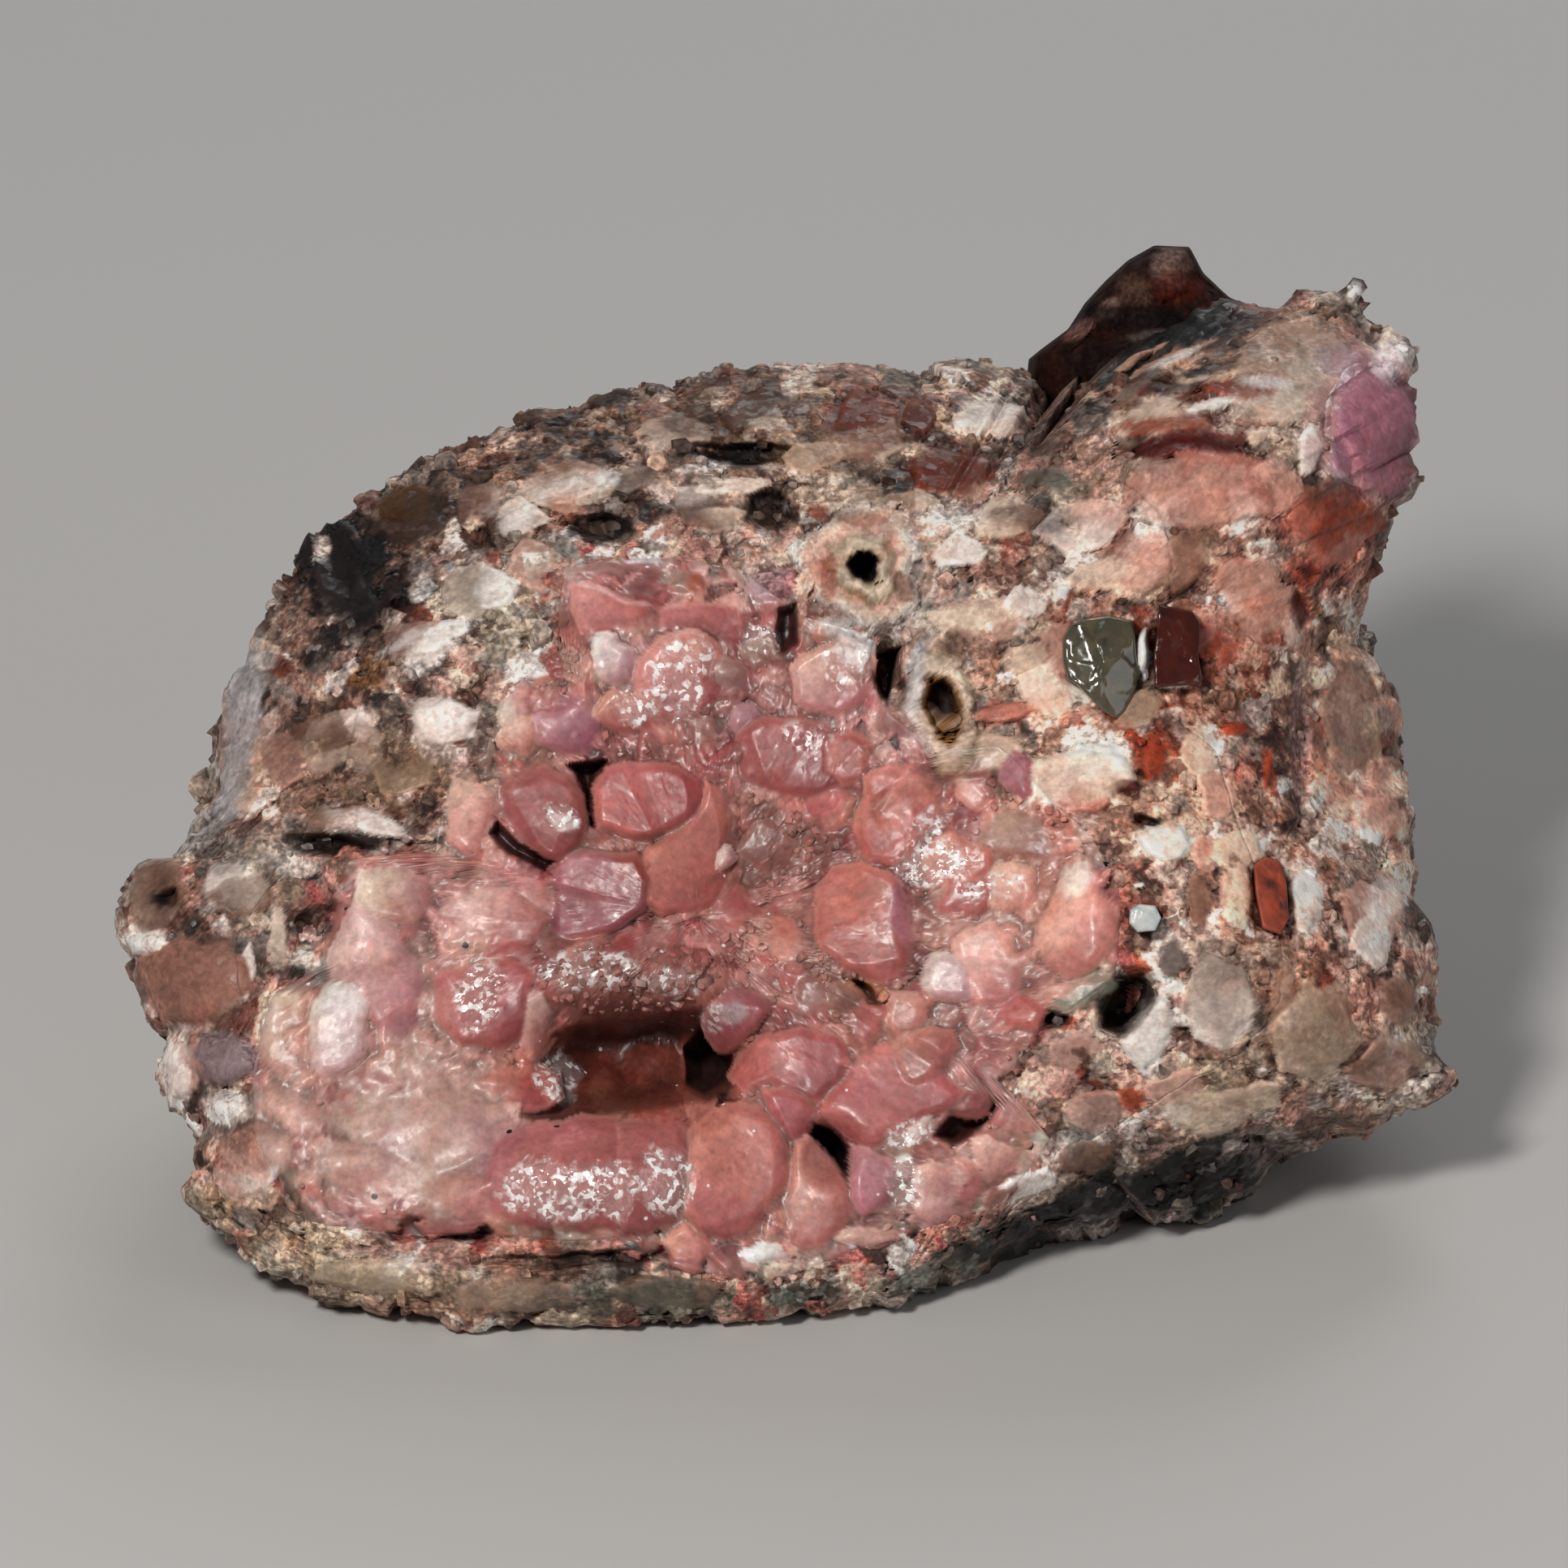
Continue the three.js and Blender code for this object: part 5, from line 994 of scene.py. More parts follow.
def make_specks():
    """Sparse round dark specks: a dot in one of every few cells."""
    tree, given, out = new_group(
        "dark_specks", {"Vector": ("vector", (0, 0, 0)), "Scale": ("value", 420.0),
                        "Share": ("value", 0.14), "Size": ("value", 0.075)}, {"Mask": "value"})
    pattern = node(tree, "ShaderNodeTexVoronoi", {"Vector": given["Vector"], "Scale": given["Scale"]})
    number = node(tree, "ShaderNodeSeparateColor", {0: pattern.outputs["Color"]})
    chosen = maths(tree, "LESS_THAN", number.outputs[0], given["Share"])
    inside = maths(tree, "LESS_THAN", pattern.outputs["Distance"], given["Size"])
    tree.links.new(maths(tree, "MULTIPLY", chosen, inside), out["Mask"])
    return tree


# Shift between the noise of the clouds and that of the stains
STAIN_SHIFT = (7.3, 2.1, 5.5)


def make_clouds():
    """Soft masks: milky clouds and rusty stains."""
    tree, given, out = new_group(
        "clouds_and_stains", {"Vector": ("vector", (0, 0, 0)), "Scale": ("value", 500.0)},
        {"Clouds": "value", "Stains": "value"})
    scaled = scaled_vector(tree, given)
    clouds = node(tree, "ShaderNodeTexNoise",
                  {"Vector": scaled.outputs[0], "Scale": 1.0, "Detail": 4.0})
    shifted = node(tree, "ShaderNodeVectorMath", {0: scaled.outputs[0], 1: STAIN_SHIFT},
                   operation="ADD")
    stains = node(tree, "ShaderNodeTexNoise",
                  {"Vector": shifted.outputs[0], "Scale": 0.6, "Detail": 3.0})
    for source, low, high, name in ((clouds, 0.42, 0.66, "Clouds"), (stains, 0.56, 0.74, "Stains")):
        ramp = node(tree, "ShaderNodeMapRange", {"Value": source.outputs["Fac"], "From Min": low,
                                                 "From Max": high})
        tree.links.new(ramp.outputs[0], out[name])
    return tree


SCALES = make_scales()
SPECKS = make_specks()
CLOUDS = make_clouds()


def place_group(tree, group, vector, **values):
    """Outputs of a group placed in a material."""
    made = node(tree, "ShaderNodeGroup", node_tree=group)
    tree.links.new(vector, made.inputs["Vector"])
    for key, value in values.items():
        made.inputs[key].default_value = value
    return made.outputs


def new_material(name):
    """A material with its tree, its shader and the object coordinates."""
    made = bpy.data.materials.new(name)
    made.use_nodes = True
    tree = made.node_tree
    shader = tree.nodes["Principled BSDF"]
    where = node(tree, "ShaderNodeTexCoord").outputs["Object"]
    return made, tree, shader, where


def attribute(tree, name, output="Color"):
    """Output that reads a point attribute of the mesh."""
    return node(tree, "ShaderNodeAttribute", attribute_name=name).outputs[output]


def rgba(name):
    """A named colour as a socket's value."""
    return (*colour(name), 1.0)


def varied(tree, share, tint, noise, seen, gain):
    """The tint made darker and lighter by a noise: its values seen map to a gain."""
    level = node(tree, "ShaderNodeMapRange",
                 {"Value": noise.outputs["Fac"], "From Min": seen[0], "From Max": seen[1],
                  "To Min": gain[0], "To Max": gain[1]}).outputs[0]
    grey = node(tree, "ShaderNodeCombineColor", {0: level, 1: level, 2: level})
    return blend_colours(tree, share, tint, grey.outputs[0], "MULTIPLY")


# What lilac, milk, rust, sugary grains, pores and flaws do to a colour: they multiply its red,
# green and blue. No rock is brighter than BRIGHTEST. Then the size of the glinting scales, the
# crystals' refraction and the height of every bump in metres
LILAC_TURN = (1.0, 0.9, 1.06, 1.0)
MILK_TURN = (1.4, 1.7, 1.65, 1.0)
RUST_TURN = (1.0, 0.55, 0.4, 1.0)
SUGAR_TURN = (2.3, 2.25, 2.2, 1.0)
PORE_TURN = (0.3, 0.22, 0.2, 1.0)
FLAW_TURN = (2.2, 1.8, 1.5, 1.0)
BRIGHTEST = (0.86, 0.84, 0.82, 1.0)
GLINT_SCALE = 3300.0
CALCITE_INDEX = 1.6
BUMP_DISTANCE = 0.0002


def calcite(name, glow, milk, stain, specks, rough, rim):
    """Translucent crystal: the tint drifts to lilac, is clouded and stained, paler along edges and
    dotted with dark specks and with painted white sparkles. It is satin, with scaly tiles where the
    gloss attribute is high, and there white flecks are painted in as highlights."""
    made, tree, shader, where = new_material(name)
    masks = place_group(tree, CLOUDS, where, Scale=480.0)
    wide = place_group(tree, CLOUDS, where, Scale=210.0)
    tint = attribute(tree, "tint")
    drift = blend_colours(tree, wide["Clouds"], tint, LILAC_TURN, "MULTIPLY")
    clouds = maths(tree, "MULTIPLY", masks["Clouds"], milk)
    milky = blend_colours(tree, clouds, drift, MILK_TURN, "MULTIPLY")
    stains = maths(tree, "MULTIPLY", masks["Stains"], stain)
    stained = blend_colours(tree, stains, milky, RUST_TURN, "MULTIPLY")
    grain = node(tree, "ShaderNodeTexNoise", {"Vector": where, "Scale": 2400.0, "Detail": 5.0,
                                              "Roughness": 0.7})
    mottled = varied(tree, 1.0, stained, grain, (0.3, 0.7), (0.72, 1.24))
    edge = maths(tree, "MULTIPLY", attribute(tree, "edge", "Fac"), rim, clamp=True)
    rimmed = blend_colours(tree, edge, mottled, rgba("pale"))
    dots = place_group(tree, SPECKS, where, Share=specks)
    dotted = blend_colours(tree, dots["Mask"], rimmed, rgba("black"))
    # Painted highlights: a few tiny white sparkles anywhere on the crystal
    painted_sparkles = place_group(tree, SPECKS, where, Scale=1250.0, Share=0.07, Size=0.13)
    dotted = blend_colours(tree, maths(tree, "MULTIPLY", painted_sparkles["Mask"], 0.7), dotted, rgba("painted_glint"))
    # Where gloss is high, white flecks are painted over the colour as glints
    gloss = attribute(tree, "gloss", "Fac")
    scales = place_group(tree, SCALES, where, Scale=GLINT_SCALE)
    patchy = node(tree, "ShaderNodeTexNoise", {"Vector": where, "Scale": 1500.0, "Detail": 4.0})
    ragged = maths(tree, "ADD", maths(tree, "MULTIPLY", patchy.outputs["Fac"], 2.4),
                   maths(tree, "MULTIPLY", scales["Number"], 1.1))
    chosen = node(tree, "ShaderNodeMapRange", {"Value": ragged, "From Min": 1.8, "From Max": 2.2,
                                               "To Min": 0.16, "To Max": 0.98})
    painted_glint_flecks = maths(tree, "MULTIPLY", gloss, chosen.outputs[0])
    glinting = blend_colours(tree, painted_glint_flecks, dotted, rgba("painted_glint"))
    tree.links.new(glinting, shader.inputs["Base Color"])
    large = place_group(tree, SCALES, where, Scale=620.0)
    tiles = maths(tree, "MULTIPLY", scales["Height"], maths(tree, "ADD", gloss, 0.05))
    soft = maths(tree, "ADD", maths(tree, "MULTIPLY", large["Height"], 0.05),
                 maths(tree, "MULTIPLY", grain.outputs["Fac"], 0.07))
    bump = node(tree, "ShaderNodeBump", {"Height": maths(tree, "ADD", tiles, soft),
                                         "Strength": 0.5, "Distance": BUMP_DISTANCE})
    tree.links.new(bump.outputs[0], shader.inputs["Normal"])
    uneven = maths(tree, "MULTIPLY", maths(tree, "SUBTRACT", scales["Number"], 0.5), 0.22)
    polished = maths(tree, "MULTIPLY", gloss, rough - 0.12)
    level = maths(tree, "SUBTRACT", maths(tree, "ADD", uneven, rough), polished)
    tree.links.new(maths(tree, "MAXIMUM", level, 0.07), shader.inputs["Roughness"])
    shader.inputs["Subsurface Weight"].default_value = glow
    shader.inputs["Subsurface Radius"].default_value = (1.0, 0.42, 0.36)
    shader.inputs["Subsurface Scale"].default_value = 0.0013
    shader.inputs["Coat Weight"].default_value = 0.1
    shader.inputs["Coat Roughness"].default_value = 0.2
    shader.inputs["IOR"].default_value = CALCITE_INDEX
    return made


def rock_material(name, gloss, bump_strength, shine, whites, darks):
    """Granular rock: the tint broken up by fine noise, with glinting and dull grains."""
    made, tree, shader, where = new_material(name)
    fine = node(tree, "ShaderNodeTexNoise", {"Vector": where, "Scale": 1500.0, "Detail": 5.0,
                                             "Roughness": 0.65})
    uneven = maths(tree, "SUBTRACT", 1.0, attribute(tree, "calm", "Fac"))
    broken = varied(tree, uneven, attribute(tree, "tint"), fine, (0.3, 0.7), (0.42, 1.5))
    masks = place_group(tree, CLOUDS, where, Scale=420.0)
    stains = maths(tree, "MULTIPLY", masks["Stains"], 0.6)
    rusty = blend_colours(tree, stains, broken, RUST_TURN, "MULTIPLY")
    cluster = node(tree, "ShaderNodeTexNoise", {"Vector": where, "Scale": 420.0, "Detail": 4.0})
    for size, low, high, least, share, turn in ((3600.0, 0.5, 0.62, 0.45, whites, SUGAR_TURN),
                                                (2300.0, 0.48, 0.38, 0.45, darks, PORE_TURN)):
        zone = node(tree, "ShaderNodeMapRange", {"Value": cluster.outputs["Fac"], "From Min": low,
                                                 "From Max": high, "To Max": share})
        number = place_group(tree, SCALES, where, Scale=size)["Number"]
        picked = maths(tree, "MULTIPLY", zone.outputs[0], maths(tree, "GREATER_THAN", number, least))
        loose = maths(tree, "MULTIPLY", picked, uneven)
        rusty = blend_colours(tree, loose, rusty, turn, "MULTIPLY")
    sugar = node(tree, "ShaderNodeTexNoise", {"Vector": where, "Scale": 3600.0, "Detail": 2.0})
    sugared = varied(tree, uneven, rusty, sugar, (0.35, 0.65), (0.6, 1.4))
    sugared = blend_colours(tree, 1.0, sugared, BRIGHTEST, "DARKEN")
    tree.links.new(sugared, shader.inputs["Base Color"])
    scales = place_group(tree, SCALES, where, Scale=1900.0)
    height = maths(tree, "ADD", scales["Height"], maths(tree, "MULTIPLY", fine.outputs["Fac"], 0.6))
    bump = node(tree, "ShaderNodeBump", {"Height": height, "Strength": bump_strength,
                                         "Distance": BUMP_DISTANCE})
    tree.links.new(bump.outputs[0], shader.inputs["Normal"])
    rough = node(tree, "ShaderNodeMapRange", {"Value": scales["Number"], "To Min": gloss,
                                              "To Max": 0.85})
    tree.links.new(rough.outputs[0], shader.inputs["Roughness"])
    shader.inputs["Specular IOR Level"].default_value = shine
    shader.inputs["Subsurface Weight"].default_value = 0.25
    shader.inputs["Subsurface Radius"].default_value = (1.0, 0.7, 0.5)
    shader.inputs["Subsurface Scale"].default_value = 0.0005
    return made


def clear_material(name, tone, through, gloss):
    """See-through dark crystal with fine flaws."""
    made, tree, shader, where = new_material(name)
    masks = place_group(tree, CLOUDS, where, Scale=1100.0)
    clouds = maths(tree, "MULTIPLY", masks["Clouds"], 0.5)
    tinted = blend_colours(tree, clouds, rgba(tone), FLAW_TURN, "MULTIPLY")
    stains = maths(tree, "MULTIPLY", masks["Stains"], 0.8)
    flawed = blend_colours(tree, stains, tinted, rgba("black"))
    tree.links.new(flawed, shader.inputs["Base Color"])
    scales = place_group(tree, SCALES, where, Scale=900.0)
    bump = node(tree, "ShaderNodeBump", {"Height": scales["Height"], "Strength": 0.4,
                                         "Distance": BUMP_DISTANCE})
    tree.links.new(bump.outputs[0], shader.inputs["Normal"])
    shader.inputs["Roughness"].default_value = gloss
    shader.inputs["Transmission Weight"].default_value = through
    shader.inputs["IOR"].default_value = CALCITE_INDEX
    return made


ROSE = calcite("rose_calcite", 0.5, 0.65, 0.5, 0.1, 0.48, 0.5)
GROUND = calcite("rose_druse", 0.3, 0.5, 0.6, 0.08, 0.45, 0.25)
LILAC = calcite("lilac_calcite", 0.5, 0.4, 0.1, 0.02, 0.4, 0.3)
MATRIX = rock_material("matrix", 0.35, 0.7, 0.35, 0.9, 0.95)
GRAINS = rock_material("matrix_grains", 0.2, 0.3, 0.4, 0.4, 0.4)
PEAK_ROCK = rock_material("peak_rock", 0.6, 0.3, 0.1, 0.0, 0.5)
SMOKY = clear_material("smoky_calcite", "smoke", 0.4, 0.16)
RED_BROWN = clear_material("red_brown_calcite", "redbrown", 0.25, 0.2)
BRICK = clear_material("brick_red_calcite", "brick", 0.0, 0.5)
PALE_BLUE = clear_material("pale_calcite", "paleblue", 0.1, 0.35)


def give(piece, replaced):
    """Hands a piece to the frame: it rides on the rock and stands for a node, whose own part is hidden.
    """
    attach(piece, "root")
    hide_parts(replaced)


# Grids: steps round, rows outwards, rows round the rim, rows of the hidden back
FRONT_GRID = {"around": 1260, "rows": 66, "wrap": 10, "hidden": 3}
BACK_GRID = {"around": 420, "rows": 70}
CRUST_GRID = {"around": 760, "rows": 124, "hidden": 4}
LILAC_GRID = {"around": 260, "rows": 60, "hidden": 3}

# The rock's front. Its two rings: name, start and end as shares of the way from the hollow to the
# rim, and how far their hidden rows reach back to the start, which lie some millimetres behind.
# The wrap round the rim in radians, and how the sides take the look of the back: where that starts
# and over how much of a turn. How it meets the hollow: pixels under the crust and millimetres sunk
RINGS = (("rock_face", 0, 0.5, 1.0), ("rock_rim", 0.5, 1, 0.75))
HIDDEN_BACK = 3
WRAP = 0.32
WRAP_SINK = 0.8
SIDE_SHAPE = (0.05, 0.3)
SIDE_COLOUR = (0.25, 0.35)
TUCK = 24
SINK = 1.3
EASE = 9
OPEN_FILM = 0.3

# The crust: rows past the hollow's edge (pixels out, millimetres down), its thickness and lowest
# point; the lilac cluster; and where the back of the rock is closed
OVERLAP = [(6, 0.3), (24, 0.9), (60, 1.6)]
CRUST_THICK = 14.0
CRUST_LOWEST = 0.3
LILAC_OVER = 0.12
LILAC_THICK = 1.2
LILAC_SINK = 0.6
BACK_INNER = (966, 1250, 25.0)
BACK_IN = 0.992
BACK_ROUGH = 1.3

# Heights in millimetres: the soft join of blocks, and shares of the rises in the tables
JOIN = 0.2
LIFT = 0.3
LILAC_RISE = 0.4
CRUST_RISE = 0.3
DIG_KEEPS = 0.7

# Colours: how much of its own colour a main crystal keeps, light along edges, how the rock's
# contrast hardens about an even tone, how painted shade turns the colour on a crystal's lower
# right, and how strong the painted shade in hollows is
BLEND = 0.6
RIM_LIGHT = 0.55
EVEN_TONE = 0.3
HARDEN = 0.15
FILM_HARDEN = 0.9
BLOCK_CALM = 0.7
SHADE_TURN = (0.7, 1.4, 1.3)
HOLLOW_SHADE = 0.75

# Slow waves that bend outlines: size and reach in pixels
WOBBLE = {"coarse": (34, 5.0), "fine": (13, 1.8)}

# Cells of the surface: size in millimetres and seed, and how much each makes patches ragged
CELLS = {"wide": (3.2, 3), "middle": (1.5, 8), "fine": (0.6, 19)}
RAGGED = {"wide": 0.24, "middle": 0.44, "fine": 0.26}

# The crust's edge in pixels: how far each size of cells makes it ragged, how soft it is, and how
# far outside it the rock is tinged
EDGE_RAGGED = {"wide": 60, "middle": 90}
EDGE_SOFT = 30
BLUSH = 70

# Layers of facets: cell size, step, tilt and crease in millimetres
ROCK_LAYERS = [(3.2, 0.24, 0.32, 0.1), (1.5, 0.15, 0.26, 0.12), (0.75, 0.09, 0.2, 0.07)]
CRUST_LAYERS = [(2.6, 0.2, 0.26, 0.06), (1.1, 0.08, 0.14, 0.03), (0.55, 0.04, 0.08, 0.02)]
SKIN_LAYERS = [(1.5, 0.012, 0.03, 0.0), (0.45, 0.006, 0.012, 0.0)]
SCALE_LAYERS = [(0.42, 0.05, 0.16, 0.03)]
LILAC_LAYERS = [(3.4, 0.1, 0.2, 0.03), (1.6, 0.03, 0.1, 0.02)]

# How each kind of block is set in, as settle says
SETTLING = {
    "rock_fill": {"bevel": 4, "foot": 0.12, "rim": 0.4, "hold": 0.85},
    "rock_forms": {"bevel": 9, "foot": 0.3, "rim": 0.2, "hold": 0.7},
    "set_in": {"bevel": 6, "foot": 0.3, "rim": 0.6, "hold": 0.72},
    "edge": {"bevel": 16, "dome": 0.5, "rim": 0.3},
    "lilac": {"bevel": 20, "foot": 0.1, "dome": 0.3, "rim": 0.3},
    "crust_fill": {"bevel": 9, "foot": 0.15, "dome": 0.2, "rim": 0.4, "hold": 0.8},
    "mounds": {"bevel": 40, "dome": 0.5, "rim": 0.0, "hold": 0.7},
    "lesser": {"bevel": 12, "foot": 0.3, "dome": 0.25, "rim": 0.6, "shade_fall": 0.3},
    "main": {"bevel": 14, "foot": 0.3, "rim": 0.8, "shade_fall": 0.35}}


def waved(points, size):
    """Points shifted by slow sines, so that cell borders bend."""
    part = points / size
    shift = np.stack([np.sin(1.7 * part[:, 1] + 2 * np.sin(0.9 * part[:, 2])),
                      np.sin(1.9 * part[:, 2] + 2 * np.sin(1.1 * part[:, 0])),
                      np.sin(1.5 * part[:, 0] + 2 * np.sin(1.3 * part[:, 1]))], axis=1)
    return points + shift * size * 0.3


def layered(points, layers, seed):
    """Sum of facet layers, in millimetres."""
    total = np.zeros(len(points))
    for i, (size, step, tilt, crease) in enumerate(layers):
        height, _ = faceted(waved(points, size * MM), size * MM, seed + 3 * i, step, tilt, crease)
        total += height
    return total


def calm(px, py):
    """How rough the rock is at a picture point: 1, less in the smooth zones."""
    rough = np.ones(np.shape(px))
    for x, y, wide, high, degrees, quiet in SMOOTH_ZONES:
        rough = np.minimum(rough, 1 - quiet * np.exp(-turned(px, py, x, y, wide, high, degrees) ** 4))
    return rough


def polygon(rng, x, y, wide, high, degrees=0.0, corners=7):
    """Uneven polygon round a turned ellipse."""
    angle = (np.arange(corners) + rng.uniform(-0.38, 0.38, corners)) * 2 * np.pi / corners
    size = rng.uniform(0.8, 1.2, corners)
    along = np.cos(angle) * size * wide
    over = np.sin(angle) * size * high
    turn = math.radians(degrees)
    return np.stack([x + along * math.cos(turn) - over * math.sin(turn),
                     y + along * math.sin(turn) + over * math.cos(turn)], axis=1)


def inside_by(px, py, outline):
    """Distance in pixels to an outline, positive inside it."""
    nearest = np.full(px.shape, 1e9)
    crossed = np.zeros(px.shape, bool)
    for (ax, ay), (bx, by) in zip(outline, np.roll(outline, -1, axis=0)):
        ex, ey = bx - ax, by - ay
        along = np.clip(((px - ax) * ex + (py - ay) * ey) / (ex * ex + ey * ey), 0, 1)
        nearest = np.minimum(nearest, np.hypot(px - ax - along * ex, py - ay - along * ey))
        if ey != 0:
            crossed ^= ((ay > py) != (by > py)) & (px < ax + ex * (py - ay) / ey)
    return np.where(crossed, nearest, -nearest)


def settle(field, rows, bevel, foot=0.5, dome=0.0, rim=1.0, hold=1.0, shade_fall=0.0):
    """Sets blocks into the field. A block's height over the smooth surface is its rise, less its
    slopes, facets and dome; along its outline it falls by a quarter round to a foot below the
    surface. Where it is higher than what is there it takes over, with a soft join, and its colour
    holds by a share. Painted shade: a block's colour is lighter at its upper left and darker and
    redder towards its lower right, by the share given for that."""
    px, py = field["wx"], field["wy"]
    for number, (tone, rise, (right, down), outline, facets) in enumerate(rows):
        corners = np.array(outline, float)
        low, high = corners.min(0), corners.max(0)
        near = np.flatnonzero((px > low[0]) & (px < high[0]) & (py > low[1]) & (py < high[1]))
        if len(near) == 0:
            continue
        middle = corners.mean(0)
        into = inside_by(px[near], py[near], corners)
        dx = (px[near] - middle[0]) * PX
        dy = (py[near] - middle[1]) * PX
        top = rise - right * dx - down * dy
        for bearing, start, slope in facets:
            along = dx * math.cos(math.radians(bearing)) - dy * math.sin(math.radians(bearing))
            top = top - slope * np.maximum(along - start * PX, 0)
        half = 0.25 * (high - low).sum()
        top = top - dome * np.clip(1 - into / half, 0, 1) ** 2
        share = np.clip(into / bevel, 0, 1)
        own = (top + foot) * np.sqrt(1 - (1 - share) ** 2) - foot
        own = np.where(into < 0, -9, own)
        over = own - field["height"][near]
        take = np.clip(0.5 + over / JOIN, 0, 1)
        lift = np.clip(1 - np.abs(over) / JOIN, 0, 1) ** 2 * JOIN * 0.25
        field["height"][near] = np.maximum(own, field["height"][near]) + lift
        own_tint = colour(tone) if isinstance(tone, str) else tone
        own_tint = own_tint * (0.9 + 0.2 * ((number * 7) % 10) / 9)
        # Painted shade: lighter at the block's upper left, darker and redder towards its lower right
        deep = shade_fall * np.clip((dx + dy) / (half * PX), -1, 1)
        own_tint = own_tint * (1 - deep[:, None]) ** np.array(SHADE_TURN)
        field["tint"][near] += hold * take[:, None] * (own_tint - field["tint"][near])
        glow = rim * np.exp(-(into / 6) ** 2)
        field["edge"][near] += take * (glow - field["edge"][near])
        field["block"][near] += take * (1 - field["block"][near])


def dig(field, rows):
    """Cuts holes: a row is colour, depth, outline and width of the sloping edge in pixels. The
    floor keeps most of the relief that was there."""
    px, py = field["wx"], field["wy"]
    for tone, depth, outline, slope in rows:
        into = inside_by(px, py, np.array(outline, float))
        share = np.clip(into / slope, 0, 1)
        level = -depth * share ** 0.7
        lower = np.minimum(field["height"], level + DIG_KEEPS * field["height"])
        field["height"] = np.where(into > 0, lower, field["height"])
        take = np.clip(into / 5, 0, 1)[:, None]
        field["tint"] += 0.8 * take * (colour(tone) - field["tint"])
        field["edge"] *= 1 - take[:, 0]


def hollow_depth_in(px, py):
    """Pixels inside the hollow's edge, negative outside, along the bearing from its middle."""
    dx = px - HOLLOW_MIDDLE[0]
    dy = HOLLOW_MIDDLE[1] - py
    return reach(HOLLOW_TABLE, np.arctan2(dy, dx)) - np.hypot(dx, dy)


def random_blocks(seed, count, box, smallest, largest, rise, mix, hollow):
    """Small blocks at random places in a box of the picture, in or outside the hollow, coloured
    from a mix."""
    rng = np.random.default_rng(seed)
    names = [name for name, _ in mix]
    shares = np.array([share for _, share in mix])
    picked = rng.choice(len(names), size=count, p=shares / shares.sum())
    rows = []
    for kind in picked:
        x, y = rng.uniform(box[0], box[2]), rng.uniform(box[1], box[3])
        wide = smallest + (largest - smallest) * rng.uniform() ** 1.7
        if (hollow_depth_in(x, y) + rng.uniform(-16, 16) > 0) != hollow:
            continue
        outline = polygon(rng, x, y, wide, wide * rng.uniform(0.5, 1.0), rng.uniform(-90, 90), 5)
        rows.append((names[kind], rng.uniform(*rise), rng.uniform(-0.25, 0.25, 2), outline,
                     [(rng.uniform(0, 360), 0.2 * wide, rng.uniform(0.1, 0.5))]))
    return rows


def ellipse_blocks(seed, rows, share, lift):
    """Block rows from ellipse rows: x, y, half width, half height, turn, rise, colour."""
    rng = np.random.default_rng(seed)
    blocks = []
    for x, y, wide, high, degrees, up, tone in rows:
        outline = polygon(rng, x, y, wide * share, high * share, degrees, 8)
        blocks.append((tone, up * lift, rng.uniform(-0.15, 0.15, 2), outline,
                       [(rng.uniform(0, 360), 0.3 * wide, rng.uniform(0.1, 0.4))]))
    return blocks


def upright(rows):
    """Rows of x, y, half width, half height, rise and colour, with a turn of 0 put in."""
    return [(x, y, wide, high, 0, up, tone) for x, y, wide, high, up, tone in rows]


# Rows of blocks, worked out from the tables and at random
HOLLOW_MIX = [("rose", 0.34), ("salmon", 0.26), ("pale", 0.1), ("taupe", 0.2), ("darkrose", 0.1)]
ROCK_FILL = random_blocks(41, 3600, (140, 340, 1790, 1640), 6, 42, (0.02, 0.28), MATRIX_MIX,
                          hollow=False)
ROCK_FORMS = ellipse_blocks(42, upright([(*row, MATRIX_MIX[i % 4][0]) for i, row in enumerate(BLOCKS)]),
                            0.8, 0.3)
SET_IN = ellipse_blocks(43, GRAIN_BLOCKS, 1.0, 0.34)
CRUST_FILL = random_blocks(44, 800, (310, 690, 1390, 1570), 12, 46, (0.08, 0.5), HOLLOW_MIX,
                           hollow=True)
LESSER = ellipse_blocks(45, upright(LESSER_CRYSTALS), 1.05, 0.5)
MOUNDS = ellipse_blocks(46, upright(SMOOTH_MOUNDS), 1.0, 0.6)
EDGE_ROWS = ellipse_blocks(47, upright(EDGE_CRYSTALS), 1.0, 0.6)
MAIN_ROWS = [(BLEND * colour(tone) + (1 - BLEND) * colour("rose"), LIFT * rise, *row)
             for tone, rise, *row in CRYSTALS]
LILAC_ROWS = [(tone, LILAC_RISE * rise, *row) for tone, rise, *row in LILAC_CRYSTALS]


def tube(field, row, wobble):
    """A ring about a middle: height and colour follow its profile out from the middle."""
    (x, y), (wide, high), degrees, profile = row
    bearing = np.arctan2(field["wy"] - y, field["wx"] - x)
    ragged = 1 + 0.1 * np.sin(3 * bearing + 1) + 0.05 * np.sin(7 * bearing)
    away = turned(field["wx"], field["wy"], x, y, wide, high, degrees) * ragged + 0.3 * wobble
    away = np.maximum(away, 0)
    near = np.flatnonzero(away < 1)
    steps = [part[0] for part in profile]
    height = np.interp(away[near], steps, [part[1] for part in profile])
    tones = np.array([colour(part[2]) for part in profile])
    tint = np.stack([np.interp(away[near], steps, tones[:, i]) for i in range(3)], axis=1)
    take = np.clip((1 - away[near]) / 0.2, 0, 1)
    field["height"][near] += take * (height - 0.5 * field["height"][near])
    field["tint"][near] += take[:, None] * (tint - field["tint"][near])


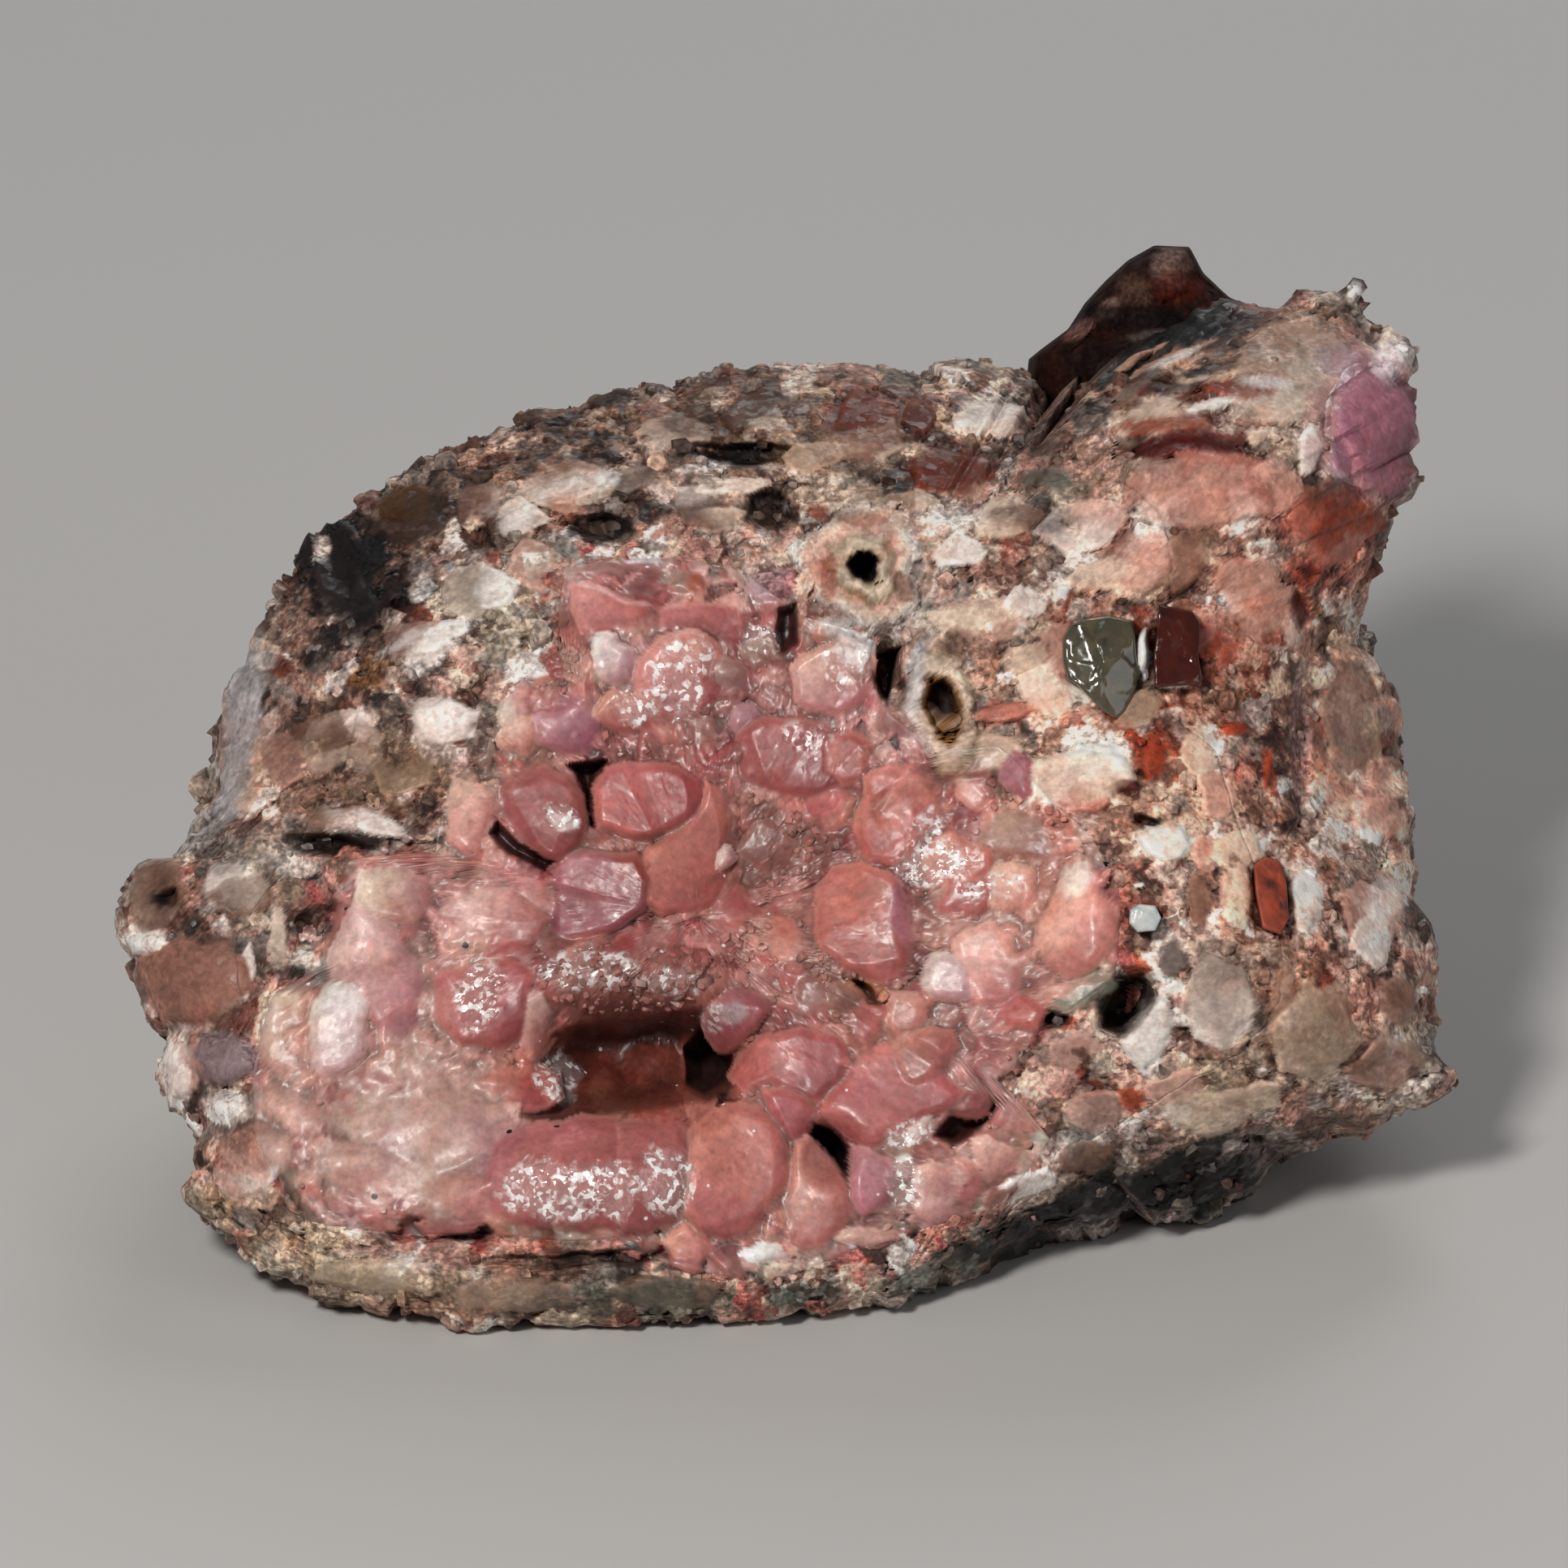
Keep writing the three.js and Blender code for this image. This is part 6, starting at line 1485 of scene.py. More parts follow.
def wave(px, py, size, amount):
    """Shift of a picture point by sines within sines, about a size in pixels across."""
    return amount * np.stack([
        np.sin(px / size + 2 * np.sin(py / size / 1.3)) + 0.6 * np.sin(py / size * 1.9),
        np.sin(py / size * 1.1 + 2 * np.sin(px / size / 1.2)) + 0.6 * np.sin(px / size * 2.1)])


def cell_numbers(base):
    """The surface's three sizes of cells: four random numbers a point, and the fine cells' gaps."""
    wide, middle, fine = (cells(waved(base, size * MM), size * MM, seed)
                          for size, seed in CELLS.values())
    return wide[0], middle[0], fine[0], fine[2]


def ground_tint(wide, middle, fine, inside, rosy):
    """Colour before any block is set in: three sizes of cells pick from the rock's mix and two from
    the hollow's, and the rock is tinged pale near the hollow."""
    names = np.array([colour(name) for name, _ in HOLLOW_MIX])
    large, small = (names[np.minimum((numbers[:, 0] * len(names)).astype(int), len(names) - 1)]
                    for numbers in (wide, middle))
    druse = 0.5 * large + 0.5 * small
    stone = (0.35 * matrix_mix(wide[:, 0]) + 0.4 * matrix_mix(middle[:, 0])
             + 0.25 * matrix_mix(fine[:, 0]))
    blush = np.clip((inside + BLUSH) / BLUSH, 0, 1) * (middle[:, 2] > 0.4)
    stone = stone + (0.5 * blush)[:, None] * (colour("pale") - stone)
    return stone + rosy[:, None] * (druse - stone)


def set_rock(field, px, py, rosy, rough, wobble):
    """Sets in what the rock has, in order: blocks, patches, pits, grains, holes, the edge's and the
    lilac crystals, and the tubes."""
    settle(field, ROCK_FILL, **SETTLING["rock_fill"])
    field["block"][:] = 0
    settle(field, ROCK_FORMS, **SETTLING["rock_forms"])
    painted = paint(field["tint"], px, py, PATCHES, wobble)
    field["tint"] += (1 - rosy)[:, None] * (painted - field["tint"])
    for *place_and_size, down in PITS:
        away = turned(field["wx"], field["wy"], *place_and_size)
        field["height"] -= down * np.exp(-away ** 5)
    settle(field, SET_IN, **SETTLING["set_in"])
    dig(field, ROCK_CAVITIES)
    field["calm"] = np.maximum(1 - rough, BLOCK_CALM * field["block"])
    settle(field, EDGE_ROWS, **SETTLING["edge"])
    settle(field, LILAC_ROWS, **SETTLING["lilac"])
    field["tint"] = paint(field["tint"], px, py, LILAC_PATCHES, wobble)
    for row in TUBES:
        tube(field, row, wobble)
    field["tint"] = paint(field["tint"], field["wx"], field["wy"], TUBE_PATCHES, wobble)


def set_crust(field, px, py, rosy, wobble):
    """Sets in what the hollow has, in order: small blocks, patches, mounds, holes and crystals."""
    settle(field, CRUST_FILL, **SETTLING["crust_fill"])
    painted = paint(field["tint"], px, py, HOLLOW_PATCHES, wobble)
    field["tint"] += rosy[:, None] * (painted - field["tint"])
    settle(field, MOUNDS, **SETTLING["mounds"])
    dig(field, CAVITIES)
    settle(field, LESSER, **SETTLING["lesser"])
    settle(field, MAIN_ROWS, **SETTLING["main"])
    field["tint"] = paint(field["tint"], field["wx"], field["wy"], CRYSTAL_PATCHES, wobble)


def shaded(field, middle, fine, gap):
    """Light and dark by cell, darker in the gaps of the fine cells, and weaker on blocks."""
    shade = (0.84 + 0.2 * middle[:, 2] + 0.14 * fine[:, 2]) * (1 - 0.14 * np.exp(-(gap / 0.1) ** 2))
    return 1 + (shade - 1) * np.where(field["block"] > 0.5, 0.6, 1.0)


def gloss_and_painted_glint(px, py, wobble):
    """How glossy a point is, and how strongly white highlights are painted there: the strongest of
    the listed places.
    """
    gloss = np.zeros(len(px))
    for x, y, wide, high, degrees, strength in GLOSS_AND_PAINTED_GLINTS:
        away = turned(px, py, x, y, wide, high, degrees) + wobble * 0.8
        gloss = np.maximum(gloss, strength * np.clip((1.1 - away) / 0.25, 0, 1))
    return gloss


def lit(field, shade, rosy, shade_and_tone):
    """The tint times its shade, with light along edges, a harder contrast in the rock, most of all
    under films, and the films of painted shade and tone themselves."""
    level = field["tint"].mean(axis=1) * shade * (1 + RIM_LIGHT * field["edge"])
    power = (1 - rosy) * (HARDEN + FILM_HARDEN * (1 - shade_and_tone.mean(axis=1)).clip(0))
    harder = np.clip(level / EVEN_TONE, 0.05, 2.5) ** power
    light = shade * (1 + RIM_LIGHT * field["edge"]) * harder
    return field["tint"] * light[:, None] * shade_and_tone


def surface(px, py):
    """Everything seen from the front, for flat arrays of picture points: height in millimetres over
    the smooth surface, colour, edges and gloss. Rock and crust start as facet layers and cell
    colours. What the tables name is set in, then the films of painted shade and tone multiply the
    colours, and the bright patches, some of them painted highlights, go over them."""
    base = place(px, py, body_depth(px, py))
    count = len(px)
    shift = (wave(px, py, *WOBBLE["coarse"]) + wave(px, py, *WOBBLE["fine"])) * 0.5
    field = {"wx": px + shift[0], "wy": py + shift[1], "edge": np.zeros(count),
             "block": np.zeros(count)}
    wide, middle, fine, gap = cell_numbers(base)
    wobble = ((middle[:, 1] - 0.5) * RAGGED["middle"] + (wide[:, 1] - 0.5) * RAGGED["wide"]
              + (fine[:, 1] - 0.5) * RAGGED["fine"])
    inside = hollow_depth_in(px, py)
    ragged = EDGE_RAGGED["middle"] * (middle[:, 3] - 0.5) + EDGE_RAGGED["wide"] * (wide[:, 3] - 0.5)
    rosy = np.clip(0.5 + (inside + ragged) / EDGE_SOFT, 0, 1)
    rough = calm(px, py)
    rock = layered(base, ROCK_LAYERS, 51) * rough
    crust = layered(base, CRUST_LAYERS, 61) * rough + CRUST_RISE
    field["height"] = rock + rosy * (crust - rock)
    field["tint"] = ground_tint(wide, middle, fine, inside, rosy)
    set_rock(field, px, py, rosy, rough, wobble)
    set_crust(field, px, py, rosy, wobble)
    gloss = gloss_and_painted_glint(px, py, wobble)
    skin = layered(base, SKIN_LAYERS, 71) * rough + gloss * layered(base, SCALE_LAYERS, 81)
    field["height"] += skin
    shade = shaded(field, middle, fine, gap)
    field["tint"] = lit(field, shade, rosy, shaded_and_toned(px, py))
    field["tint"] = paint(field["tint"], px, py, BRIGHT_PATCHES, wobble)
    # The gloss also marks where white glints are painted in the crystals' material
    field["gloss"] = gloss
    field["rosy"] = rosy
    return field


def torus_faces(rows, columns):
    """Quads of a grid that closes round both ways, facing out where its rows go outwards."""
    index = np.arange(rows * columns).reshape(rows, columns)
    below = np.roll(index, -1, axis=0)
    quads = np.stack([index, below, np.roll(below, -1, axis=1), np.roll(index, -1, axis=1)], axis=-1)
    return quads.reshape(-1, 4)


# Steps on a grid to the surroundings that a hollow is measured against, for its painted shade
AROUND = ((5, 0), (-5, 0), (0, 5), (0, -5), (9, 9), (-9, -9), (9, -9), (-9, 9))


def hollows_shaded(field, shape, tone):
    """Painted shade: darkens what lies below the mean height of its surroundings on the grid, towards
    a dark tone.
    """
    height = field["height"].reshape(shape)
    around = sum(np.roll(np.roll(height, i, 0), j, 1) for i, j in AROUND) / len(AROUND)
    low = np.clip((around - height) / 0.42, 0, 1).ravel()[:, None]
    dark = field["tint"] * 0.4 + 0.2 * colour(tone)
    return np.clip(field["tint"] + HOLLOW_SHADE * low * (dark - field["tint"]), *TINT_RANGE)


def hollow_reach(angle):
    """Distance from the picture's middle to the hollow's edge, found on each bearing in small steps,
    with its jumps smoothed inwards."""
    steps = np.arange(60, 900, 2.0)
    px = MIDDLE[0] + steps[:, None] * np.cos(angle)
    py = MIDDLE[1] - steps[:, None] * np.sin(angle)
    inside = hollow_depth_in(px, py) > 0
    found = (inside * steps[:, None]).max(0)
    span = range(-EASE, EASE + 1)
    least = np.min([np.roll(found, i) for i in span], axis=0)
    return np.mean([np.roll(least, i) for i in span], axis=0)


def surface_data(points, normal, area, px, py, tint, bare):
    """What grains need of a surface: flat arrays, and where it is open to them."""
    return {"body": points.reshape(-1, 3), "normal": normal.reshape(-1, 3), "area": area.ravel(),
            "px": px.ravel(), "py": py.ravel(), "tint": tint, "open": bare}


def ring_rows(angle, first, last):
    """Rows between two shares of the way from the hollow to the rim: the shares, picture points and
    places on the smooth surface. Only the outermost rows take on the rim's jags."""
    rim = reach(RIM_TABLE, angle)
    even_rim = sum(reach(RIM_TABLE, angle + shift) for shift in EVEN) / len(EVEN)
    inner = hollow_reach(angle) - TUCK
    share = np.linspace(first, last, FRONT_GRID["rows"])[:, None]
    along = 1 - (1 - share) ** 1.15
    reaches = inner + (even_rim - inner) * along + (rim - even_rim) * along ** 4
    px = MIDDLE[0] + reaches * np.cos(angle)
    py = MIDDLE[1] - reaches * np.sin(angle)
    smooth = np.where(hollow_depth_in(px, py) > 0, floor_depth(px, py), body_depth(px, py))
    return share, px, py, place(px, py, smooth)


def backward(turned_away, limits):
    """How far a place takes the look of the back: 0 to 1 as it turns away past the limits."""
    start, span = limits
    return np.clip((turned_away + start) / span, 0, 1)


def closed_behind(points, hidden_reach):
    """A ring's rows with hidden rows added, which run back behind its face to its first row."""
    back = np.linspace(hidden_reach, 0, FRONT_GRID["hidden"])[:, None, None]
    hidden = points[:1] + (points[-1:] - points[:1]) * back + AWAY * HIDDEN_BACK * MM
    mesh = np.concatenate([points, hidden])
    mesh[..., 2] = np.maximum(mesh[..., 2], 0)
    return mesh


def rock_rings():
    """Front of the rock as two closed rings: from the hollow's edge halfway to the rim, and from
    there round the rim. Each ring closes behind the face."""
    size = FRONT_GRID
    angle = np.linspace(0, 2 * np.pi, size["around"], endpoint=False)
    swing = WRAP * (np.arange(1, size["wrap"] + 1)[:, None] / size["wrap"]) ** 1.3
    wrap, wrap_x, wrap_y = back_points(np.broadcast_to(angle, (size["wrap"], len(angle))), swing)
    kept = []
    for name, first, last, hidden_reach in RINGS:
        share, px, py, points = ring_rows(angle, first, last)
        if last == 1:
            points = np.concatenate([points, wrap])
            px = np.concatenate([px, wrap_x])
            py = np.concatenate([py, wrap_y])
            share = np.concatenate([share, np.ones((size["wrap"], 1))])
        field = surface(px.ravel(), py.ravel())
        normal, area = normals_of(points)
        outward = share[..., None] ** 12
        push = -AWAY * (1 - outward) + normal * outward
        height = field["height"].reshape(px.shape)
        inside = hollow_depth_in(px, py)
        sunk = SINK * np.clip(inside / 16, 0, 1) + 0.05 * (inside > 0)
        turned_away = (normal * AWAY).sum(axis=2)
        side = backward(turned_away, SIDE_SHAPE) * calm(px, py)
        flat = points.reshape(-1, 3)
        behind = BACK_ROUGH * layered(flat, ROCK_LAYERS, 51).reshape(px.shape)
        height = height + side * (behind - height)
        if last == 1:
            height[-size["wrap"]:] -= WRAP_SINK * np.linspace(-1, 1, size["wrap"])[:, None].clip(0)
        tint = hollows_shaded(field, px.shape, "dark")
        side = backward(turned_away, SIDE_COLOUR) * calm(px, py)
        # Films of painted shade and tone, as in surface
        shade_and_tone = shaded_and_toned(px.ravel(), py.ravel())
        tint = tint + side.ravel()[:, None] * (back_tint(flat) * shade_and_tone ** 0.5 - tint)
        field["calm"] = field["calm"] * (1 - side.ravel())
        points = points + push * ((height - sunk) * MM)[..., None]
        mesh = closed_behind(points, hidden_reach)
        extra = size["hidden"] * size["around"]
        rows = len(mesh)
        seen = np.repeat(np.arange(rows) < rows - size["hidden"] - 1, size["around"])
        faces = torus_faces(rows, size["around"])
        give(build(name, mesh.reshape(-1, 3), faces, np.zeros((0, 3), int), seen, MATRIX,
                   tint=np.concatenate([tint, tint[:extra]]),
                   calm=np.concatenate([field["calm"], np.zeros(extra)])), "matrix_rock")
        bare = (field["rosy"] < 0.5) & (inside.ravel() < 0) & (field["block"] < 0.5)
        kept.append(surface_data(points, normal, area, px, py, tint,
                                 bare & (shade_and_tone.mean(axis=1) > OPEN_FILM)))
    return {key: np.concatenate([part[key] for part in kept]) for key in kept[0]}


def crust_piece():
    """The hollow's crust as one closed lens: rows of the surface out to the hollow's edge, an edge sunk
    under the rock's face, and a hidden back inside the rock."""
    size = CRUST_GRID
    angle = np.linspace(0, 2 * np.pi, size["around"], endpoint=False)
    edge = reach(HOLLOW_TABLE, angle)
    inner = edge * np.linspace(0, 1, size["rows"] + 1)[1:, None]
    reaches = np.concatenate([inner, edge + np.array([[out] for out, _ in OVERLAP])])
    px = HOLLOW_MIDDLE[0] + reaches * np.cos(angle)
    py = HOLLOW_MIDDLE[1] - reaches * np.sin(angle)
    smooth = np.where(reaches > edge, body_depth(px, py), floor_depth(px, py))
    field = surface(px.ravel(), py.ravel())
    out, down = zip((0, 0), *OVERLAP)
    sunk = np.interp(reaches - edge, out, down)
    points = place(px, py, smooth - field["height"].reshape(px.shape) + sunk)
    tint = hollows_shaded(field, px.shape, "shade_red")
    hidden_reach = reaches[-1:] * np.linspace(1, 0.2, size["hidden"])[:, None]
    hidden_x = HOLLOW_MIDDLE[0] + hidden_reach * np.cos(angle)
    hidden_y = HOLLOW_MIDDLE[1] - hidden_reach * np.sin(angle)
    hidden = place(hidden_x, hidden_y, body_depth(hidden_x, hidden_y) + CRUST_THICK)
    middle = np.array([float(HOLLOW_MIDDLE[0])]), np.array([float(HOLLOW_MIDDLE[1])])
    top = place(*middle, floor_depth(*middle) - surface(*middle)["height"])
    mesh = np.concatenate([top, points.reshape(-1, 3), hidden.reshape(-1, 3),
                           place(*middle, body_depth(*middle) + CRUST_THICK)])
    mesh[:, 2] = np.maximum(mesh[:, 2], CRUST_LOWEST * MM)
    unseen = size["hidden"] * size["around"] + 1
    data = {key: np.concatenate([values[:1], values, np.zeros((unseen, *values.shape[1:]))])
            for key, values in (("tint", tint), ("edge", field["edge"]), ("gloss", field["gloss"]))}
    quads, triangles = grid_faces(len(points) + size["hidden"], size["around"])
    seen = np.repeat(np.arange(len(points) + size["hidden"] - 1) < len(points) - 1, size["around"])
    seen = np.concatenate([seen, np.arange(len(triangles)) < len(triangles) / 2])
    give(build("rose_crust", mesh, quads, triangles, seen, ROSE, **data),
         "rose_crystal_crust")
    normal, area = normals_of(points)
    bare = (field["block"] < 0.5) & (field["height"] > -0.5) & (reaches < edge).ravel()
    return surface_data(points, normal, area, px, py, tint, bare)


def lilac_piece():
    """The lilac cluster: a closed lens just over the same surface, sunk at its edge."""
    size = LILAC_GRID
    angle = np.linspace(0, 2 * np.pi, size["around"], endpoint=False)
    edge = reach(bearing_table(LILAC_EDGE, LILAC_MIDDLE), angle)
    share = np.linspace(0, 1, size["rows"] + 1)[1:, None]
    spread = np.concatenate([share, np.linspace(0.98, 0.2, size["hidden"])[:, None]])
    px = LILAC_MIDDLE[0] + spread * edge * np.cos(angle)
    py = LILAC_MIDDLE[1] - spread * edge * np.sin(angle)
    px, py = (np.concatenate([[middle], values.ravel(), [middle]])
              for middle, values in zip(LILAC_MIDDLE, (px, py)))
    field = surface(px, py)
    at_edge = np.clip((share[:, 0] - 0.8) / 0.2, 0, 1) * LILAC_SINK
    sunk = np.concatenate([[0], np.repeat(at_edge, size["around"])])
    over = np.full(len(px), -LILAC_THICK)
    own = layered(place(px, py, body_depth(px, py)), LILAC_LAYERS, 91).clip(-LILAC_OVER)
    over[:len(sunk)] = (field["height"] + own)[:len(sunk)] + LILAC_OVER - sunk
    quads, triangles = grid_faces(size["rows"] + size["hidden"], size["around"])
    give(build("lilac_crystals", place(px, py, body_depth(px, py) - over), quads, triangles, True,
               LILAC, tint=np.clip(field["tint"], *TINT_RANGE), edge=field["edge"],
               gloss=field["gloss"]), "lilac_crystal_cluster")


def rock_back():
    """Back of the rock: the squared dome from just inside the rim, closed through its middle."""
    size = BACK_GRID
    angle = np.linspace(0, 2 * np.pi, size["around"], endpoint=False)
    swing = np.linspace(WRAP * 0.6, np.pi / 2, size["rows"] + 1)[:-1, None]
    points, px, py = back_points(np.broadcast_to(angle, (size["rows"], len(angle))), swing)
    middle = place(*MIDDLE, MIDDLE_DEPTH)
    points = middle + (points - middle) * BACK_IN
    normal, _ = normals_of(points)
    flat = points.reshape(-1, 3)
    height = (BACK_ROUGH * layered(flat, ROCK_LAYERS, 51) + back_swells(flat)).reshape(px.shape)
    height *= np.minimum(1, (swing - WRAP * 0.6) / 0.1)
    points = points + normal * (height * MM)[..., None]
    points[..., 2] = np.maximum(points[..., 2], 0)
    tint = back_tint(points.reshape(-1, 3))
    inner = place(*BACK_INNER)
    mesh = np.concatenate([inner[None], points.reshape(-1, 3), (middle + BACK_REACH * MM)[None]])
    quads, triangles = grid_faces(len(points), size["around"])
    tint = np.concatenate([tint[:1], tint, tint[-1:]])
    give(build("rock_back", mesh, quads, triangles, True, MATRIX, tint=tint), "matrix_rock")
    normal, area = normals_of(points)
    return surface_data(points, normal, area, px, py, tint[1:-1], np.ones(px.size, bool))


# Blocks with a piece of their own: grids, the step in pixels that a surface's slope is taken over,
# the share of it that a block follows, how far its sides spread, and their three rows
MAIN_GRID = {"around": 84, "rings": 18}
PEAK_GRID = {"around": 160, "rings": 40}
SLOPE_STEP = 25
FOLLOW = 0.85
SIDE_SPREAD = 0.05
SIDE_ROWS = {"spread": np.array([0.3, 0.7, 1.0]), "sink": np.array([0.35, 0.75, 1.0])}


def walk(outline, count):
    """Even steps along the straight sides of a closed outline."""
    closed = np.concatenate([outline, outline[:1]])
    length = np.concatenate([[0], np.cumsum(np.linalg.norm(np.diff(closed, axis=0), axis=1))])
    steps = np.linspace(0, length[-1], count, endpoint=False)
    return np.stack([np.interp(steps, length, closed[:, i]) for i in range(2)], axis=1)


def block(outline, rise, slopes, facets, ground, grid, bevel, sunk, dome=0.0):
    """Block standing on a ground, given as a depth at each picture point: its top
    is a plane that loses height along its slopes, past each facet's start and by a low dome, its
    edge is a quarter round, and its sides spread a little down to a foot behind the ground.
    Returns points and picture points."""
    around, rings = grid["around"], grid["rings"]
    outline = np.array(outline, float)
    edge = walk(outline, around)
    middle = edge.mean(0)
    if np.cross(edge[0] - middle, edge[around // 8] - middle) > 0:
        edge = edge[::-1]
    size = np.linalg.norm(edge - middle, axis=1).mean()
    share = np.concatenate([1 - (1 - np.arange(1, rings + 1) / rings) ** 1.6, np.ones(3)])
    spread = share + np.concatenate([np.zeros(rings), SIDE_SPREAD * SIDE_ROWS["spread"]])
    flat = middle + spread[:, None, None] * (edge - middle)
    dx = (flat[..., 0] - middle[0]) * PX
    dy = (flat[..., 1] - middle[1]) * PX
    drop = slopes[0] * dx + slopes[1] * dy + dome * share[:, None] ** 2
    for bearing, start, slope in facets:
        turn = math.radians(bearing)
        along = dx * math.cos(turn) - dy * math.sin(turn) - start * PX
        drop += slope * (along + np.sqrt(along ** 2 + 0.01)) / 2
    round_from = 1 - bevel / size
    into = np.clip((share - round_from) / (1 - round_from), 0, 1)[:, None]
    drop += bevel * PX * (1 - np.sqrt(1 - into ** 2))
    x, y = float(middle[0]), float(middle[1])
    right = (ground(x + SLOPE_STEP, y) - ground(x - SLOPE_STEP, y)) / (2 * SLOPE_STEP * PX)
    down = (ground(x, y + SLOPE_STEP) - ground(x, y - SLOPE_STEP)) / (2 * SLOPE_STEP * PX)
    base = ground(x, y) + FOLLOW * (right * dx + down * dy)
    depth = base - rise + drop
    sink = SIDE_ROWS["sink"][:, None]
    depth[rings:] = depth[rings:] * (1 - sink) + (base[rings:] + sunk) * sink
    points = place(flat[..., 0], flat[..., 1], depth).reshape(-1, 3)
    front = place(x, y, ground(x, y) - rise)
    back = place(x, y, ground(x, y) + sunk)
    ends = np.array([[x, y]])
    picture = np.concatenate([ends, flat.reshape(-1, 2), ends])
    return np.concatenate([front[None], points, back[None]]), picture


def block_piece(name, row, ground, material, seed, grid, patches, relief, **shape):
    """One block as a piece. Its row is colour, rise, slopes, outline and facets; its tint varies a
    little and takes the patches, and its surface has low facets of its own."""
    tone, rise, slopes, outline, facets = row
    points, picture = block(outline, rise, slopes, facets, ground, grid, **shape)
    tint = np.tile(colour(tone), (len(points), 1)) * np.random.default_rng(seed).uniform(0.88, 1.1)
    soft, numbers = faceted(points, 1.5 * MM, seed, relief, relief, 0.0)
    fine, _ = faceted(points, 0.6 * MM, seed + 1, relief * 0.4, relief * 0.5, 0.0)
    points = points - AWAY * ((soft + fine) * MM)[:, None]
    points[:, 2] = np.maximum(points[:, 2], 0)
    tint = paint(tint, picture[:, 0], picture[:, 1], patches, (numbers[:, 1] - 0.5) * 0.3)
    quads, triangles = grid_faces(grid["rings"] + 3, grid["around"])
    return build(name, points, quads, triangles, True, material, tint=np.clip(tint, *TINT_RANGE))


# Corners of a grain
SLAB_CORNERS = 6


def slabs(name, spots, normals, radius, tints, material, rng, thick):
    """Angular grains: for each spot an uneven six-sided slab with a bevelled top, tilted at random
    from the surface's normal and half sunk. Its foot and lower side are painted darker, as shade in
    a crevice."""
    count = len(spots)
    corners = SLAB_CORNERS
    tilted = normals + rng.normal(0, 0.28, (count, 3))
    tilted /= np.linalg.norm(tilted, axis=1)[:, None]
    aside = np.cross(tilted, rng.normal(size=(count, 3)))
    aside /= np.linalg.norm(aside, axis=1)[:, None]
    other = np.cross(tilted, aside)
    angle = (np.arange(corners) + rng.uniform(-0.32, 0.32, (count, corners))) * 2 * np.pi / corners
    size = rng.uniform(0.72, 1.18, (count, corners)) * radius[:, None]
    long = rng.uniform(0.6, 1.0, (count, 1))
    ring = (np.cos(angle) * size)[..., None] * aside[:, None] + (np.sin(angle) * size * long)[
        ..., None] * other[:, None]
    deep = (radius * thick)[:, None, None] * tilted[:, None]
    skew = rng.normal(0, 0.12, (count, 1, 3)) * radius[:, None, None]
    top = ring * rng.uniform(0.6, 0.84, (count, 1, 1)) + deep + skew
    rings = [ring * 0.9 - deep * 1.6, ring + deep * 0.35, top]
    points = np.concatenate([spots[:, None] - deep * 1.6] + [spots[:, None] + part for part in rings]
                            + [spots[:, None] + deep * 1.03 + skew], axis=1)
    points[..., 2] = np.maximum(points[..., 2], 0)
    a = np.arange(corners)
    b = (a + 1) % corners
    faces = [np.stack([0 * a, 1 + b, 1 + a], axis=1)]
    for level in (1, 1 + corners):
        faces.append(np.stack([level + a, level + b, level + corners + b], axis=1))
        faces.append(np.stack([level + a, level + corners + b, level + corners + a], axis=1))
    top = 1 + 2 * corners
    faces.append(np.stack([top + a, top + b, 0 * a + top + corners], axis=1))
    faces = np.concatenate(faces)
    each = 2 + 3 * corners
    triangles = (faces[None] + each * np.arange(count)[:, None, None]).reshape(-1, 3)
    # Painted shade: the foot and lower side of each grain are darker, as in a crevice
    dim = np.concatenate([np.full(1 + corners, 0.25), np.full(corners, 0.75), np.ones(corners + 1)])
    tint = (tints[:, None] * dim[None, :, None]).reshape(-1, 3)
    edge = np.concatenate([np.zeros(1 + corners), np.ones(corners), np.full(corners, 0.3), [0]])
    return build(name, points.reshape(-1, 3), np.zeros((0, 4), int), triangles, False, material,
                 tint=tint, edge=np.tile(edge, count))


def scatter(ground, count, rng, keep):
    """Random spots on a surface, chosen by area among the points that may keep one."""
    weight = ground["area"] * keep
    return rng.choice(len(weight), size=count, replace=False, p=weight / weight.sum())


# Grains and the small crystals of the hollow: median radius and its spread, least and most in
# millimetres, and thickness as a share of the radius. Then the grains' names, numbers, seeds and
# shares of a colour of their own; how high over the floor they start, in metres; how many small
# crystals there are and their share outside the druse zones; and the roughness that both need
GRAIN = {"median": 0.34, "spread": 0.45, "least": 0.16, "most": 1.0, "thick": 0.5}
DRUSE = {"median": 0.18, "spread": 0.35, "least": 0.1, "most": 0.35, "thick": 0.7}
FRONT_GRAINS = ("front_grains", 800, 77, 0.15)
BACK_GRAINS = ("back_grains", 1400, 78, 0.5)
GRAINS_FROM = 0.0005
DRUSE_COUNT = 300
DRUSE_ELSEWHERE = 0.05
QUIET = 0.6


def radii(rng, count, kind):
    """Random radii in metres: lognormal, kept between the least and the most."""
    drawn = rng.lognormal(math.log(kind["median"]), kind["spread"], count)
    return np.clip(drawn, kind["least"], kind["most"]) * MM


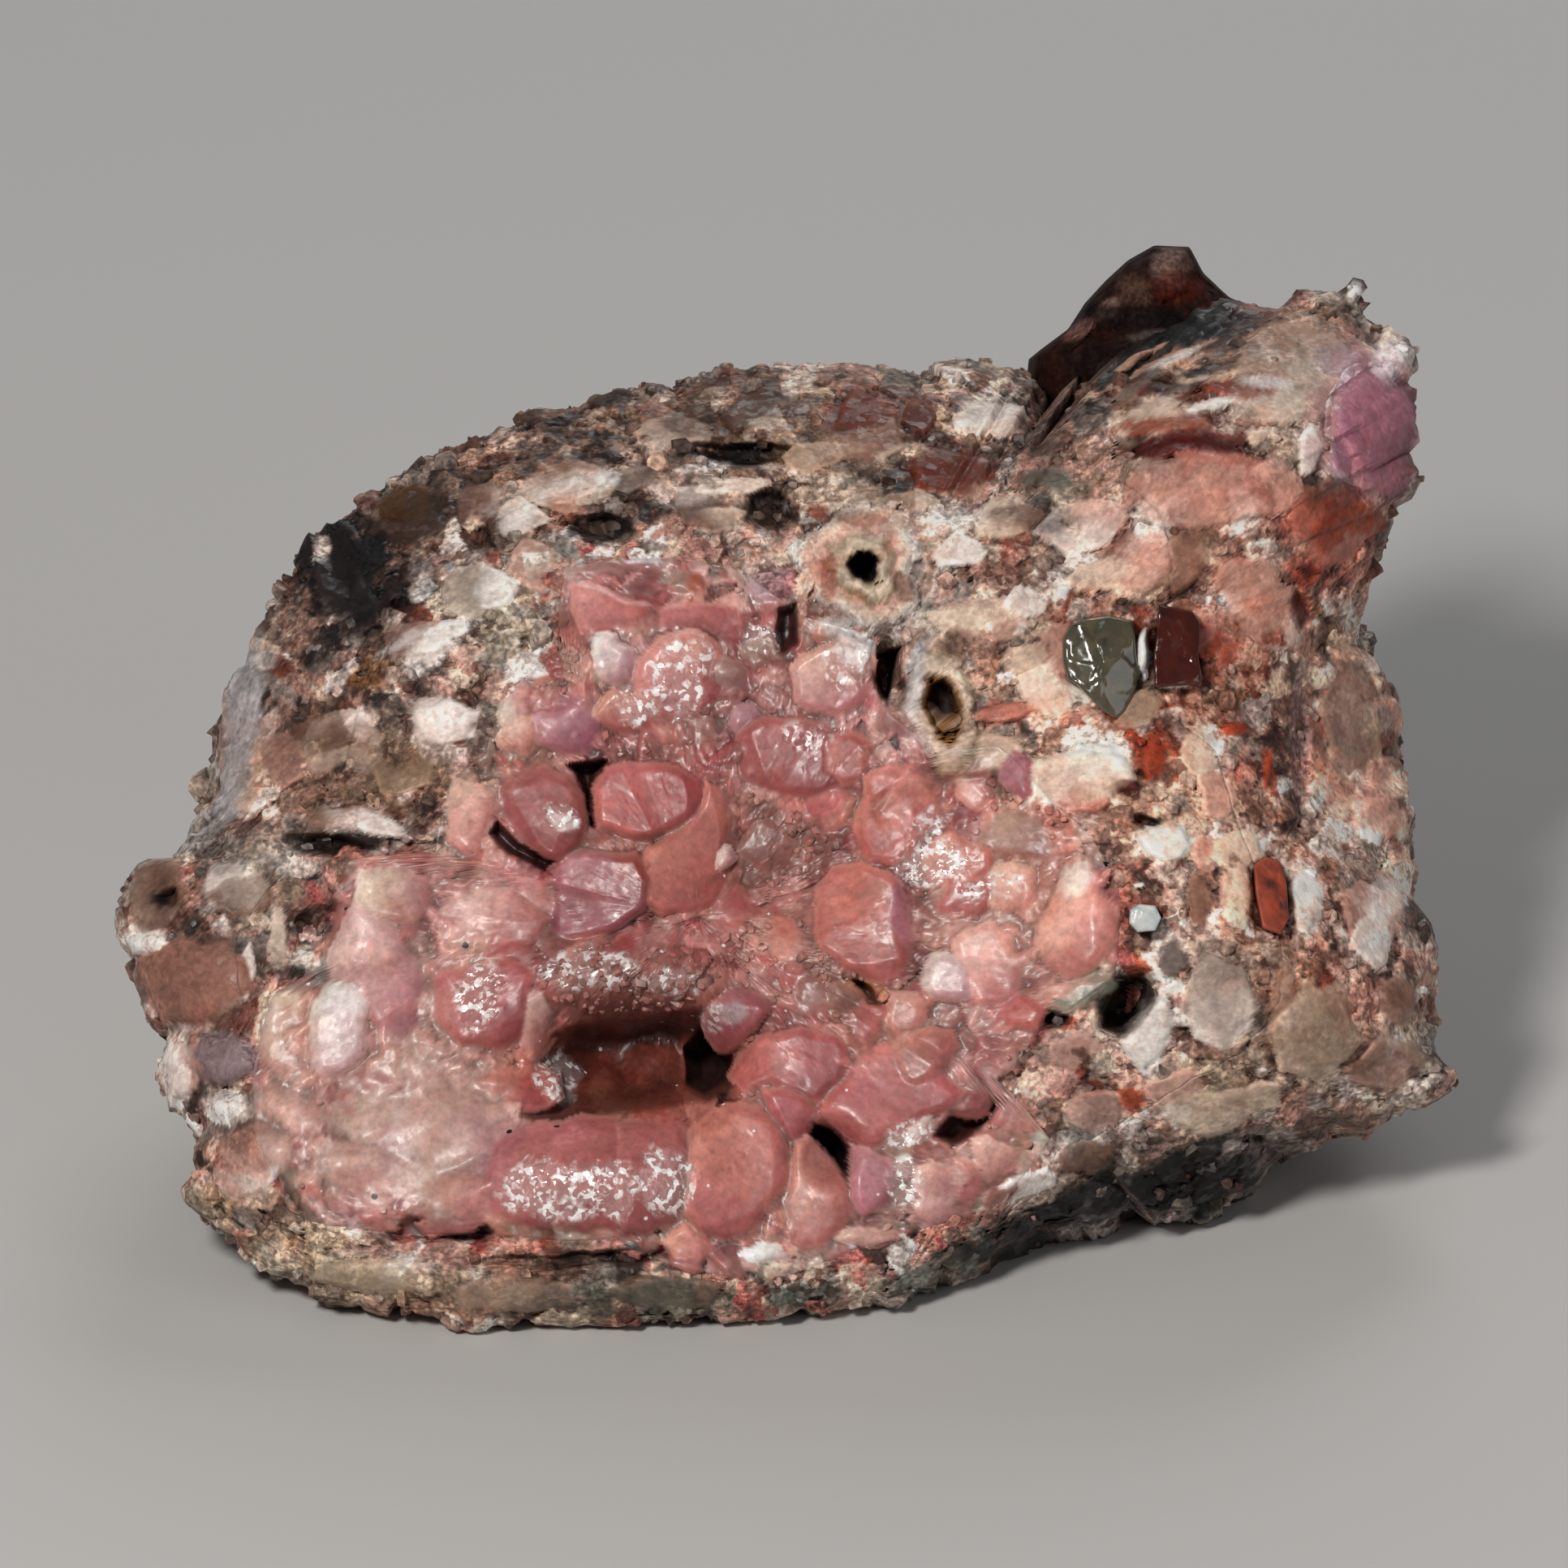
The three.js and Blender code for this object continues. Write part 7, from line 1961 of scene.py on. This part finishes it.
def make_grains(rock, name, count, seed, patchy):
    """Angular grains over a rock surface, but not under the crust or in the smooth zones."""
    rng = np.random.default_rng(seed)
    raised = rock["body"][:, 2] > GRAINS_FROM
    keep = rock["open"] * raised * (calm(rock["px"], rock["py"]) > QUIET)
    chosen = scatter(rock, count, rng, keep)
    radius = radii(rng, count, GRAIN)
    spots = rock["body"][chosen] - rock["normal"][chosen] * (radius * 0.1)[:, None]
    own = matrix_mix(rng.uniform(0, 1, count))
    mixed = (1 - patchy) * rock["tint"][chosen] + patchy * own
    tint = np.clip(mixed * rng.uniform(0.8, 1.3, (count, 1)), *GRAIN_TINT_RANGE)
    give(slabs(name, spots, rock["normal"][chosen], radius, tint, GRAINS, rng, GRAIN["thick"]),
         "matrix_rock")


def make_rear_peak():
    """The dark peak behind the upper edge."""
    row = ("peak", PEAK_RISE, PEAK_SLOPES, PEAK_OUTLINE, PEAK_FACETS)
    give(block_piece("rear_peak", row, lambda x, y: PEAK_DEPTH + PEAK_RISE, PEAK_ROCK, 14, PEAK_GRID,
                     PEAK_PATCHES, 0.2, dome=2.0, bevel=30, sunk=PEAK_BACK), "matrix_rock")


def make_druse(floor):
    """Grains between the crystals, thick in the druse zones."""
    rng = np.random.default_rng(31)
    keep = DRUSE_ELSEWHERE * np.ones(len(floor["area"]))
    for x, y, wide, high in DRUSE_ZONES:
        keep = np.maximum(keep, turned(floor["px"], floor["py"], x, y, wide, high, 0) < 1)
    keep = keep * floor["open"] * (calm(floor["px"], floor["py"]) > QUIET)
    chosen = scatter(floor, DRUSE_COUNT, rng, keep)
    radius = radii(rng, DRUSE_COUNT, DRUSE)
    spots = floor["body"][chosen]
    brightness = rng.uniform(0.85, 1.5, (DRUSE_COUNT, 1))
    tint = np.clip(floor["tint"][chosen] * brightness, *GRAIN_TINT_RANGE)
    give(slabs("small_rose_crystals", spots, floor["normal"][chosen], radius, tint, GROUND, rng,
               DRUSE["thick"]), "rose_crystal_crust")


def make_single_crystals():
    """The four crystals that stand alone in the rock."""
    materials = {"smoke": SMOKY, "redbrown": RED_BROWN, "brick": BRICK, "paleblue": PALE_BLUE}
    for i, (name, slot, replaced, tone, *row) in enumerate(SINGLE_CRYSTALS):
        give(block_piece(name, (tone, *row), body_depth, materials[tone], 60 + i, MAIN_GRID, [],
                         0.05, bevel=4, sunk=0.9), replaced)


# Stage: half width of the floor in metres, its colour, and where the lamps look
FLOOR_HALF = 2.0
FLOOR_COLOUR = (0.5, 0.49, 0.48, 1)
AIM = Vector((0, 0, 0.02))

# Lamps: name, place in metres, watts, size, colour
LAMPS = [
    ("key", (-0.17, -0.42, 0.42), 2.85, 0.1, (1.0, 0.97, 0.93)),
    ("fill", (0.5, -0.35, 0.25), 0.45, 0.3, (0.95, 0.97, 1.0)),
    ("back", (0.1, 0.5, 0.4), 1.2, 0.3, (1.0, 1.0, 1.0))]
STUDIO = {"Color": (0.9, 0.92, 0.95, 1), "Strength": 0.12}


def make_floor():
    """A plain pale floor."""
    mesh = bpy.data.meshes.new("floor")
    corners = [(-1, -1), (1, -1), (1, 1), (-1, 1)]
    mesh.from_pydata([(x * FLOOR_HALF, y * FLOOR_HALF, 0) for x, y in corners], [], [(0, 1, 2, 3)])
    material = bpy.data.materials.new("pale_floor")
    material.use_nodes = True
    shader = material.node_tree.nodes["Principled BSDF"]
    shader.inputs["Base Color"].default_value = FLOOR_COLOUR
    shader.inputs["Roughness"].default_value = 0.9
    mesh.materials.append(material)
    floor = bpy.data.objects.new("floor", mesh)
    bpy.context.scene.collection.objects.link(floor)


def area_light(name, spot, power, size, tone):
    """A square lamp turned towards the specimen."""
    data = bpy.data.lights.new(name, "AREA")
    data.energy = power
    data.size = size
    data.color = tone
    lamp = bpy.data.objects.new(name, data)
    lamp.location = spot
    lamp.rotation_euler = (AIM - Vector(spot)).to_track_quat("-Z", "Y").to_euler()
    bpy.context.scene.collection.objects.link(lamp)


def make_light():
    """Soft studio light: three lamps and a dim even surround."""
    for row in LAMPS:
        area_light(*row)
    world = bpy.data.worlds.new("studio")
    world.use_nodes = True
    for key, value in STUDIO.items():
        world.node_tree.nodes["Background"].inputs[key].default_value = value
    bpy.context.scene.world = world
    bpy.context.scene.view_settings.view_transform = "Standard"


def make_camera():
    """Looks along AWAY at the picture's middle, from where the picture's width fills the sensor."""
    data = bpy.data.cameras.new("camera")
    data.lens = LENS
    data.sensor_width = SENSOR
    data.sensor_fit = "HORIZONTAL"
    distance = LENS / SENSOR * PICTURE * PX * MM
    data.clip_end = 10
    camera = bpy.data.objects.new("camera", data)
    target = place(PICTURE / 2, PICTURE / 2, AIM_DEPTH)
    spot = target - AWAY * distance
    turn = Matrix([ACROSS, UP, -AWAY]).transposed().to_4x4()
    camera.matrix_world = Matrix.Translation(Vector(spot)) @ turn
    bpy.context.scene.collection.objects.link(camera)
    bpy.context.scene.camera = camera


rock = rock_rings()
behind = rock_back()
for ground, row in ((rock, FRONT_GRAINS), (behind, BACK_GRAINS)):
    make_grains(ground, *row)
make_rear_peak()
crust = crust_piece()
make_druse(crust)
lilac_piece()
make_single_crystals()
make_floor()
make_light()
make_camera()
